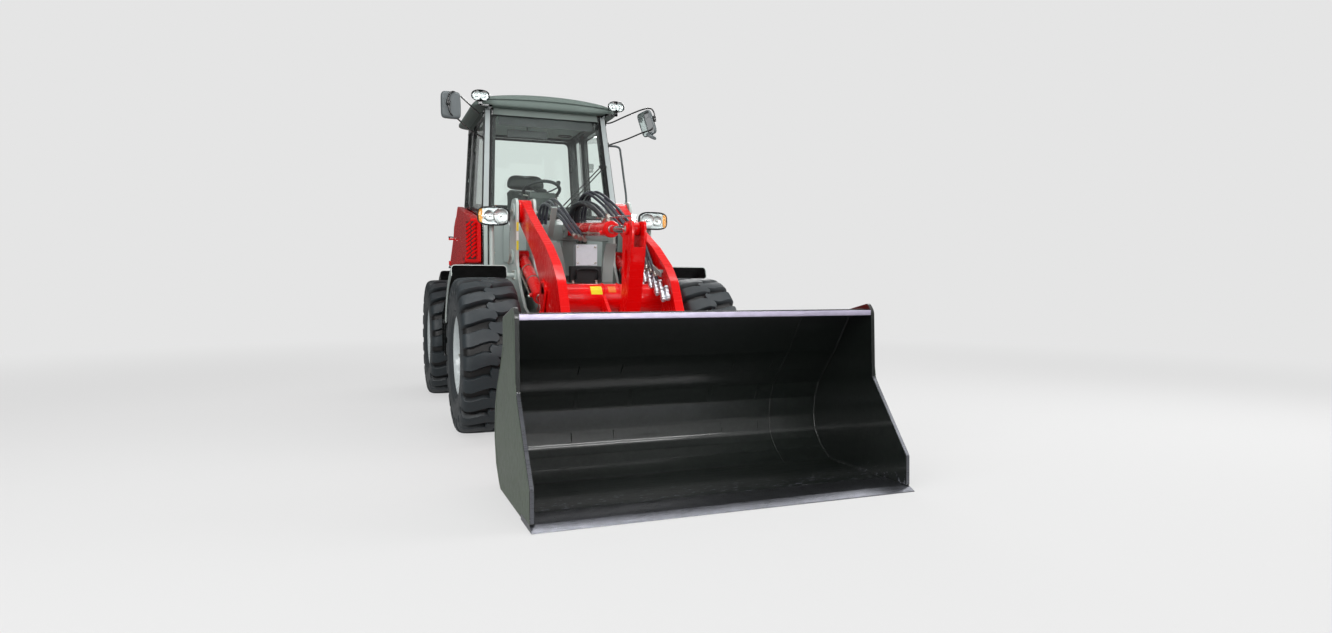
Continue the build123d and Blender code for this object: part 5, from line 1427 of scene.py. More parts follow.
# ---------------------------------------------------------------- cylinders
@dataclass
class Cylinder:
    """A hydraulic cylinder: welded base eye, barrel with gland and ports, chromed rod and rod eye.

    base and end are the (Y, Z) of its two pins in millimetres; the other sizes are in metres, and length and
    rod_start are measured from the base pin.
    """

    base: tuple
    end: tuple
    x: float
    radius: float
    rod_radius: float
    length: float
    rod_start: float
    eye: float
    eye_half: float
    rod_eye: float
    rod_eye_half: float

    def frame(self) -> tuple[Array, Array]:
        """Return the base pin's centre and the heading of the rod."""
        base, end = (np.array((self.x, *mm(place))) for place in (self.base, self.end))
        return base, end - base

    def barrel(self) -> list[Patch]:
        """Return the barrel's turned shell and its eye."""
        base, heading = self.frame()
        r, stop = self.radius, self.length
        bore = self.rod_radius + 0.0006
        shell = [(0.034, r * 0.6), (0.042, r - 0.003), (0.046, r), (stop - 0.062, r),
                 (stop - 0.058, r + 0.007), (stop - 0.054, r + 0.008), (stop - 0.01, r + 0.008),
                 (stop - 0.006, r + 0.006), (stop, r + 0.004), (stop, bore + 0.004), (stop - 0.004, bore),
                 (0.1, bore), (0.1, 0.004), (0.034, 0.004)]
        eye = boss(mm(self.base), self.x - self.eye_half, self.x + self.eye_half, self.eye)
        return [lathe(shell, base, heading, 48, closed=True), eye]

    def plumbing(self, side: float) -> tuple[list[Patch], list[Patch]]:
        """Return the port blocks with their unions, and the hard pipe clamped along the barrel.

        Args:
            side: which way, along X, the pipe lies off the barrel.

        Returns:
            The blocks, and the pipe with its nuts and straps.
        """
        base, heading = self.frame()
        along = unit(heading)
        out = unit(np.array((side, 0.0, 0.0)) - np.cross(along, (1, 0, 0)) * 0.5)
        near, far = base + along * 0.12, base + along * (self.length - 0.09)
        blocks = [rod(p + out * (self.radius - 0.006), p + out * (self.radius + 0.02), 0.015, 16)
                  for p in (near, far)]
        reach = out * (self.radius + 0.016)
        path = curve_through([far + reach, far + reach - along * 0.05, near + reach + along * 0.25,
                              near + reach + along * 0.1], 40)
        pipe = [tube(path, 0.006, 10), lathe([(0, 0.011), (0.018, 0.011)], path[-1], -along, 6),
                lathe([(0, 0.011), (0.018, 0.011)], far + out * (self.radius + 0.01), out, 6)]
        for share in (0.35, 0.62):
            place = base + along * (self.length * share)
            strap = rectangle(-0.008, self.radius + 0.0015, 0.008, self.radius - 0.001)
            pipe.append(lathe(strap, place, along, 36, closed=True))
            pipe.append(slab(place + out * (self.radius + 0.012), (0.016, 0.024, 0.018), along, out))
        return blocks, pipe

    def build(self, side: float = 0.0) -> tuple[list[Patch], list[Patch], list[Patch], list[Patch]]:
        """Return red parts of the barrel, its bright pipe, the chromed rod and the rod's red eye."""
        base, heading = self.frame()
        blocks, pipe = self.plumbing(side) if side else ([], [])
        total = np.linalg.norm(heading)
        chrome = [lathe([(self.rod_start, self.rod_radius), (total - self.rod_eye * 0.7, self.rod_radius)],
                        base, heading, 40)]
        eye = [boss(mm(self.end), self.x - self.rod_eye_half, self.x + self.rod_eye_half, self.rod_eye),
               lathe([(total - self.rod_eye - 0.03, self.rod_radius),
                      (total - self.rod_eye - 0.024, self.rod_radius + 0.008),
                      (total - self.rod_eye * 0.6, self.rod_radius + 0.008)], base, heading, 32)]
        wiper = lathe([(self.length, self.rod_radius + 0.005),
                       (self.length + 0.004, self.rod_radius + 0.003),
                       (self.length + 0.004, self.rod_radius + 0.0008),
                       (self.length, self.rod_radius + 0.0008)], base, heading, 32, closed=True)
        return self.barrel() + blocks, pipe + [wiper], chrome, eye


def cylinders() -> None:
    """Make the lift, tilt and steering cylinders."""
    red, pipe, chrome, eye = [], [], [], []
    for side in (1, -1):
        lift = Cylinder((110, 1245), (-745, 832), side * 0.385, radius=0.045, rod_radius=0.027, length=0.72,
                        rod_start=0.11, eye=0.05, eye_half=0.044, rod_eye=0.041, rod_eye_half=0.029)
        for held, new in zip((red, pipe, chrome, eye), lift.build(side)):
            held += new
    make("lift_barrels_shown", "lift_barrels", [(RED, red), (ZINC, pipe)], crease=45,
         replaces=["lift_barrels"])
    make("lift_rods_shown", "lift_rods", [(CHROME, chrome), (RED, eye)], crease=45, replaces=["lift_rods"])
    tilt = Cylinder((40, 1463), (-1465, 1365), 0.0, radius=0.048, rod_radius=0.024, length=1.05,
                    rod_start=0.64, eye=0.05, eye_half=0.041, rod_eye=0.04, rod_eye_half=0.026)
    red, pipe, chrome, eye = tilt.build(-1)
    collar = lathe([(0.99, 0.0475), (0.992, 0.0505), (1.044, 0.0505), (1.048, 0.0475)], *tilt.frame(), 48)
    guide = [slab((0, -0.905, 1.47), (0.03, 0.02, 0.07), (0, -1, -0.065))]
    make("tilt_barrel_shown", "tilt_barrel", [(RED, red + [collar]), (ZINC, pipe + guide)], crease=45,
         replaces=["tilt_barrel"])
    gauge = [rod((0, -0.64, 1.5), (0, -1.452, 1.447), 0.006, 12),
             slab((0, -1.452, 1.425), (0.012, 0.03, 0.06), (0, 1, 0))]
    make("tilt_rod_shown", "tilt_rod", [(CHROME, chrome + gauge), (RED, eye)], crease=45,
         replaces=["tilt_rod"])
    for side in ("left", "right"):
        round_off(f"steer_barrel_{side}", GLOSS, 0.002)
        round_off(f"steer_rod_{side}", CHROME, 0.0015)


# ---------------------------------------------------------------- front frame
@dataclass
class FrontFrame:
    """The front frame: towers of two plates, base, valve block, brackets, fenders and headlights."""

    tower: tuple = ((-60, 1688), (140, 1688), (232, 1500), (262, 1300), (330, 900), (330, 700), (-600, 700),
                    (-600, 770), (-330, 860), (-150, 1020), (-40, 1200))
    plates_x: tuple = ((0.308, 0.328), (0.442, 0.462))

    def towers(self) -> None:
        """Make both towers with bosses, pins, eyes and labels."""
        eye = np.array(frame["record"]["mounts"][1]["pos_m"][1:])
        turn = np.linspace(0, 2 * pi, 32, endpoint=False)
        hole = eye + 0.018 * np.stack([np.cos(turn), np.sin(turn)], -1)
        outline = rounded(self.tower, 75, 6, sharp=(5, 6, 7))
        made = [prism(outline, low, high, holes=[hole]) for low, high in self.plates_x]
        made += [box((0.327, 0.23, 0.73), (0.443, 0.262, 1.29)),
                 box((0.327, -0.6, 0.7), (0.443, 0.33, 0.73))]
        rings = []
        for joint, radius in (("lift", 0.062), ("lift_barrel_swing", 0.055)):
            where = pin(joint)[1:]
            for low, high in ((0.296, 0.309), (0.461, 0.474)):
                rings.append(boss(where, low, high, radius if low > 0.4 else 0.036))
        side = [pin_ends((0.385, *pin(joint)[1:]), 0.096) for joint in ("lift", "lift_barrel_swing")]
        keeper = [slab((0.478, pin(j)[1] + 0.045, pin(j)[2] - 0.03), (0.006, 0.09, 0.028), (1, 0, 0),
                       (0, 0.55, 0.8)) for j in ("lift", "lift_barrel_swing")]
        heads = bolts([(0.481, pin(j)[1] + 0.07, pin(j)[2] - 0.046) for j in ("lift", "lift_barrel_swing")],
                      (1, 0, 0), 0.012)
        beads = [weld([(x, 0.231, 0.735), (x, 0.231, 1.285)], 0.005) for x in (0.329, 0.441)]
        for name, flip in (("left", False), ("right", True)):
            flipped = [[p.mirrored() for p in group] if flip else group
                       for group in (made + rings + beads, side[0] + side[1] + keeper + heads)]
            # The towers take the lighter grey, a painted highlight.
            make(f"{name}_tower_shown", FRONT, [(LIT_GREY, flipped[0])], bevel=0.003, crease=35,
                 replaces=[f"{name}_tower"])
            make(f"{name}_tower_pins", FRONT, [(ZINC, flipped[1])], bevel=0.0008)
        # Blank stripes on the front edges of the outer plates.
        labels = []
        for low, high, finish in ((1.29, 1.36, YELLOW), (1.365, 1.43, WHITE), (1.435, 1.5, YELLOW)):
            foot, head = np.interp((low, high), (1.2, 1.688), (-0.04, -0.06))
            strip = [(foot - 0.0009, low), (head - 0.0009, high), (head + 0.002, high), (foot + 0.002, low)]
            labels.append((finish, both([prism(strip, 0.444, 0.46)])))
        make("tower_labels", FRONT, labels)

    def frame_parts(self) -> None:
        """Make the welded base with the tilt cylinder's ears, and the control valve with its brackets."""
        round_off("front_frame", GREY, 0.004)
        bodies, ports = [], []
        for i in range(6):
            y = -0.325 + 0.033 * i
            bodies.append(box((-0.135, y, 0.735), (0.135, y + 0.03, 1.02)))
            for x in (-0.09, 0.09):
                ports += [rod((x, y + 0.015, 1.018), (x, y + 0.015, 1.06), 0.011, 14),
                          lathe([(0, 0.014), (0.014, 0.014)], (x, y + 0.015, 1.03), (0, 0, 1), 6)]
        make("valve_shown", FRONT, [(IRON, bodies), (ZINC, ports)], bevel=0.003, replaces=["control_valve"])
        silver = [box((-0.06, -0.29, 1.17), (0.105, -0.23, 1.33))]
        dark = [box((-0.1, -0.3, 1.04), (0.135, -0.225, 1.165))]
        handle = [tube(curve_through([(-0.07, -0.305, 1.07), (-0.07, -0.335, 1.1), (-0.05, -0.34, 1.14),
                                      (0.08, -0.34, 1.14), (0.1, -0.335, 1.1), (0.1, -0.305, 1.07)], 36),
                       0.008, 10)]
        curl = np.linspace(0, 1, 9)
        wings = []
        for x, lean in ((-0.215, -0.045), (0.15, 0.035)):
            outer = np.stack([x + lean * curl**2, 1.04 + 0.3 * curl], -1)
            outer = np.vstack([outer, outer[::-1] + (0.085, 0)])
            wings.append(prism(outer, -0.262, -0.25, Axis.Y))
        wings += [slab((-0.21, -0.165, 1.5), (0.26, 0.022, 0.04), (0, 0.6, -0.8), (1, 0, 0)),
                  box((-0.25, -0.262, 1.0), (0.235, -0.25, 1.045))]
        screws = bolts([(x, -0.29, z) for x in (-0.045, 0.09) for z in (1.19, 1.31)], (0, -1, 0), 0.008)
        make("valve_cover", FRONT, [(GREY, wings), (ALLOY, silver), (TRIM, dark + handle), (ZINC, screws)],
             bevel=0.004)

    def fenders(self) -> None:
        """Make the four fenders: a channel with rounded shoulders bent round the wheel, with painted shade
        inside.
        """
        # The front fenders take the lighter grey outside, a painted highlight.
        for node, body, axle, paint in (("front_fenders", FRONT, "front_left_tyre", LIT_GREY),
                                        ("rear_fenders", REAR, "rear_left_tyre", GLOSS)):
            reach = corners(node)[1][0]
            low, high = corners(axle)
            centre = (low + high) / 2
            turn = np.radians(np.linspace(21, 76, 40))
            quarter = np.linspace(0, pi / 2, 7)
            skins = []
            for inset in (0.0, 0.006):
                x0, x1, top, foot, r = 0.586 + inset, reach - inset, 0.648 - inset, 0.566, 0.03 - inset
                left = np.stack([x0 + r - r * np.cos(quarter), top - r + r * np.sin(quarter)], -1)
                right = np.stack([x1 - r + r * np.sin(quarter), top - r + r * np.cos(quarter)], -1)
                section = np.vstack([[(x0, foot)], left, right, [(x1, foot)]])
                points = np.empty((len(turn), len(section), 3))
                points[..., 0] = section[:, 0]
                points[..., 1] = centre[1] + np.outer(np.cos(turn), section[:, 1])
                points[..., 2] = centre[2] + np.outer(np.sin(turn), section[:, 1])
                skins.append(points)
            outer, inner = skins
            lips = [grid(np.stack([outer[i], inner[i]])) for i in (0, -1)]
            lips += [grid(np.stack([outer[:, i], inner[:, i]])) for i in (0, -1)]
            if body == FRONT:
                arm = box((0.462, -0.07, 0.895), (0.59, -0.01, 0.95))
                heads = bolts([(0.602, y, 0.965) for y in (-0.055, -0.028)], (1, 0, 0), 0.01)
            else:
                arm = box((0.32, 2.11, 0.905), (0.59, 2.15, 0.955))
                heads = bolts([(0.602, 2.13, 0.965)], (1, 0, 0), 0.01)
            # The inner skin is black rubber sheet: painted shade for the fender's shadowed underside.
            make(node + "_shown", body, [(paint, both([grid(outer), *lips])), (SHEET, both([grid(inner)]))],
                 crease=50, replaces=[node])
            make(node + "_brackets", body, [(GREY, both([arm])), (ZINC, both(heads))], bevel=0.003)

    def headlights(self) -> None:
        """Make the headlights: housing, reflectors, clear lens with an amber part, and bent tube stalks."""
        low, high = corners("headlights")
        x, z = high[0] - 0.122, (low[2] + high[2]) / 2
        front, back = low[1], high[1]

        def ring(scale: float, depth: float) -> tuple[float, Array]:
            """Return a loft's level: the lamp's outline at a scale, and how far back it lies."""
            return depth, oval((x, z), 0.244 * scale, 0.144 * scale, 3.4, 40)

        shell = loft([ring(0.55, back), ring(0.82, back - 0.01), ring(0.97, front + 0.04),
                      ring(1.0, front + 0.024), ring(1.0, front + 0.012), ring(0.965, front + 0.009),
                      ring(0.94, front + 0.012), ring(0.93, front + 0.02), ring(0.88, back - 0.02),
                      ring(0.5, back - 0.014)])
        lens = loft([ring(0.935, front + 0.018), ring(0.935, front + 0.01), ring(0.9, front + 0.005),
                     ring(0.7, front + 0.0015), ring(0.3, front)])
        bowls, bulbs = [], []
        for offset, radius in ((-0.05, 0.056), (0.032, 0.04)):
            rim = [(0.0, radius), (0.004, radius * 0.9), (0.008, radius * 0.7), (0.01, radius * 0.4),
                   (0.0105, 0.01), (0.013, 0.01), (0.013, radius), (0.002, radius * 1.04)]
            bowls.append(lathe(rim, (x + offset, front + 0.008, z), (0, 1, 0), 36, closed=True))
            bulbs.append(lathe([(0.0, 0.004), (0.002, 0.008), (0.01, 0.009)],
                               (x + offset, front + 0.008, z), (0, 1, 0), 16))
        amber = loft([(front + 0.014, oval((x + 0.096, z), 0.028, 0.1, 4, 28)),
                      (front + 0.05, oval((x + 0.094, z), 0.026, 0.092, 4, 28))])
        plate = prism(oval((x, z), 0.214, 0.116, 3.4, 40), front + 0.019, front + 0.022, Axis.Y)
        screws = bolts([(x + dx, back, z + dz) for dx in (-0.05, 0.05) for dz in (-0.03, 0.03)], (0, 1, 0),
                       0.006)
        make("headlights_shown", FRONT, [(TRIM, both([shell])), (BRIGHT, both([*bowls, plate])),
                                         (AMBER, both([amber])), (ZINC, both(bulbs + screws))], crease=40,
             replaces=["headlights"])
        make("headlight_lenses", FRONT, [(LENS, both([lens]))], crease=60)
        path = curve_through([(0.462, 0.025, 1.1), (0.56, 0.025, 1.1), (0.615, 0.025, 1.106),
                              (0.634, 0.025, 1.135), (0.635, 0.025, 1.2), (0.635, 0.025, 1.35),
                              (0.635, 0.025, 1.5)], 60)
        cheek = prism(rounded(rectangle(575, 1495, 695, 1560), 12, 3), 0.006, 0.012, Axis.Y)
        flange = prism(rounded(rectangle(-15, 1060, 65, 1140), 10, 3), 0.462, 0.47)
        heads = bolts([(0.47, y, h) for y in (-0.003, 0.053) for h in (1.072, 1.128)], (1, 0, 0), 0.01)
        # The stalks take the lighter grey, a painted highlight.
        make("headlight_stalks_shown", FRONT, [(LIT_GREY, both([tube(path, 0.019, 16), cheek, flange])),
                                               (ZINC, both(heads))], bevel=0.001, crease=45,
             replaces=["headlight_stalks"])

    def build(self) -> None:
        """Make every part of the front frame."""
        self.towers()
        self.frame_parts()
        self.fenders()
        self.headlights()


def axle(node: str, body: str) -> None:
    """Make an axle: cast housing with a bolted differential, planetary hubs and brake flanges.

    Args:
        node: the CAD node it stands for.
        body: the body it rides on.
    """
    low, high = corners(node)
    centre = (low + high) / 2
    half = [(0.0, 0.15), (0.088, 0.15), (0.094, 0.142), (0.098, 0.112), (0.14, 0.108), (0.15, 0.082),
            (0.4, 0.074), (0.418, 0.08), (0.422, 0.118), (0.43, 0.12), (0.552, 0.12), (0.558, 0.124),
            (0.56, 0.138), (0.566, 0.14), (0.85, 0.14), (0.858, 0.136), (0.86, 0.06), (0.926, 0.06),
            (0.929, 0.056)]
    profile = np.array([(-x, r) for x, r in half[::-1]] + half[1:])
    housing = lathe(profile, centre, (1, 0, 0), 56)
    pads = both([box((0.25, centre[1] - 0.09, centre[2]), (0.33, centre[1] + 0.09, 0.64))])
    turn = np.arange(12) * pi / 6
    ring = np.stack([np.zeros(12), 0.13 * np.cos(turn), 0.13 * np.sin(turn)], -1)
    heads = bolts(centre + ring + (0.094, 0, 0), (1, 0, 0), 0.01, washer=False)
    nose = lathe([(0.1, 0.085), (0.165, 0.075), (0.175, 0.05), (0.21, 0.045), (0.215, 0.03)], centre,
                 (0, 1, 0), 36)
    make(node + "_shown", body, [(GREY, [housing, nose, *pads]), (ZINC, heads)], bevel=0.002, replaces=[node])


def inset_ring(outline: Array, inset: float) -> Array:
    """Return an outline moved inwards: each point goes along the mean of its two edges' inward normals."""
    array = np.asarray(outline, float)
    before, after = array - np.roll(array, 1, 0), np.roll(array, -1, 0) - array
    area = 0.5 * np.sum(array[:, 0] * np.roll(array[:, 1], -1) - np.roll(array[:, 0], -1) * array[:, 1])
    turn = np.sign(area) * np.array((-1.0, 1.0))
    normals = [edge[:, ::-1] * turn / np.linalg.norm(edge, axis=1)[:, None] for edge in (before, after)]
    total = normals[0] + normals[1]
    return array + total * (2 * inset / (total**2).sum(1))[:, None]


def bar_loop(points: Sequence, radius: float, count: int = 48) -> Patch:
    """Return a bent round bar through points."""
    return tube(curve_through(points, count), radius, 12)


# ---------------------------------------------------------------- cab
@dataclass
class Cab:
    """The cab: welded frame, glazing with printed borders, roof shell, door, side cover, lamps and
    mirrors."""

    half: float = 0.6
    glass_half: float = 0.539

    @staticmethod
    def front(z: Any) -> Any:
        """Return the Y of the cab's front face at a height: upright below the sill, leaning back above."""
        return np.interp(z, (1.6, 2.565), (0.735, 0.95))

    def side(self, z: Any) -> Any:
        """Return the cab's half width at a height: upright below the sill, leaning in above."""
        return np.interp(z, (1.6, 2.565), (self.half, 0.54))

    def narrowed(self, patch: Patch, half: float) -> Patch:
        """Return a patch drawn in above the sill, by the side's full lean at the given half width."""
        points = patch.points.copy()
        points[:, 0] *= 1 - (self.half - self.side(points[:, 2])) / half
        return Patch(points, patch.faces, patch.tone)

    def leaned(self, patch: Patch, half: float = 0.539) -> Patch:
        """Return a patch made round Y = 0, moved on to the cab's front face and drawn in with its sides."""
        points = self.narrowed(patch, half).points
        points[:, 1] += self.front(points[:, 2])
        return Patch(points, patch.faces, patch.tone)

    def glazing(self) -> None:
        """Make the windscreen with its printed border and seal, and the borders of the other panes."""
        w = self.glass_half * 1000
        edge = rounded(rectangle(-w, 1603, w, 2512), 16, 3)
        clear = rounded(rectangle(40 - w, 1640, w - 40, 2505), 45, 6)
        seal_in = round_corners(inset_ring(mm(rectangle(-w, 1603, w, 2512)), 0.01), 0.02, 3)
        make("windscreen_shown", REAR, [(GLASS, [self.leaned(prism(edge, 0.0125, 0.018, Axis.Y))])],
             replaces=["windscreen"])
        frit = self.leaned(prism(edge, 0.0183, 0.0192, Axis.Y, holes=[clear]))
        seal = self.leaned(prism(edge, 0.006, 0.0122, Axis.Y, holes=[seal_in]))
        panes = []
        rear = rounded(rectangle(-538, 1802, 538, 2503), 10, 2)
        rear_clear = rounded(rectangle(-508, 1832, 508, 2478), 50, 5)
        panes.append(self.narrowed(prism(rear, 1.9985, 1.9995, Axis.Y, holes=[rear_clear]), 0.539))
        quarter = mm([(1661, 1763), (1661, 2504), (1959, 2504), (1959, 1801)])
        right = mm([(802, 1624), (1011, 2503), (1598, 2503), (1598, 1743)])
        door = mm([(847, 1332), (847, 1600), (1062, 2450), (1542, 2450), (1542, 1332)])
        for outline, low, high, border in ((quarter, 0.5856, 0.5864, 0.03),
                                           (right, -0.5864, -0.5856, 0.028),
                                           (quarter, -0.5864, -0.5856, 0.03)):
            panes.append(self.narrowed(prism(outline, low, high,
                                             holes=[round_corners(inset_ring(outline, border), 0.04, 5)]),
                                       0.585))
        make("glazing_borders", REAR, [(FRIT, [frit, *panes]), (SHEET, [seal])])
        make("door_glass_border", "left_door",
             [(FRIT,
               [self.narrowed(prism(door, 0.5826, 0.5834,
                                    holes=[round_corners(inset_ring(door, 0.02), 0.03, 5)]), 0.585)])])
        dress("cab_windows", GLASS)
        dress("left_door_glass", GLASS)

    def shell(self) -> None:
        """Make the frame with its panels, gutters, grab rails, wiper and hinges."""
        round_off("cab_frame", GLOSS, 0.005, 3)
        lower = box((-0.532, 0.7285, 1.035), (0.532, 0.7355, 1.585))
        raised = box((-0.425, 0.716, 1.22), (-0.34, 0.729, 1.575))
        # The light grey corner strip is a painted highlight.
        strip = box((-0.59, 0.722, 0.905), (-0.56, 0.7345, 1.56))
        ribs = [box((x, 0.722, 1.08), (x + 0.1, 0.729, 1.2)) for x in (-0.3, -0.12, 0.06, 0.24)]
        # Painted highlight: light grey strips on the front faces of the black A-pillars, where they catch the
        # light.
        highlight_strips = [self.leaned(box((x - 0.023, -0.0055, 1.585), (x + 0.023, 0.002, 2.56)), 0.6)
                  for x in (-0.573, 0.573)]
        header = [self.leaned(box((-0.525, -0.006, 2.507), (0.525, 0.0005, 2.5645)))]
        make("pillar_highlights_and_header", REAR, [(PILLAR_HIGHLIGHT, highlight_strips), (LINING, header)], bevel=0.0025, segments=3)
        heads = bolts([(x, 0.7285, z) for x in (-0.505, 0.505) for z in (1.07, 1.3, 1.54)], (0, -1, 0),
                      0.008)
        make("cab_front_panels", REAR, [(GREY, [lower, raised, *ribs]), (LIT_GREY, [strip]), (ZINC, heads)],
             bevel=0.006, segments=3)
        grip = bar_loop([(0.566, 1.1, 2.32), (0.64, 1.1, 2.33), (0.725, 1.1, 2.32), (0.745, 1.1, 2.25),
                         (0.772, 1.1, 2.05), (0.797, 1.1, 1.86), (0.785, 1.1, 1.79), (0.7, 1.1, 1.77),
                         (0.598, 1.1, 1.775)], 0.01)
        post = bar_loop([(0.601, 0.765, 1.55), (0.65, 0.765, 1.56), (0.655, 0.765, 1.5),
                         (0.655, 0.765, 1.2), (0.65, 0.765, 1.13), (0.601, 0.765, 1.14)], 0.011)
        make("grab_rails", REAR, [(GLOSS, [post])], crease=60)
        make("door_grab_rail", "left_door", [(IRON, [grip])], crease=60)
        swing = np.array((0.085, float(self.front(1.68)) - 0.012, 1.68))
        tip = np.array((0.485, float(self.front(2.09)) - 0.016, 2.09))
        arms = [rod(swing + (dx, 0, 0), tip + (dx * 0.8, 0, 0), 0.0055, 10) for dx in (-0.022, 0.022)]
        blade = slab(tip + (0.015, 0.006, -0.06), (0.56, 0.01, 0.016), (-0.03, 0.2228, 1.0), (0, 1, 0))
        motor = [lathe([(-0.004, 0.02), (0.022, 0.02), (0.026, 0.014)], swing + (0, 0.014, 0), (0, -1, 0),
                       20), slab(tip, (0.07, 0.016, 0.018))]
        make("wiper", REAR, [(GLOSS, arms + [blade] + motor)], bevel=0.001)

    def roof(self) -> None:
        """Make the crowned roof shell, two layers with a gap between, its headliner, visor and mirror.

        Each level of the shell is a rounded rectangle at a lift above the lip, drawn in by an inset, with a
        share of the crown: a rise that falls from the middle to the sides as a power of one less the square
        of X over its half width.
        """
        low, high = corners("cab_roof")
        lip, crown_rise, crown_half, middle, count = low[2] + 0.0005, 0.105, 0.645, 1.4575, 240
        levels = []
        for lift, share, inset, radius in ((0.0, 0.0, 0.07, 0.12), (0.0, 0.0, 0.016, 0.145),
                                           (0.003, 0.0, 0.006, 0.15), (0.009, 0.0, 0.0, 0.15),
                                           (0.025, 0.1, 0.0, 0.15), (0.025, 0.3, 0.005, 0.15),
                                           (0.023, 0.36, 0.018, 0.14), (0.025, 0.42, 0.018, 0.14),
                                           (0.025, 0.46, 0.006, 0.15), (0.026, 0.62, 0.008, 0.15),
                                           (0.027, 0.8, 0.018, 0.14), (0.028, 0.9, 0.036, 0.14),
                                           (0.028, 0.96, 0.065, 0.14), (0.028, 0.985, 0.12, 0.14),
                                           (0.028, 1.0, 0.2, 0.15), (0.028, 1.0, 0.32, 0.15),
                                           (0.028, 1.0, 0.46, 0.12)):
            outline = rectangle(low[0] + inset, low[1] + inset, high[0] - inset, high[1] - inset)
            ring = round_corners(outline, radius, 9)
            levels.append((lip + lift, share, ring))
        rings = []
        for z, share, ring in levels:
            closed = np.vstack([ring, ring[:1]])
            reach = np.concatenate([[0], np.cumsum(np.linalg.norm(np.diff(closed, axis=0), axis=1))])
            even = np.linspace(0, reach[-1], count, endpoint=False)
            x, y = np.interp(even, reach, closed[:, 0]), np.interp(even, reach, closed[:, 1])
            rise = crown_rise * np.clip(1 - (x / crown_half) ** 2, 0, 1) ** 0.55
            rings.append(np.stack([x, y, z + share * rise], -1))
        crown = rings[-1]
        for scale in (0.8, 0.6, 0.4, 0.2):
            x, y = crown[:, 0] * scale, middle + (crown[:, 1] - middle) * scale
            rings.append(np.stack([x, y, lip + 0.028 + crown_rise * (1 - (x / crown_half) ** 2) ** 0.55], -1))
        roof = grid(np.array(rings), wrap_columns=True, caps=True)
        make("roof_shown", REAR, [(ROOF, [roof])], crease=50, replaces=["cab_roof"])
        liner = prism(rounded(rectangle(1016, -470, 1960, 470), 40, 4), 2.525, 2.564, Axis.Z)
        visor = self.leaned(box((-0.47, 0.022, 2.42), (0.47, 0.03, 2.503)))
        glass = [slab((-0.15, 1.045, 2.375), (0.36, 0.016, 0.062)),
                 rod((-0.15, 1.05, 2.4), (-0.15, 1.07, 2.53), 0.006, 10)]
        lamp = lathe([(0, 0.05), (0.012, 0.045), (0.016, 0.02)], (0, 1.35, 2.53), (0, 0, -1), 24)
        speakers = [lathe([(0, 0.075), (0.01, 0.07), (0.012, 0.055), (0.006, 0.05)], (x, 1.8, 2.53),
                          (0, 0, -1), 28) for x in (-0.38, 0.38)]
        make("headliner", REAR, [(LINING, [liner]), (TRIM, [*glass, *speakers, visor]), (WHITE, [lamp])],
             bevel=0.004, segments=2)

    def lamps(self) -> None:
        """Make the four work lights: housing, rim, reflector, lens, foot and bracket."""
        shells, lenses, bowls, feet = [], [], [], []
        front_low = corners("work_lights")[0][1]
        for place, width, height, depth, face in (((0.6, front_low, 2.625), 0.156, 0.098, 0.05, 1),
                                                  ((0.495, 2.06, 2.52), 0.088, 0.066, -0.038, -1)):
            x, y, z = place

            def ring(scale: float, back: float) -> tuple[float, Array]:
                """Return a loft's level: the lamp's outline at a scale, at a share of its depth."""
                return y + depth * back, oval((x, z), width * scale, height * scale, 2.3, 40)

            shells.append(loft([ring(0.35, 1.0), ring(0.7, 0.92), ring(0.94, 0.5), ring(1.0, 0.22),
                                ring(1.0, 0.06), ring(0.97, 0.0), ring(0.94, 0.03), ring(0.93, 0.1),
                                ring(0.7, 0.4), ring(0.3, 0.44)]))
            lenses.append(loft([ring(0.935, 0.16), ring(0.935, 0.08), ring(0.8, 0.03), ring(0.4, 0.0)]))
            for step in (-0.22, 0.22):
                bowls.append(lathe([(0.006, height * 0.42), (0.012, height * 0.32), (0.017, height * 0.12),
                                    (0.012, 0.01), (0.01, 0.002), (0.019, height * 0.3)],
                                   (x + step * width, y, z), (0, face, 0), 24, closed=True))
            feet.append(slab((x, y + depth * 0.5, z + (-1 if face > 0 else 1) * height * 0.52),
                             (0.028, 0.022, 0.016)))
        brackets = [box((0.5, 0.79, 2.545), (0.53, 0.945, 2.557)),
                    box((0.5, 0.79, 2.545), (0.615, 0.81, 2.557)),
                    box((0.585, 0.79, 2.546), (0.615, 0.81, 2.577)),
                    box((0.47, 2.0202, 2.553), (0.52, 2.052, 2.561))]
        make("work_lights_shown", REAR, [(GLOSS, both(shells)), (BRIGHT, both(bowls)),
                                         (GLOSS, both(brackets + feet))], crease=40,
             replaces=["work_lights"])
        make("work_light_lenses", REAR, [(LENS, both(lenses))], crease=60)

    def mirrors(self) -> None:
        """Make the mirrors: moulded shells, glass facing back, clamps and bent rods."""
        x, z = 0.8625, 2.4875

        def ring(scale: float, y: float) -> tuple[float, Array]:
            """Return a loft's level: the mirror's outline at a scale, and its Y."""
            return y, oval((0, 0), 0.158 * scale, 0.218 * scale, 6, 36)

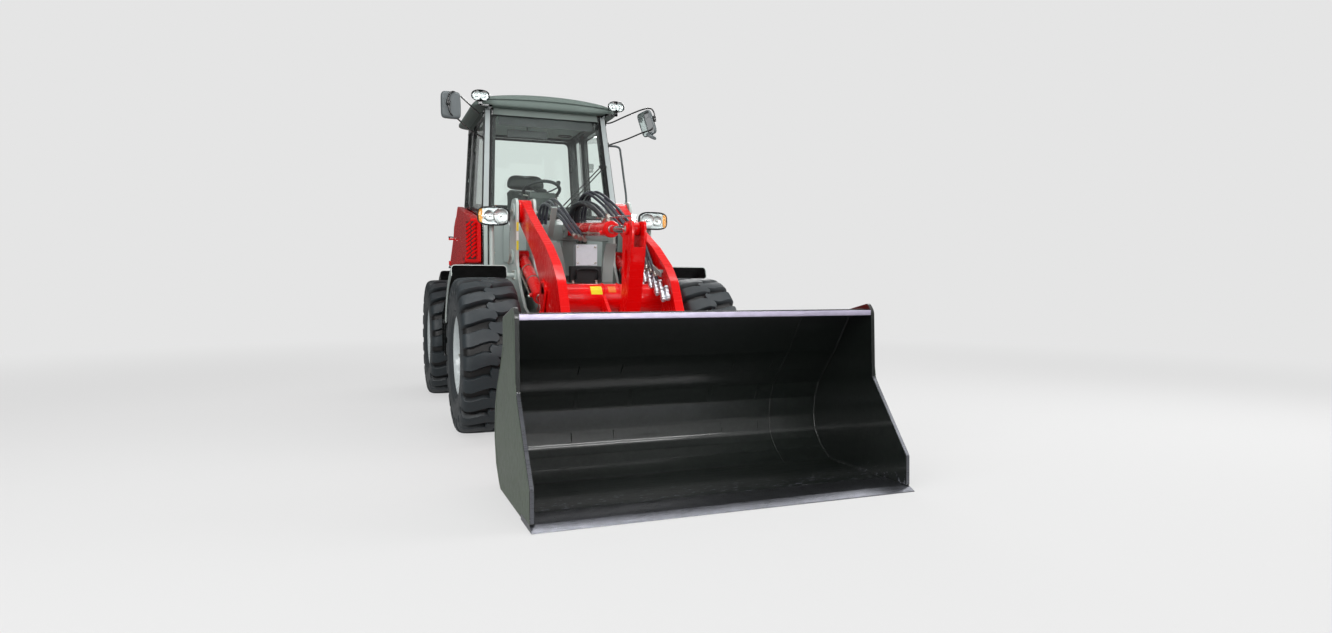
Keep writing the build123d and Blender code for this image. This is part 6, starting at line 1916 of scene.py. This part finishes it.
        shell = loft([ring(0.78, -0.019), ring(0.92, -0.016), ring(1.0, -0.004), ring(1.0, 0.016),
                      ring(0.98, 0.0195), ring(0.94, 0.0195), ring(0.93, 0.014)])
        glass = loft([ring(0.93, 0.013), ring(0.93, 0.0165), ring(0.9, 0.0175)])
        right_place = (np.array((-x, 0.61, z)), unit((1.0, 0.1, 0.0)), unit((-0.01, 0.0, 1.0)))
        left_place = (np.array((0.845, 0.64, z - 0.02)), unit((-0.42, 0.9, -0.2)), unit((-0.32, 0.06, 1.0)))
        shells, glasses = [], []
        for centre, across, up in (right_place, left_place):
            across = unit(across - up * np.dot(across, up))
            facing = np.cross(up, across)
            facing = facing if facing[1] > 0 or abs(facing[1]) < 0.5 and facing[0] < 0 else -facing
            for source, target in ((shell, shells), (glass, glasses)):
                local = source.points
                target.append(Patch(centre + local[:, :1] * across + local[:, 1:2] * facing + local[:, 2:]
                                    * up, source.faces))
        bar = [bar_loop([(0.545, 0.965, 2.509), (0.6, 0.93, 2.513), (0.7, 0.8, 2.555), (0.8, 0.655, 2.59),
                         (0.855, 0.585, 2.59), (0.885, 0.572, 2.55), (0.888, 0.572, 2.5),
                         (0.88, 0.574, 2.44), (0.86, 0.59, 2.405), (0.8, 0.655, 2.385), (0.7, 0.8, 2.345),
                         (0.6, 0.91, 2.315), (0.558, 0.925, 2.3)], 0.0065, 90)]
        clamps = [rod((0.888, 0.572, 2.475), (0.888, 0.572, 2.525), 0.015, 20),
                  rod((0.888, 0.57, 2.5), (0.885, 0.6, 2.5), 0.018, 20),
                  slab((0.549, 0.962, 2.509), (0.014, 0.034, 0.05)),
                  slab((0.56, 0.922, 2.3), (0.014, 0.034, 0.05))]
        small = lathe([(0, 0.03), (0.006, 0.048), (0.022, 0.05), (0.026, 0.046)], (0.878, 0.605, 2.365),
                      (-0.3, 0.45, -0.84), 28)
        small_glass = lathe([(0.0262, 0.045), (0.0275, 0.042)], (0.878, 0.605, 2.365), (-0.3, 0.45, -0.84),
                            28)
        make("mirrors_shown", REAR, [(SHELL, shells), (MIRROR, glasses)], crease=45, replaces=["mirrors"])
        make("mirror_arms", REAR, [(GLOSS, both(bar + clamps)), (SHELL, [small]), (MIRROR, [small_glass])],
             crease=45)

    def door(self) -> None:
        """Make the door's leaf, handle and lock."""
        round_off("left_door", GLOSS, 0.004, 2)
        handle = [slab((0.607, 0.905, 1.27), (0.012, 0.13, 0.034)),
                  slab((0.618, 0.9, 1.27), (0.01, 0.1, 0.02))]
        lock = lathe([(0, 0.012), (0.006, 0.012), (0.007, 0.009)], (0.606, 0.865, 1.245), (1, 0, 0), 20)
        inner = bar_loop([(0.556, 0.9, 1.33), (0.535, 0.92, 1.34), (0.53, 1.05, 1.35), (0.53, 1.35, 1.35),
                          (0.535, 1.48, 1.34), (0.556, 1.5, 1.33)], 0.012)
        make("door_handle", "left_door", [(TRIM, handle + [inner]), (ZINC, [lock])], bevel=0.002)

    def cover(self) -> None:
        """Make the right side cover: leaning outer skin with slanted louvres, deep rim and hinge knuckles."""
        outline = [(832, 1215), (832, 1594), (1999, 1803), (1999, 1215)]
        edge = rounded(outline, 26, 4)
        skin = prism(edge, -0.0035, 0.0)
        deep = 0.116
        rim = prism(edge, -0.003, deep, holes=[inset_ring(edge, 0.008)])
        line = tube(np.column_stack([np.full(50, -0.001),
                                     curve_through(
                        mm([(1960, 1235), (1975, 1250), (1978, 1400), (1978, 1780)]), 50)]), 0.004, 8)
        foot, head = np.array((-0.727, 0.833, 1.235)), np.array((-0.6475, 0.776, 1.235))
        along = unit(head - foot)
        out = unit(np.cross(along, (0, 0, 1)))
        out = out if out[1] < 0 else -out
        louvres, painted_shade_behind_louvres = [], []
        wall = np.linalg.norm(head - foot)
        # Painted shade: a black sheet behind the louvres stands for the dark gaps between them.
        painted_shade_behind_louvres.append(slab((foot + head) / 2 + out * 0.0004 + (0, 0, 0.172), (wall - 0.012, 0.002, 0.318),
                         along, (0, 0, 1)))
        for row in range(9):
            for start in (0.01, 0.058):
                low_end = foot + along * start + (0, 0, 0.034 * row + 0.022)
                high_end = low_end + along * 0.038 + (0, 0, 0.03)
                mid, run = (low_end + high_end) / 2, high_end - low_end
                louvres.append(slab(mid + out * 0.004, (np.linalg.norm(run), 0.007, 0.019), run,
                                    np.cross(run, out)))

        def lean(patch: Patch) -> Patch:
            """Lay a patch with X as depth on the leaning side, its outer face on the skin and its inner
            upright."""
            points = patch.points.copy()
            depth = np.clip(points[:, 0] / deep, 0, 1)
            outer = -0.733 + (points[:, 2] - 1.215) * (0.085 / 0.615)
            points[:, 0] = outer * (1 - depth) - 0.608 * depth + np.minimum(points[:, 0], 0)
            points[:, 1] -= 0.058 * depth * np.clip(1 - (points[:, 1] - 0.832) / 0.1, 0, 1)
            return Patch(points, patch.faces, patch.tone)

        make("side_cover_shown", "side_cover", [(RED, [lean(p) for p in (skin, rim, line)] + louvres),
                                                (SHEET, painted_shade_behind_louvres)], bevel=0.0012, crease=35,
             replaces=["side_cover"])
        axis = JOINTS["cover_hinge"]["pos_m"]
        knuckles = [rod((axis[0], axis[1], low), (axis[0], axis[1], high), 0.009, 20) for low,
                    high in ((1.225, 1.265), (1.47, 1.49))]
        arms = [slab((-0.716, 1.992, 1.48), (0.045, 0.014, 0.018))]
        latch = [lathe([(0, 0.014), (0.003, 0.014), (0.005, 0.01)], (-0.7315, 0.92, 1.25), (-1, 0, 0), 24)]
        make("side_cover_fittings", "side_cover", [(RED, knuckles + arms), (TRIM, latch)], bevel=0.001)

    def build(self) -> None:
        """Make every part of the cab's outside."""
        self.shell()
        self.glazing()
        self.roof()
        self.lamps()
        self.mirrors()
        self.door()
        self.cover()


# ---------------------------------------------------------------- inside the cab
@dataclass
class Interior:
    """The seat, steering column, console, floor mat and levers."""

    voxel: float = 0.006
    quick_voxel: float = 0.02
    cap: float = 0.024
    pressure: float = 4.0
    frames: int = 20

    def puffed(self, name: str, start: Patch, finish: Finish) -> bpy.types.Object:
        """Swell a closed start shape into a stuffed cushion.

        The start shape is remeshed in even voxels, blown up as cloth by an inner pressure for twenty frames,
        and each point's movement is cut to the cap, so that the crown rises and the edges stay.

        Args:
            name: the piece's name.
            start: a closed shape a little smaller than the cushion.
            finish: its cover.

        Returns:
            The cushion, not yet given to a body.
        """
        mesh = bpy.data.meshes.new(name)
        mesh.from_pydata(start.points.tolist(), [], start.faces)
        piece = bpy.data.objects.new(name, mesh)
        bpy.context.scene.collection.objects.link(piece)
        even = piece.modifiers.new("even", "REMESH")
        even.mode = "VOXEL"
        even.voxel_size = self.voxel
        graph = bpy.context.evaluated_depsgraph_get()
        fresh = bpy.data.meshes.new_from_object(piece.evaluated_get(graph))
        piece.modifiers.clear()
        piece.data = fresh
        bpy.data.meshes.remove(mesh)
        rest = np.empty(len(fresh.vertices) * 3)
        fresh.vertices.foreach_get("co", rest)
        cloth = piece.modifiers.new("cloth", "CLOTH")
        cloth.settings.use_pressure = True
        cloth.settings.uniform_pressure_force = self.pressure
        cloth.settings.effector_weights.gravity = 0.0
        cloth.settings.quality = 5
        for number in range(1, self.frames + 1):
            bpy.context.scene.frame_set(number)
        blown = np.empty_like(rest)
        piece.evaluated_get(bpy.context.evaluated_depsgraph_get()).data.vertices.foreach_get("co", blown)
        piece.modifiers.clear()
        bpy.context.scene.frame_set(1)
        rest, step = rest.reshape(-1, 3), (blown - rest).reshape(-1, 3)
        length = np.linalg.norm(step, axis=1)[:, None]
        fresh.vertices.foreach_set("co",
                                   (rest + step * np.minimum(1, self.cap / np.maximum(
                        length, 1e-6))).ravel())
        fresh.materials.append(finish.material())
        fresh.shade_smooth()
        soft = piece.modifiers.new("soft", "SUBSURF")
        soft.levels = soft.render_levels = 1
        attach(piece, "rear_chassis")
        LOG.info("%s: cushion of %d points", name, len(fresh.vertices))
        return piece

    def piping(self, piece: bpy.types.Object, axis: int, radius: float = 0.0035) -> Patch:
        """Return the piping round a cushion: a cord through its outermost point in each direction.

        Args:
            piece: the cushion.
            axis: the axis that the cord goes round.
            radius: the cord's radius.

        Returns:
            The cord as a closed tube.
        """
        points = np.empty(len(piece.data.vertices) * 3)
        piece.data.vertices.foreach_get("co", points)
        points = points.reshape(-1, 3)
        centre = points.mean(0)
        across = [k for k in range(3) if k != axis]
        flat = points[:, across] - centre[across]
        sectors = 72
        sector = ((np.arctan2(flat[:, 1], flat[:, 0]) / (2 * pi) + 0.5) * sectors).astype(int) % sectors
        reach = np.linalg.norm(flat, axis=1)
        path = np.array([points[sector == k][np.argmax(reach[sector == k])] for k in range(sectors)
                         if (sector == k).any()])
        for _ in range(3):
            path = (np.roll(path, 1, 0) + 2 * path + np.roll(path, -1, 0)) / 4
        return tube(curve_through(path, 180, closed=True), radius, 8, closed=True)

    def seat(self) -> None:
        """Make the seat: cushions, piping, bellows, rails, arm rests and belt."""
        base = loft([(1.424, oval((0, 1.6), 0.4, 0.4, 4, 40)),
                     (1.436, oval((0, 1.6), 0.445, 0.44, 4.5, 40)),
                     (1.468, oval((0, 1.602), 0.45, 0.445, 4.5, 40)),
                     (1.486, oval((0, 1.605), 0.42, 0.41, 4, 40))], Axis.Z)
        low = loft([(0.0, oval((0, 0), 0.36, 0.05, 3, 40)), (0.03, oval((0, 0), 0.42, 0.062, 4, 40)),
                    (0.22, oval((0, 0), 0.43, 0.066, 4, 40)), (0.455, oval((0, 0), 0.4, 0.06, 4, 40)),
                    (0.49, oval((0, 0), 0.34, 0.045, 3, 40))], Axis.Z)
        back = low.placed((0, 1.835, 1.5), (1, 0, 0), (0, 0.13, 0.99))
        head = loft([(0.0, oval((0, 0), 0.3, 0.06, 3, 40)), (0.02, oval((0, 0), 0.37, 0.075, 3.5, 40)),
                     (0.07, oval((0, 0), 0.365, 0.078, 3.5, 40)), (0.115, oval((0, 0), 0.33, 0.07, 3, 40)),
                     (0.14, oval((0, 0), 0.25, 0.045, 3, 40))], Axis.Z).placed((0, 1.897, 1.985), (1, 0, 0),
                                                                               (0, 0.13, 0.99))
        cushion = self.puffed("seat_cushion", base, SEAT)
        rest = self.puffed("seat_back", back, SEAT)
        pillow = self.puffed("seat_head", head, VINYL)
        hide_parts("operator_seat")
        make("seat_piping", REAR,
             [(VINYL, [self.piping(cushion, 2), self.piping(rest, 1), self.piping(pillow, 1)])], crease=60)
        levels = [(1.045 + 0.022 * k, round_corners(rectangle(-w, 1.62 - w, w, 1.62 + w), 0.04, 4))
                  for k in range(15) for w in ((0.14 if k % 2 else 0.118),)]
        pan = prism(rounded([(1400, 1385), (1790, 1385), (1840, 1420), (1860, 1500), (1830, 1500),
                             (1800, 1432), (1400, 1412)], 12, 3), -0.2, 0.2)
        shell = prism(rounded([(1868, 1500), (1884, 1500), (1950, 1950), (1934, 1950)], 6, 2), -0.17, 0.17)
        stems = [rod((x, 1.918, 1.93), (x, 1.925, 2.02), 0.006, 10) for x in (-0.06, 0.06)]
        rests = []
        for x in (-0.262, 0.262):
            rests.append(prism(rounded([(1470, 1655), (1790, 1655), (1790, 1700), (1480, 1700)], 18, 4),
                               x - 0.028, x + 0.028))
            rests.append(prism(rounded([(1770, 1560), (1850, 1560), (1830, 1680), (1770, 1670)], 12, 3),
                               x - 0.012, x + 0.012))
        belt = bar_loop([(-0.245, 1.8, 1.5), (-0.2, 1.7, 1.52), (0.0, 1.64, 1.532),
                         (0.2, 1.7, 1.52), (0.245, 1.8, 1.5)], 0.018, 40)
        make("seat_frame", REAR, [(TRIM, [loft(levels, Axis.Z), pan, shell, belt, *rests]), (ZINC, stems)],
             bevel=0.004)

    def column(self) -> None:
        """Make the steering column, its wheel, the instrument pod and the stalks."""
        body = prism(rounded([(796, 1036), (990, 1036), (1240, 1780), (1130, 1828), (860, 1500)], 40, 5),
                     -0.085, 0.085)
        hub, normal = np.array((0.035, 1.31, 1.9)), unit((0, 0.42, 0.91))
        _, across, up = basis(normal)
        turn = np.linspace(0, 2 * pi, 72, endpoint=False)
        ring = hub + normal * 0.012 + 0.1675 * (np.cos(turn)[:, None] * across + np.sin(turn)[:, None] * up)
        wheel = [tube(ring, 0.0155, 14, closed=True)]
        for angle in (0.5, pi - 0.5, -pi / 2):
            heading = np.cos(angle) * across + np.sin(angle) * up
            wheel.append(tube(curve_through([hub - normal * 0.02 + heading * 0.03, hub - normal * 0.012
                                             + heading * 0.09, hub + normal * 0.01 + heading * 0.165], 20),
                              0.011, 10, flatten=0.6))
        wheel.append(lathe([(-0.13, 0.03), (-0.03, 0.034), (-0.022, 0.046), (0.004, 0.048), (0.012, 0.04),
                            (0.014, 0.012)], hub, normal, 32))
        knob = [lathe([(0, 0.01), (0.018, 0.014), (0.04, 0.022), (0.052, 0.02), (0.058, 0.01)],
                      ring[30], normal, 20)]
        pod = [prism(rounded([(1120, 1815), (1250, 1775), (1262, 1800), (1180, 1878), (1125, 1872)], 14, 4),
                     -0.115, 0.115)]
        face = [slab((0, 1.222, 1.842), (0.19, 0.004, 0.07), (1, 0, 0), (0, -0.62, 0.78))]
        dials = [lathe([(0, 0.026), (0.005, 0.026), (0.006, 0.021), (0.003, 0.02)], (x, 1.226, 1.845),
                       (0, 0.78, 0.62), 24) for x in (-0.055, 0.0, 0.055)]
        stalks = both([rod((0.03, 1.26, 1.84), (0.155, 1.275, 1.862), 0.006, 10)])
        grips = both([rod((0.15, 1.274, 1.861), (0.185, 1.278, 1.866), 0.01, 12)])
        pedals = [slab((x, 0.92, 1.12), (0.085, 0.13, 0.016), (1, 0, 0), (0, -0.7, 0.7))
                  for x in (-0.22, 0.2)]
        make("steering_column_shown", REAR,
             [(DASH, [body, *pod]), (TRIM, wheel + knob + face + grips + pedals), (ZINC, stalks),
              (CHROME, dials)], bevel=0.005, replaces=["steering_column"])

    def console(self) -> None:
        """Make the side console with its arm rest, joystick, switches, and the floor with a ribbed mat."""
        body = prism(rounded([(1252, 1036), (1898, 1036), (1898, 1600), (1500, 1618), (1290, 1560),
                              (1252, 1480)], 40, 5), -0.495, -0.285)
        pad = prism(rounded([(1480, 1612), (1890, 1600), (1890, 1655), (1500, 1668)], 20, 4), -0.47, -0.31)
        boot = lathe([(1.595 + 0.012 * k, 0.05 - 0.006 * k + (0.006 if k % 2 else 0)) for k in range(5)],
                     (-0.39, 1.33, 0), (0, 0, 1), 28)
        stick = lathe([(1.64, 0.01), (1.68, 0.012), (1.69, 0.02), (1.72, 0.0215), (1.745, 0.019),
                       (1.757, 0.012)], (-0.39, 1.33, 0), (0, 0, 1), 24)
        keys = [slab((-0.335 - 0.028 * i, 1.415 + 0.03 * j, 1.611), (0.02, 0.022, 0.016)) for i in range(4)
                for j in range(2)]
        button = [rod((-0.39, 1.33, 1.752), (-0.39, 1.33, 1.7605), 0.007, 12)]
        make("side_console_shown", REAR, [(DASH, [body]), (TRIM, [pad, boot, stick, *keys]),
                                          (ORANGE, button)], bevel=0.005, replaces=["side_console"])
        round_off("cab_floor", GREY, 0.003)
        ribs = [box((-0.49 + 0.04 * i, 0.83, 1.0355), (-0.472 + 0.04 * i, 1.36, 1.0415)) for i in range(24)]
        make("floor_mat", REAR, [(SHEET, [box((-0.5, 0.82, 1.0352), (0.5, 1.37, 1.0385)), *ribs])],
             bevel=0.0008)

    def build(self) -> None:
        """Make everything inside the cab."""
        self.seat()
        self.column()
        self.console()


# ---------------------------------------------------------------- rear of the machine
@dataclass
class RearEnd:
    """The rear: hood with grille and exhaust, radiator, engine, counterweight, lamps, frame and steps."""

    def hood(self) -> None:
        """Make the hood, one skin with rounded shoulders, with grille blades, hinges and latches."""
        profile = rounded([(2056, 1165), (2056, 1800), (2600, 1775), (2780, 1680), (2840, 1550),
                           (2840, 1175)], 70, 6, sharp=(0, 5))[6:-6]
        ahead = np.gradient(profile, axis=0)
        inward = np.stack([ahead[:, 1], -ahead[:, 0]], -1) / np.linalg.norm(ahead, axis=1)[:, None]
        reach, half = 0.055, 0.61
        turn = np.linspace(0, pi / 2, 7)
        x, depth = -half + reach * (1 - np.cos(turn)), reach * (1 - np.sin(turn))
        flat = profile[:, None] + inward[:, None] * depth[None, :, None]
        corner = np.concatenate([np.broadcast_to(x[None, :, None], (*flat.shape[:2], 1)), flat], -1)
        edge = grid(corner)
        centre_rows = corner[:, -1][1:]
        top = grid(np.stack([centre_rows, centre_rows * (-1, 1, 1)], 1))
        rim = corner[:, 0]
        side = Patch(rim, [list(range(len(rim)))])
        make("hood_shown", "engine_hood", [(RED, [edge, edge.mirrored(), top, side, side.mirrored()])],
             crease=50, thickness=0.006, replaces=["engine_hood"])
        frame_ring = prism(rounded(rectangle(-470, 1210, 470, 1520), 40, 5), 2.838, 2.85, Axis.Y,
                           holes=[rounded(rectangle(-440, 1240, 440, 1490), 24, 5)])
        # Painted shade: a black rubber sheet behind the grille blades stands for the dark inside of the
        # grille.
        back = prism(rounded(rectangle(-445, 1235, 445, 1495), 20, 3), 2.8415, 2.8435, Axis.Y)
        blades = [slab((0, 2.8465, 1.256 + 0.0195 * i), (0.878, 0.014, 0.0035), (1, 0, 0), (0, 0.55, 0.83))
                  for i in range(12)]
        fins = [slab((0.6115, 2.24 + 0.034 * i, 1.42), (0.17, 0.02, 0.004), (0, 0.12, 1), (1, 0.6, 0))
                for i in range(11)]
        # Painted shade: black sheets behind the side fins stand for the dark inside of the vents.
        pads = prism(rounded(rectangle(2205, 1325, 2610, 1515), 18, 3), 0.6095, 0.6112)
        hinge = JOINTS["hood_hinge"]["pos_m"]
        knuckles = both([boss(hinge[1:], 0.38, 0.42, 0.01),
                         slab((0.4, 2.048, hinge[2]), (0.04, 0.016, 0.016))])
        latch = [slab((0, 2.846, 1.585), (0.1, 0.016, 0.034)), slab((0, 2.856, 1.585), (0.06, 0.01, 0.018))]
        make("hood_fittings", "engine_hood", [(RED, [frame_ring]), (SHEET, [back, *both([pads])]),
                                              (TRIM, [*blades, *both(fins), *latch]), (GLOSS, knuckles)],
             bevel=0.001)
        x, y = 0.43, 2.48
        pipe = lathe([(1.77, 0.06), (1.784, 0.06), (1.79, 0.043), (1.8, 0.0415), (1.925, 0.0415),
                      (1.932, 0.034), (1.985, 0.0315), (1.989, 0.0315), (1.989, 0.028), (1.93, 0.028)],
                     (x, y, 0), (0, 0, 1), 40, closed=True)
        holes = [rod((x + 0.0405 * np.cos(a), y + 0.0405 * np.sin(a), z),
                     (x + 0.0425 * np.cos(a), y + 0.0425 * np.sin(a), z), 0.005, 8)
                 for z in (1.83, 1.86, 1.89) for a in np.arange(12) * pi / 6]
        make("exhaust_shown", "engine_hood", [(HOT, [pipe]), (TRIM, holes)], crease=40,
             replaces=["exhaust_stack"])

    def drive(self) -> None:
        """Make the engine with its cover, filters, pipes and fan, and the radiator with its fins."""
        parts = [box((-0.2, 2.14, 0.86), (0.2, 2.56, 1.24)), box((-0.225, 2.16, 0.7), (0.225, 2.54, 0.87)),
                 box((-0.15, 2.15, 1.24), (0.06, 2.545, 1.33)),
                 box((-0.178, 2.275, 0.642), (0.178, 2.475, 0.705)),
                 box((0.08, 2.2, 1.2), (0.225, 2.52, 1.29))]
        parts += both([box((0.196, 2.17 + 0.09 * i, 0.9), (0.215, 2.21 + 0.09 * i, 1.19)) for i in range(4)])
        filters = [lathe([(0, 0.03), (0.004, 0.045), (0.12, 0.045), (0.135, 0.035)], (-0.225, 2.3, 0.8),
                         (-0.6, 0, -0.8), 28)]
        cleaner = [lathe([(0, 0.05), (0.01, 0.09), (0.3, 0.09), (0.31, 0.085), (0.315, 0.06)],
                         (-0.1, 2.2, 1.375), (0, 1, 0), 36)]
        pipes = [bar_loop([(0.15, 2.24, 1.29), (0.15, 2.24, 1.36), (0.22, 2.3, 1.4), (0.3, 2.4, 1.4),
                           (0.4, 2.47, 1.43), (0.43, 2.48, 1.55), (0.43, 2.48, 1.74)], 0.024)]
        turn = np.arange(7) * 2 * pi / 7
        fan = [slab((0.13 * np.cos(a), 2.625, 1.16 + 0.13 * np.sin(a)), (0.16, 0.01, 0.07),
                    (np.cos(a), 0.0, np.sin(a)), (-np.sin(a) * 0.8, 0.6, np.cos(a) * 0.8)) for a in turn]
        fan.append(rod((0, 2.555, 1.16), (0, 2.645, 1.16), 0.05, 28))
        heads = bolts([(-0.12 + 0.05 * i, 2.16 + 0.36 * j, 1.33) for i in range(4) for j in range(2)],
                      (0, 0, 1), 0.008, washer=False)
        make("engine_shown", REAR, [(IRON, parts), (TRIM, fan + cleaner), (HOT, pipes), (WHITE, filters),
                                    (ZINC, heads)], bevel=0.006, replaces=["engine_block"])
        tanks = [box((-0.48, 2.662, 1.56), (0.48, 2.748, 1.64)),
                 box((-0.48, 2.662, 1.17), (0.48, 2.748, 1.23)),
                 box((-0.3, 2.61, 0.962), (0.3, 2.66, 1.01))]
        tanks += both([box((0.455, 2.664, 1.229), (0.48, 2.746, 1.561)),
                       box((0.24, 2.61, 0.98), (0.28, 2.662, 1.3))])
        cap = lathe([(0, 0.022), (0.014, 0.022), (0.016, 0.03), (0.026, 0.03), (0.03, 0.02)],
                    (0.3, 2.705, 1.638), (0, 0, 1), 24)
        fins = [box((-0.455, 2.68, 1.232 + 0.0082 * i), (0.455, 2.73, 1.2336 + 0.0082 * i))
                for i in range(40)]
        tubes = [box((-0.45 + 0.045 * i, 2.676, 1.23), (-0.444 + 0.045 * i, 2.734, 1.56))
                 for i in range(21)]
        make("radiator_shown", REAR, [(TRIM, tanks), (ALLOY, fins + tubes), (ZINC, [cap])], bevel=0.0,
             replaces=["radiator"])

    def frame_parts(self) -> None:
        """Make the counterweight, its lamps, the rear frame and the steps."""
        round_off("counterweight", GREY, 0.01, 3)
        round_off("rear_frame", GREY, 0.003)
        lens = mm([(2868, 1142), (2868, 1222), (2885, 1222), (2885, 1128)])
        shell = mm([(2850, 1155), (2850, 1225), (2870, 1225), (2870, 1139)])
        red, amber, clear = prism(lens, 0.484, 0.538), prism(lens, 0.539, 0.573), prism(lens, 0.574, 0.596)
        make("tail_lights_shown", REAR, [(TRIM, both([prism(shell, 0.48, 0.6)])), (RUBY, both([red])),
                                         (AMBER, both([amber])), (WHITE, both([clear]))], bevel=0.003,
             replaces=["tail_lights"])
        slotted = []
        for z in (0.42, 0.7):
            holes = [slot_hole(mm((975 + 52 * j, 665 + 52 * i)), mm((975 + 52 * j, 690 + 52 * i)), 0.012)
                     for i in range(4) for j in range(3)]
            slotted.append(prism(rounded(rectangle(932, 622, 1118, 898), 10, 3), z + 0.022, z + 0.03,
                                 Axis.Z, holes=holes))
            slotted.append(prism(rounded(rectangle(932, 622, 1118, 898), 10, 3), z, z + 0.024, Axis.Z,
                                 holes=[rounded(rectangle(940, 630, 1110, 890), 8, 3)]))
            slotted += [rod((x, y, z + 0.029), (x, y, z + 0.033), 0.005, 8)
                        for x in 0.672 + 0.052 * np.arange(4) for y in 0.955 + 0.052 * np.arange(3)]
        cheeks = []
        for y in (0.93, 1.112):
            outline = rounded([(620, 420), (900, 420), (900, 760), (860, 960), (620, 960)], 30, 4)
            window = rounded(rectangle(670, 480, 850, 670), 20, 4)
            upper = rounded([(670, 760), (840, 760), (815, 900), (670, 900)], 20, 4)
            cheeks.append(prism(outline, y, y + 0.008, Axis.Y, holes=[window, upper]))
        arm = box((0.321, 0.936, 0.902), (0.64, 1.108, 0.957))
        heads = bolts([(x, 0.93, 0.93) for x in (0.64, 0.8)], (0, -1, 0), 0.01)
        make("steps_shown", REAR, [(GLOSS, both(slotted + cheeks + [arm])), (ZINC, both(heads))],
             bevel=0.0012, replaces=["cab_steps"])
        heads = bolts([(0.3205, y, z) for y in (0.86, 1.0, 1.3, 2.3, 2.44, 2.58) for z in (0.66, 0.9)],
                      (1, 0, 0), 0.014)
        make("rear_details", REAR, [(ZINC, both(heads))])

    def build(self) -> None:
        """Make every part of the rear."""
        self.hood()
        self.drive()
        self.frame_parts()


# ---------------------------------------------------------------- hoses
@dataclass
class Hose:
    """A hydraulic hose held at both ends, with crimped end fittings, whose tube rides on no body where it
    crosses a joint.

    It starts on the first body and ends on the second, or on the third if it crosses two joints.
    """

    name: str
    points: tuple
    radius: float
    finish: Finish
    first: str
    second: str = ""
    sleeve: bool = False
    third: str = ""
    count: int = 90

    def build(self) -> None:
        """Make the hose and its two fittings, cut in two where it crosses two joints."""
        path = curve_through(self.points, self.count)
        radius = np.full(self.count, self.radius)
        if self.sleeve:
            step = np.arange(self.count)
            radius *= 1 + 0.06 * np.sin(step * 1.9) * np.sin(step * 0.7)
        body = tube(path, radius, 12)
        crimp = [(0, self.radius * 1.18), (0.004, self.radius * 1.28), (0.03, self.radius * 1.28),
                 (0.034, self.radius * 0.9), (0.04, self.radius * 0.9)]
        nut = [(0.036, self.radius * 1.35), (0.05, self.radius * 1.35)]
        ends = []
        for place, heading in ((path[3], path[0] - path[3]), (path[-4], path[-1] - path[-4])):
            ends.append(lathe(crimp, place, heading, 16))
            ends.append(lathe(nut, place, heading, 6))
        bend = (self.first, self.second, tuple(path[28]), tuple(path[62])) if self.second else None
        if self.third:
            # The near part is given steps 16 and 44 as its bend places, the far part 58 and 76; they overlap
            # at 55.
            bend = (self.first, self.second, tuple(path[16]), tuple(path[44]))
            far = (self.second, self.third, tuple(path[58]), tuple(path[76]))
            far_tube = tube(path[54:], radius[54:], 12)
            make(f"{self.name}_far", self.second, [(self.finish, [far_tube])], crease=80, bend=far)
            body = tube(path[:56], radius[:56], 12)
        make(self.name, self.first, [(self.finish, [body])], crease=80, bend=bend)
        last = self.third or self.second or self.first
        for piece, owner, patches in ((f"{self.name}_start", self.first, ends[:2]),
                                      (f"{self.name}_end", last, ends[2:])):
            make(piece, owner, [(ZINC, patches)], crease=40)


def hoses() -> None:
    """Run the hoses: to the tilt cylinder, to the left arm's couplings, across the steering pivot and along
    the arms."""
    for i in range(2):
        x = 0.024 + 0.04 * i
        Hose(f"tilt_hose_{i}", ((x, 0.2, 1.4), (x, 0.13, 1.62), (x, -0.13, 1.655), (x, -0.42, 1.6),
                                (x * 0.8, -0.66, 1.52), (x * 0.5, -0.8, 1.468)), 0.019, SLEEVE, FRONT,
             "tilt_barrel", True).build()
    for i in range(4):
        x, z = 0.075 + 0.026 * i, 0.014 * (i % 2)
        Hose(f"arm_hose_{i}", ((x, 0.2, 1.3 + z), (x, 0.22, 1.6 + z), (x + 0.02, 0.02, 1.745 + z),
                               (x + 0.07, -0.28, 1.64 + z), (x + 0.14, -0.5, 1.47 + z),
                               (0.325, -0.66 - 0.02 * i, 1.3 + 0.01 * i),
                               (0.318, -0.72 - 0.1 * i, 1.16 - 0.036 * i)), 0.0105, HOSE, FRONT,
             "loader_arms").build()
    for i in range(3):
        x = -0.135 + 0.034 * i
        Hose(f"pivot_hose_{i}", ((x, 0.84, 1.05), (x, 0.76, 1.42), (x + 0.01, 0.66, 1.66 + 0.02 * i),
                                 (x + 0.01, 0.46, 1.7 + 0.02 * i), (x, 0.15, 1.63 + 0.015 * i),
                                 (x, -0.15, 1.53), (x + 0.005, -0.36, 1.435),
                                 (x + 0.015, -0.5, 1.375 - 0.01 * i)), 0.0125, HOSE, REAR, FRONT,
             third="tilt_barrel").build()
    for side in (1, -1):
        Hose(f"lift_hose_{'left' if side > 0 else 'right'}",
             ((side * 0.34, 0.2, 0.95), (side * 0.35, 0.1, 1.0), (side * 0.365, 0.02, 1.1),
              (side * 0.372, 0.06, 1.16)), 0.01, HOSE, FRONT).build()


def main() -> None:
    """Build the stage, then the machine from the ground up."""
    logging.basicConfig(level=logging.INFO, format="%(name)s %(message)s")
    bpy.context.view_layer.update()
    Stage().build()
    for corner in ("front_left", "front_right", "rear_left", "rear_right"):
        Wheel(corner).build()
    axle("front_axle", FRONT)
    axle("rear_axle", REAR)
    FrontFrame().build()
    Arms().build()
    TiltLever().build()
    cylinders()
    Bucket().build()
    round_off("quick_coupler", RED, 0.003)
    Cab().build()
    Interior().build()
    RearEnd().build()
    hoses()


if __name__ == "__main__":
    main()
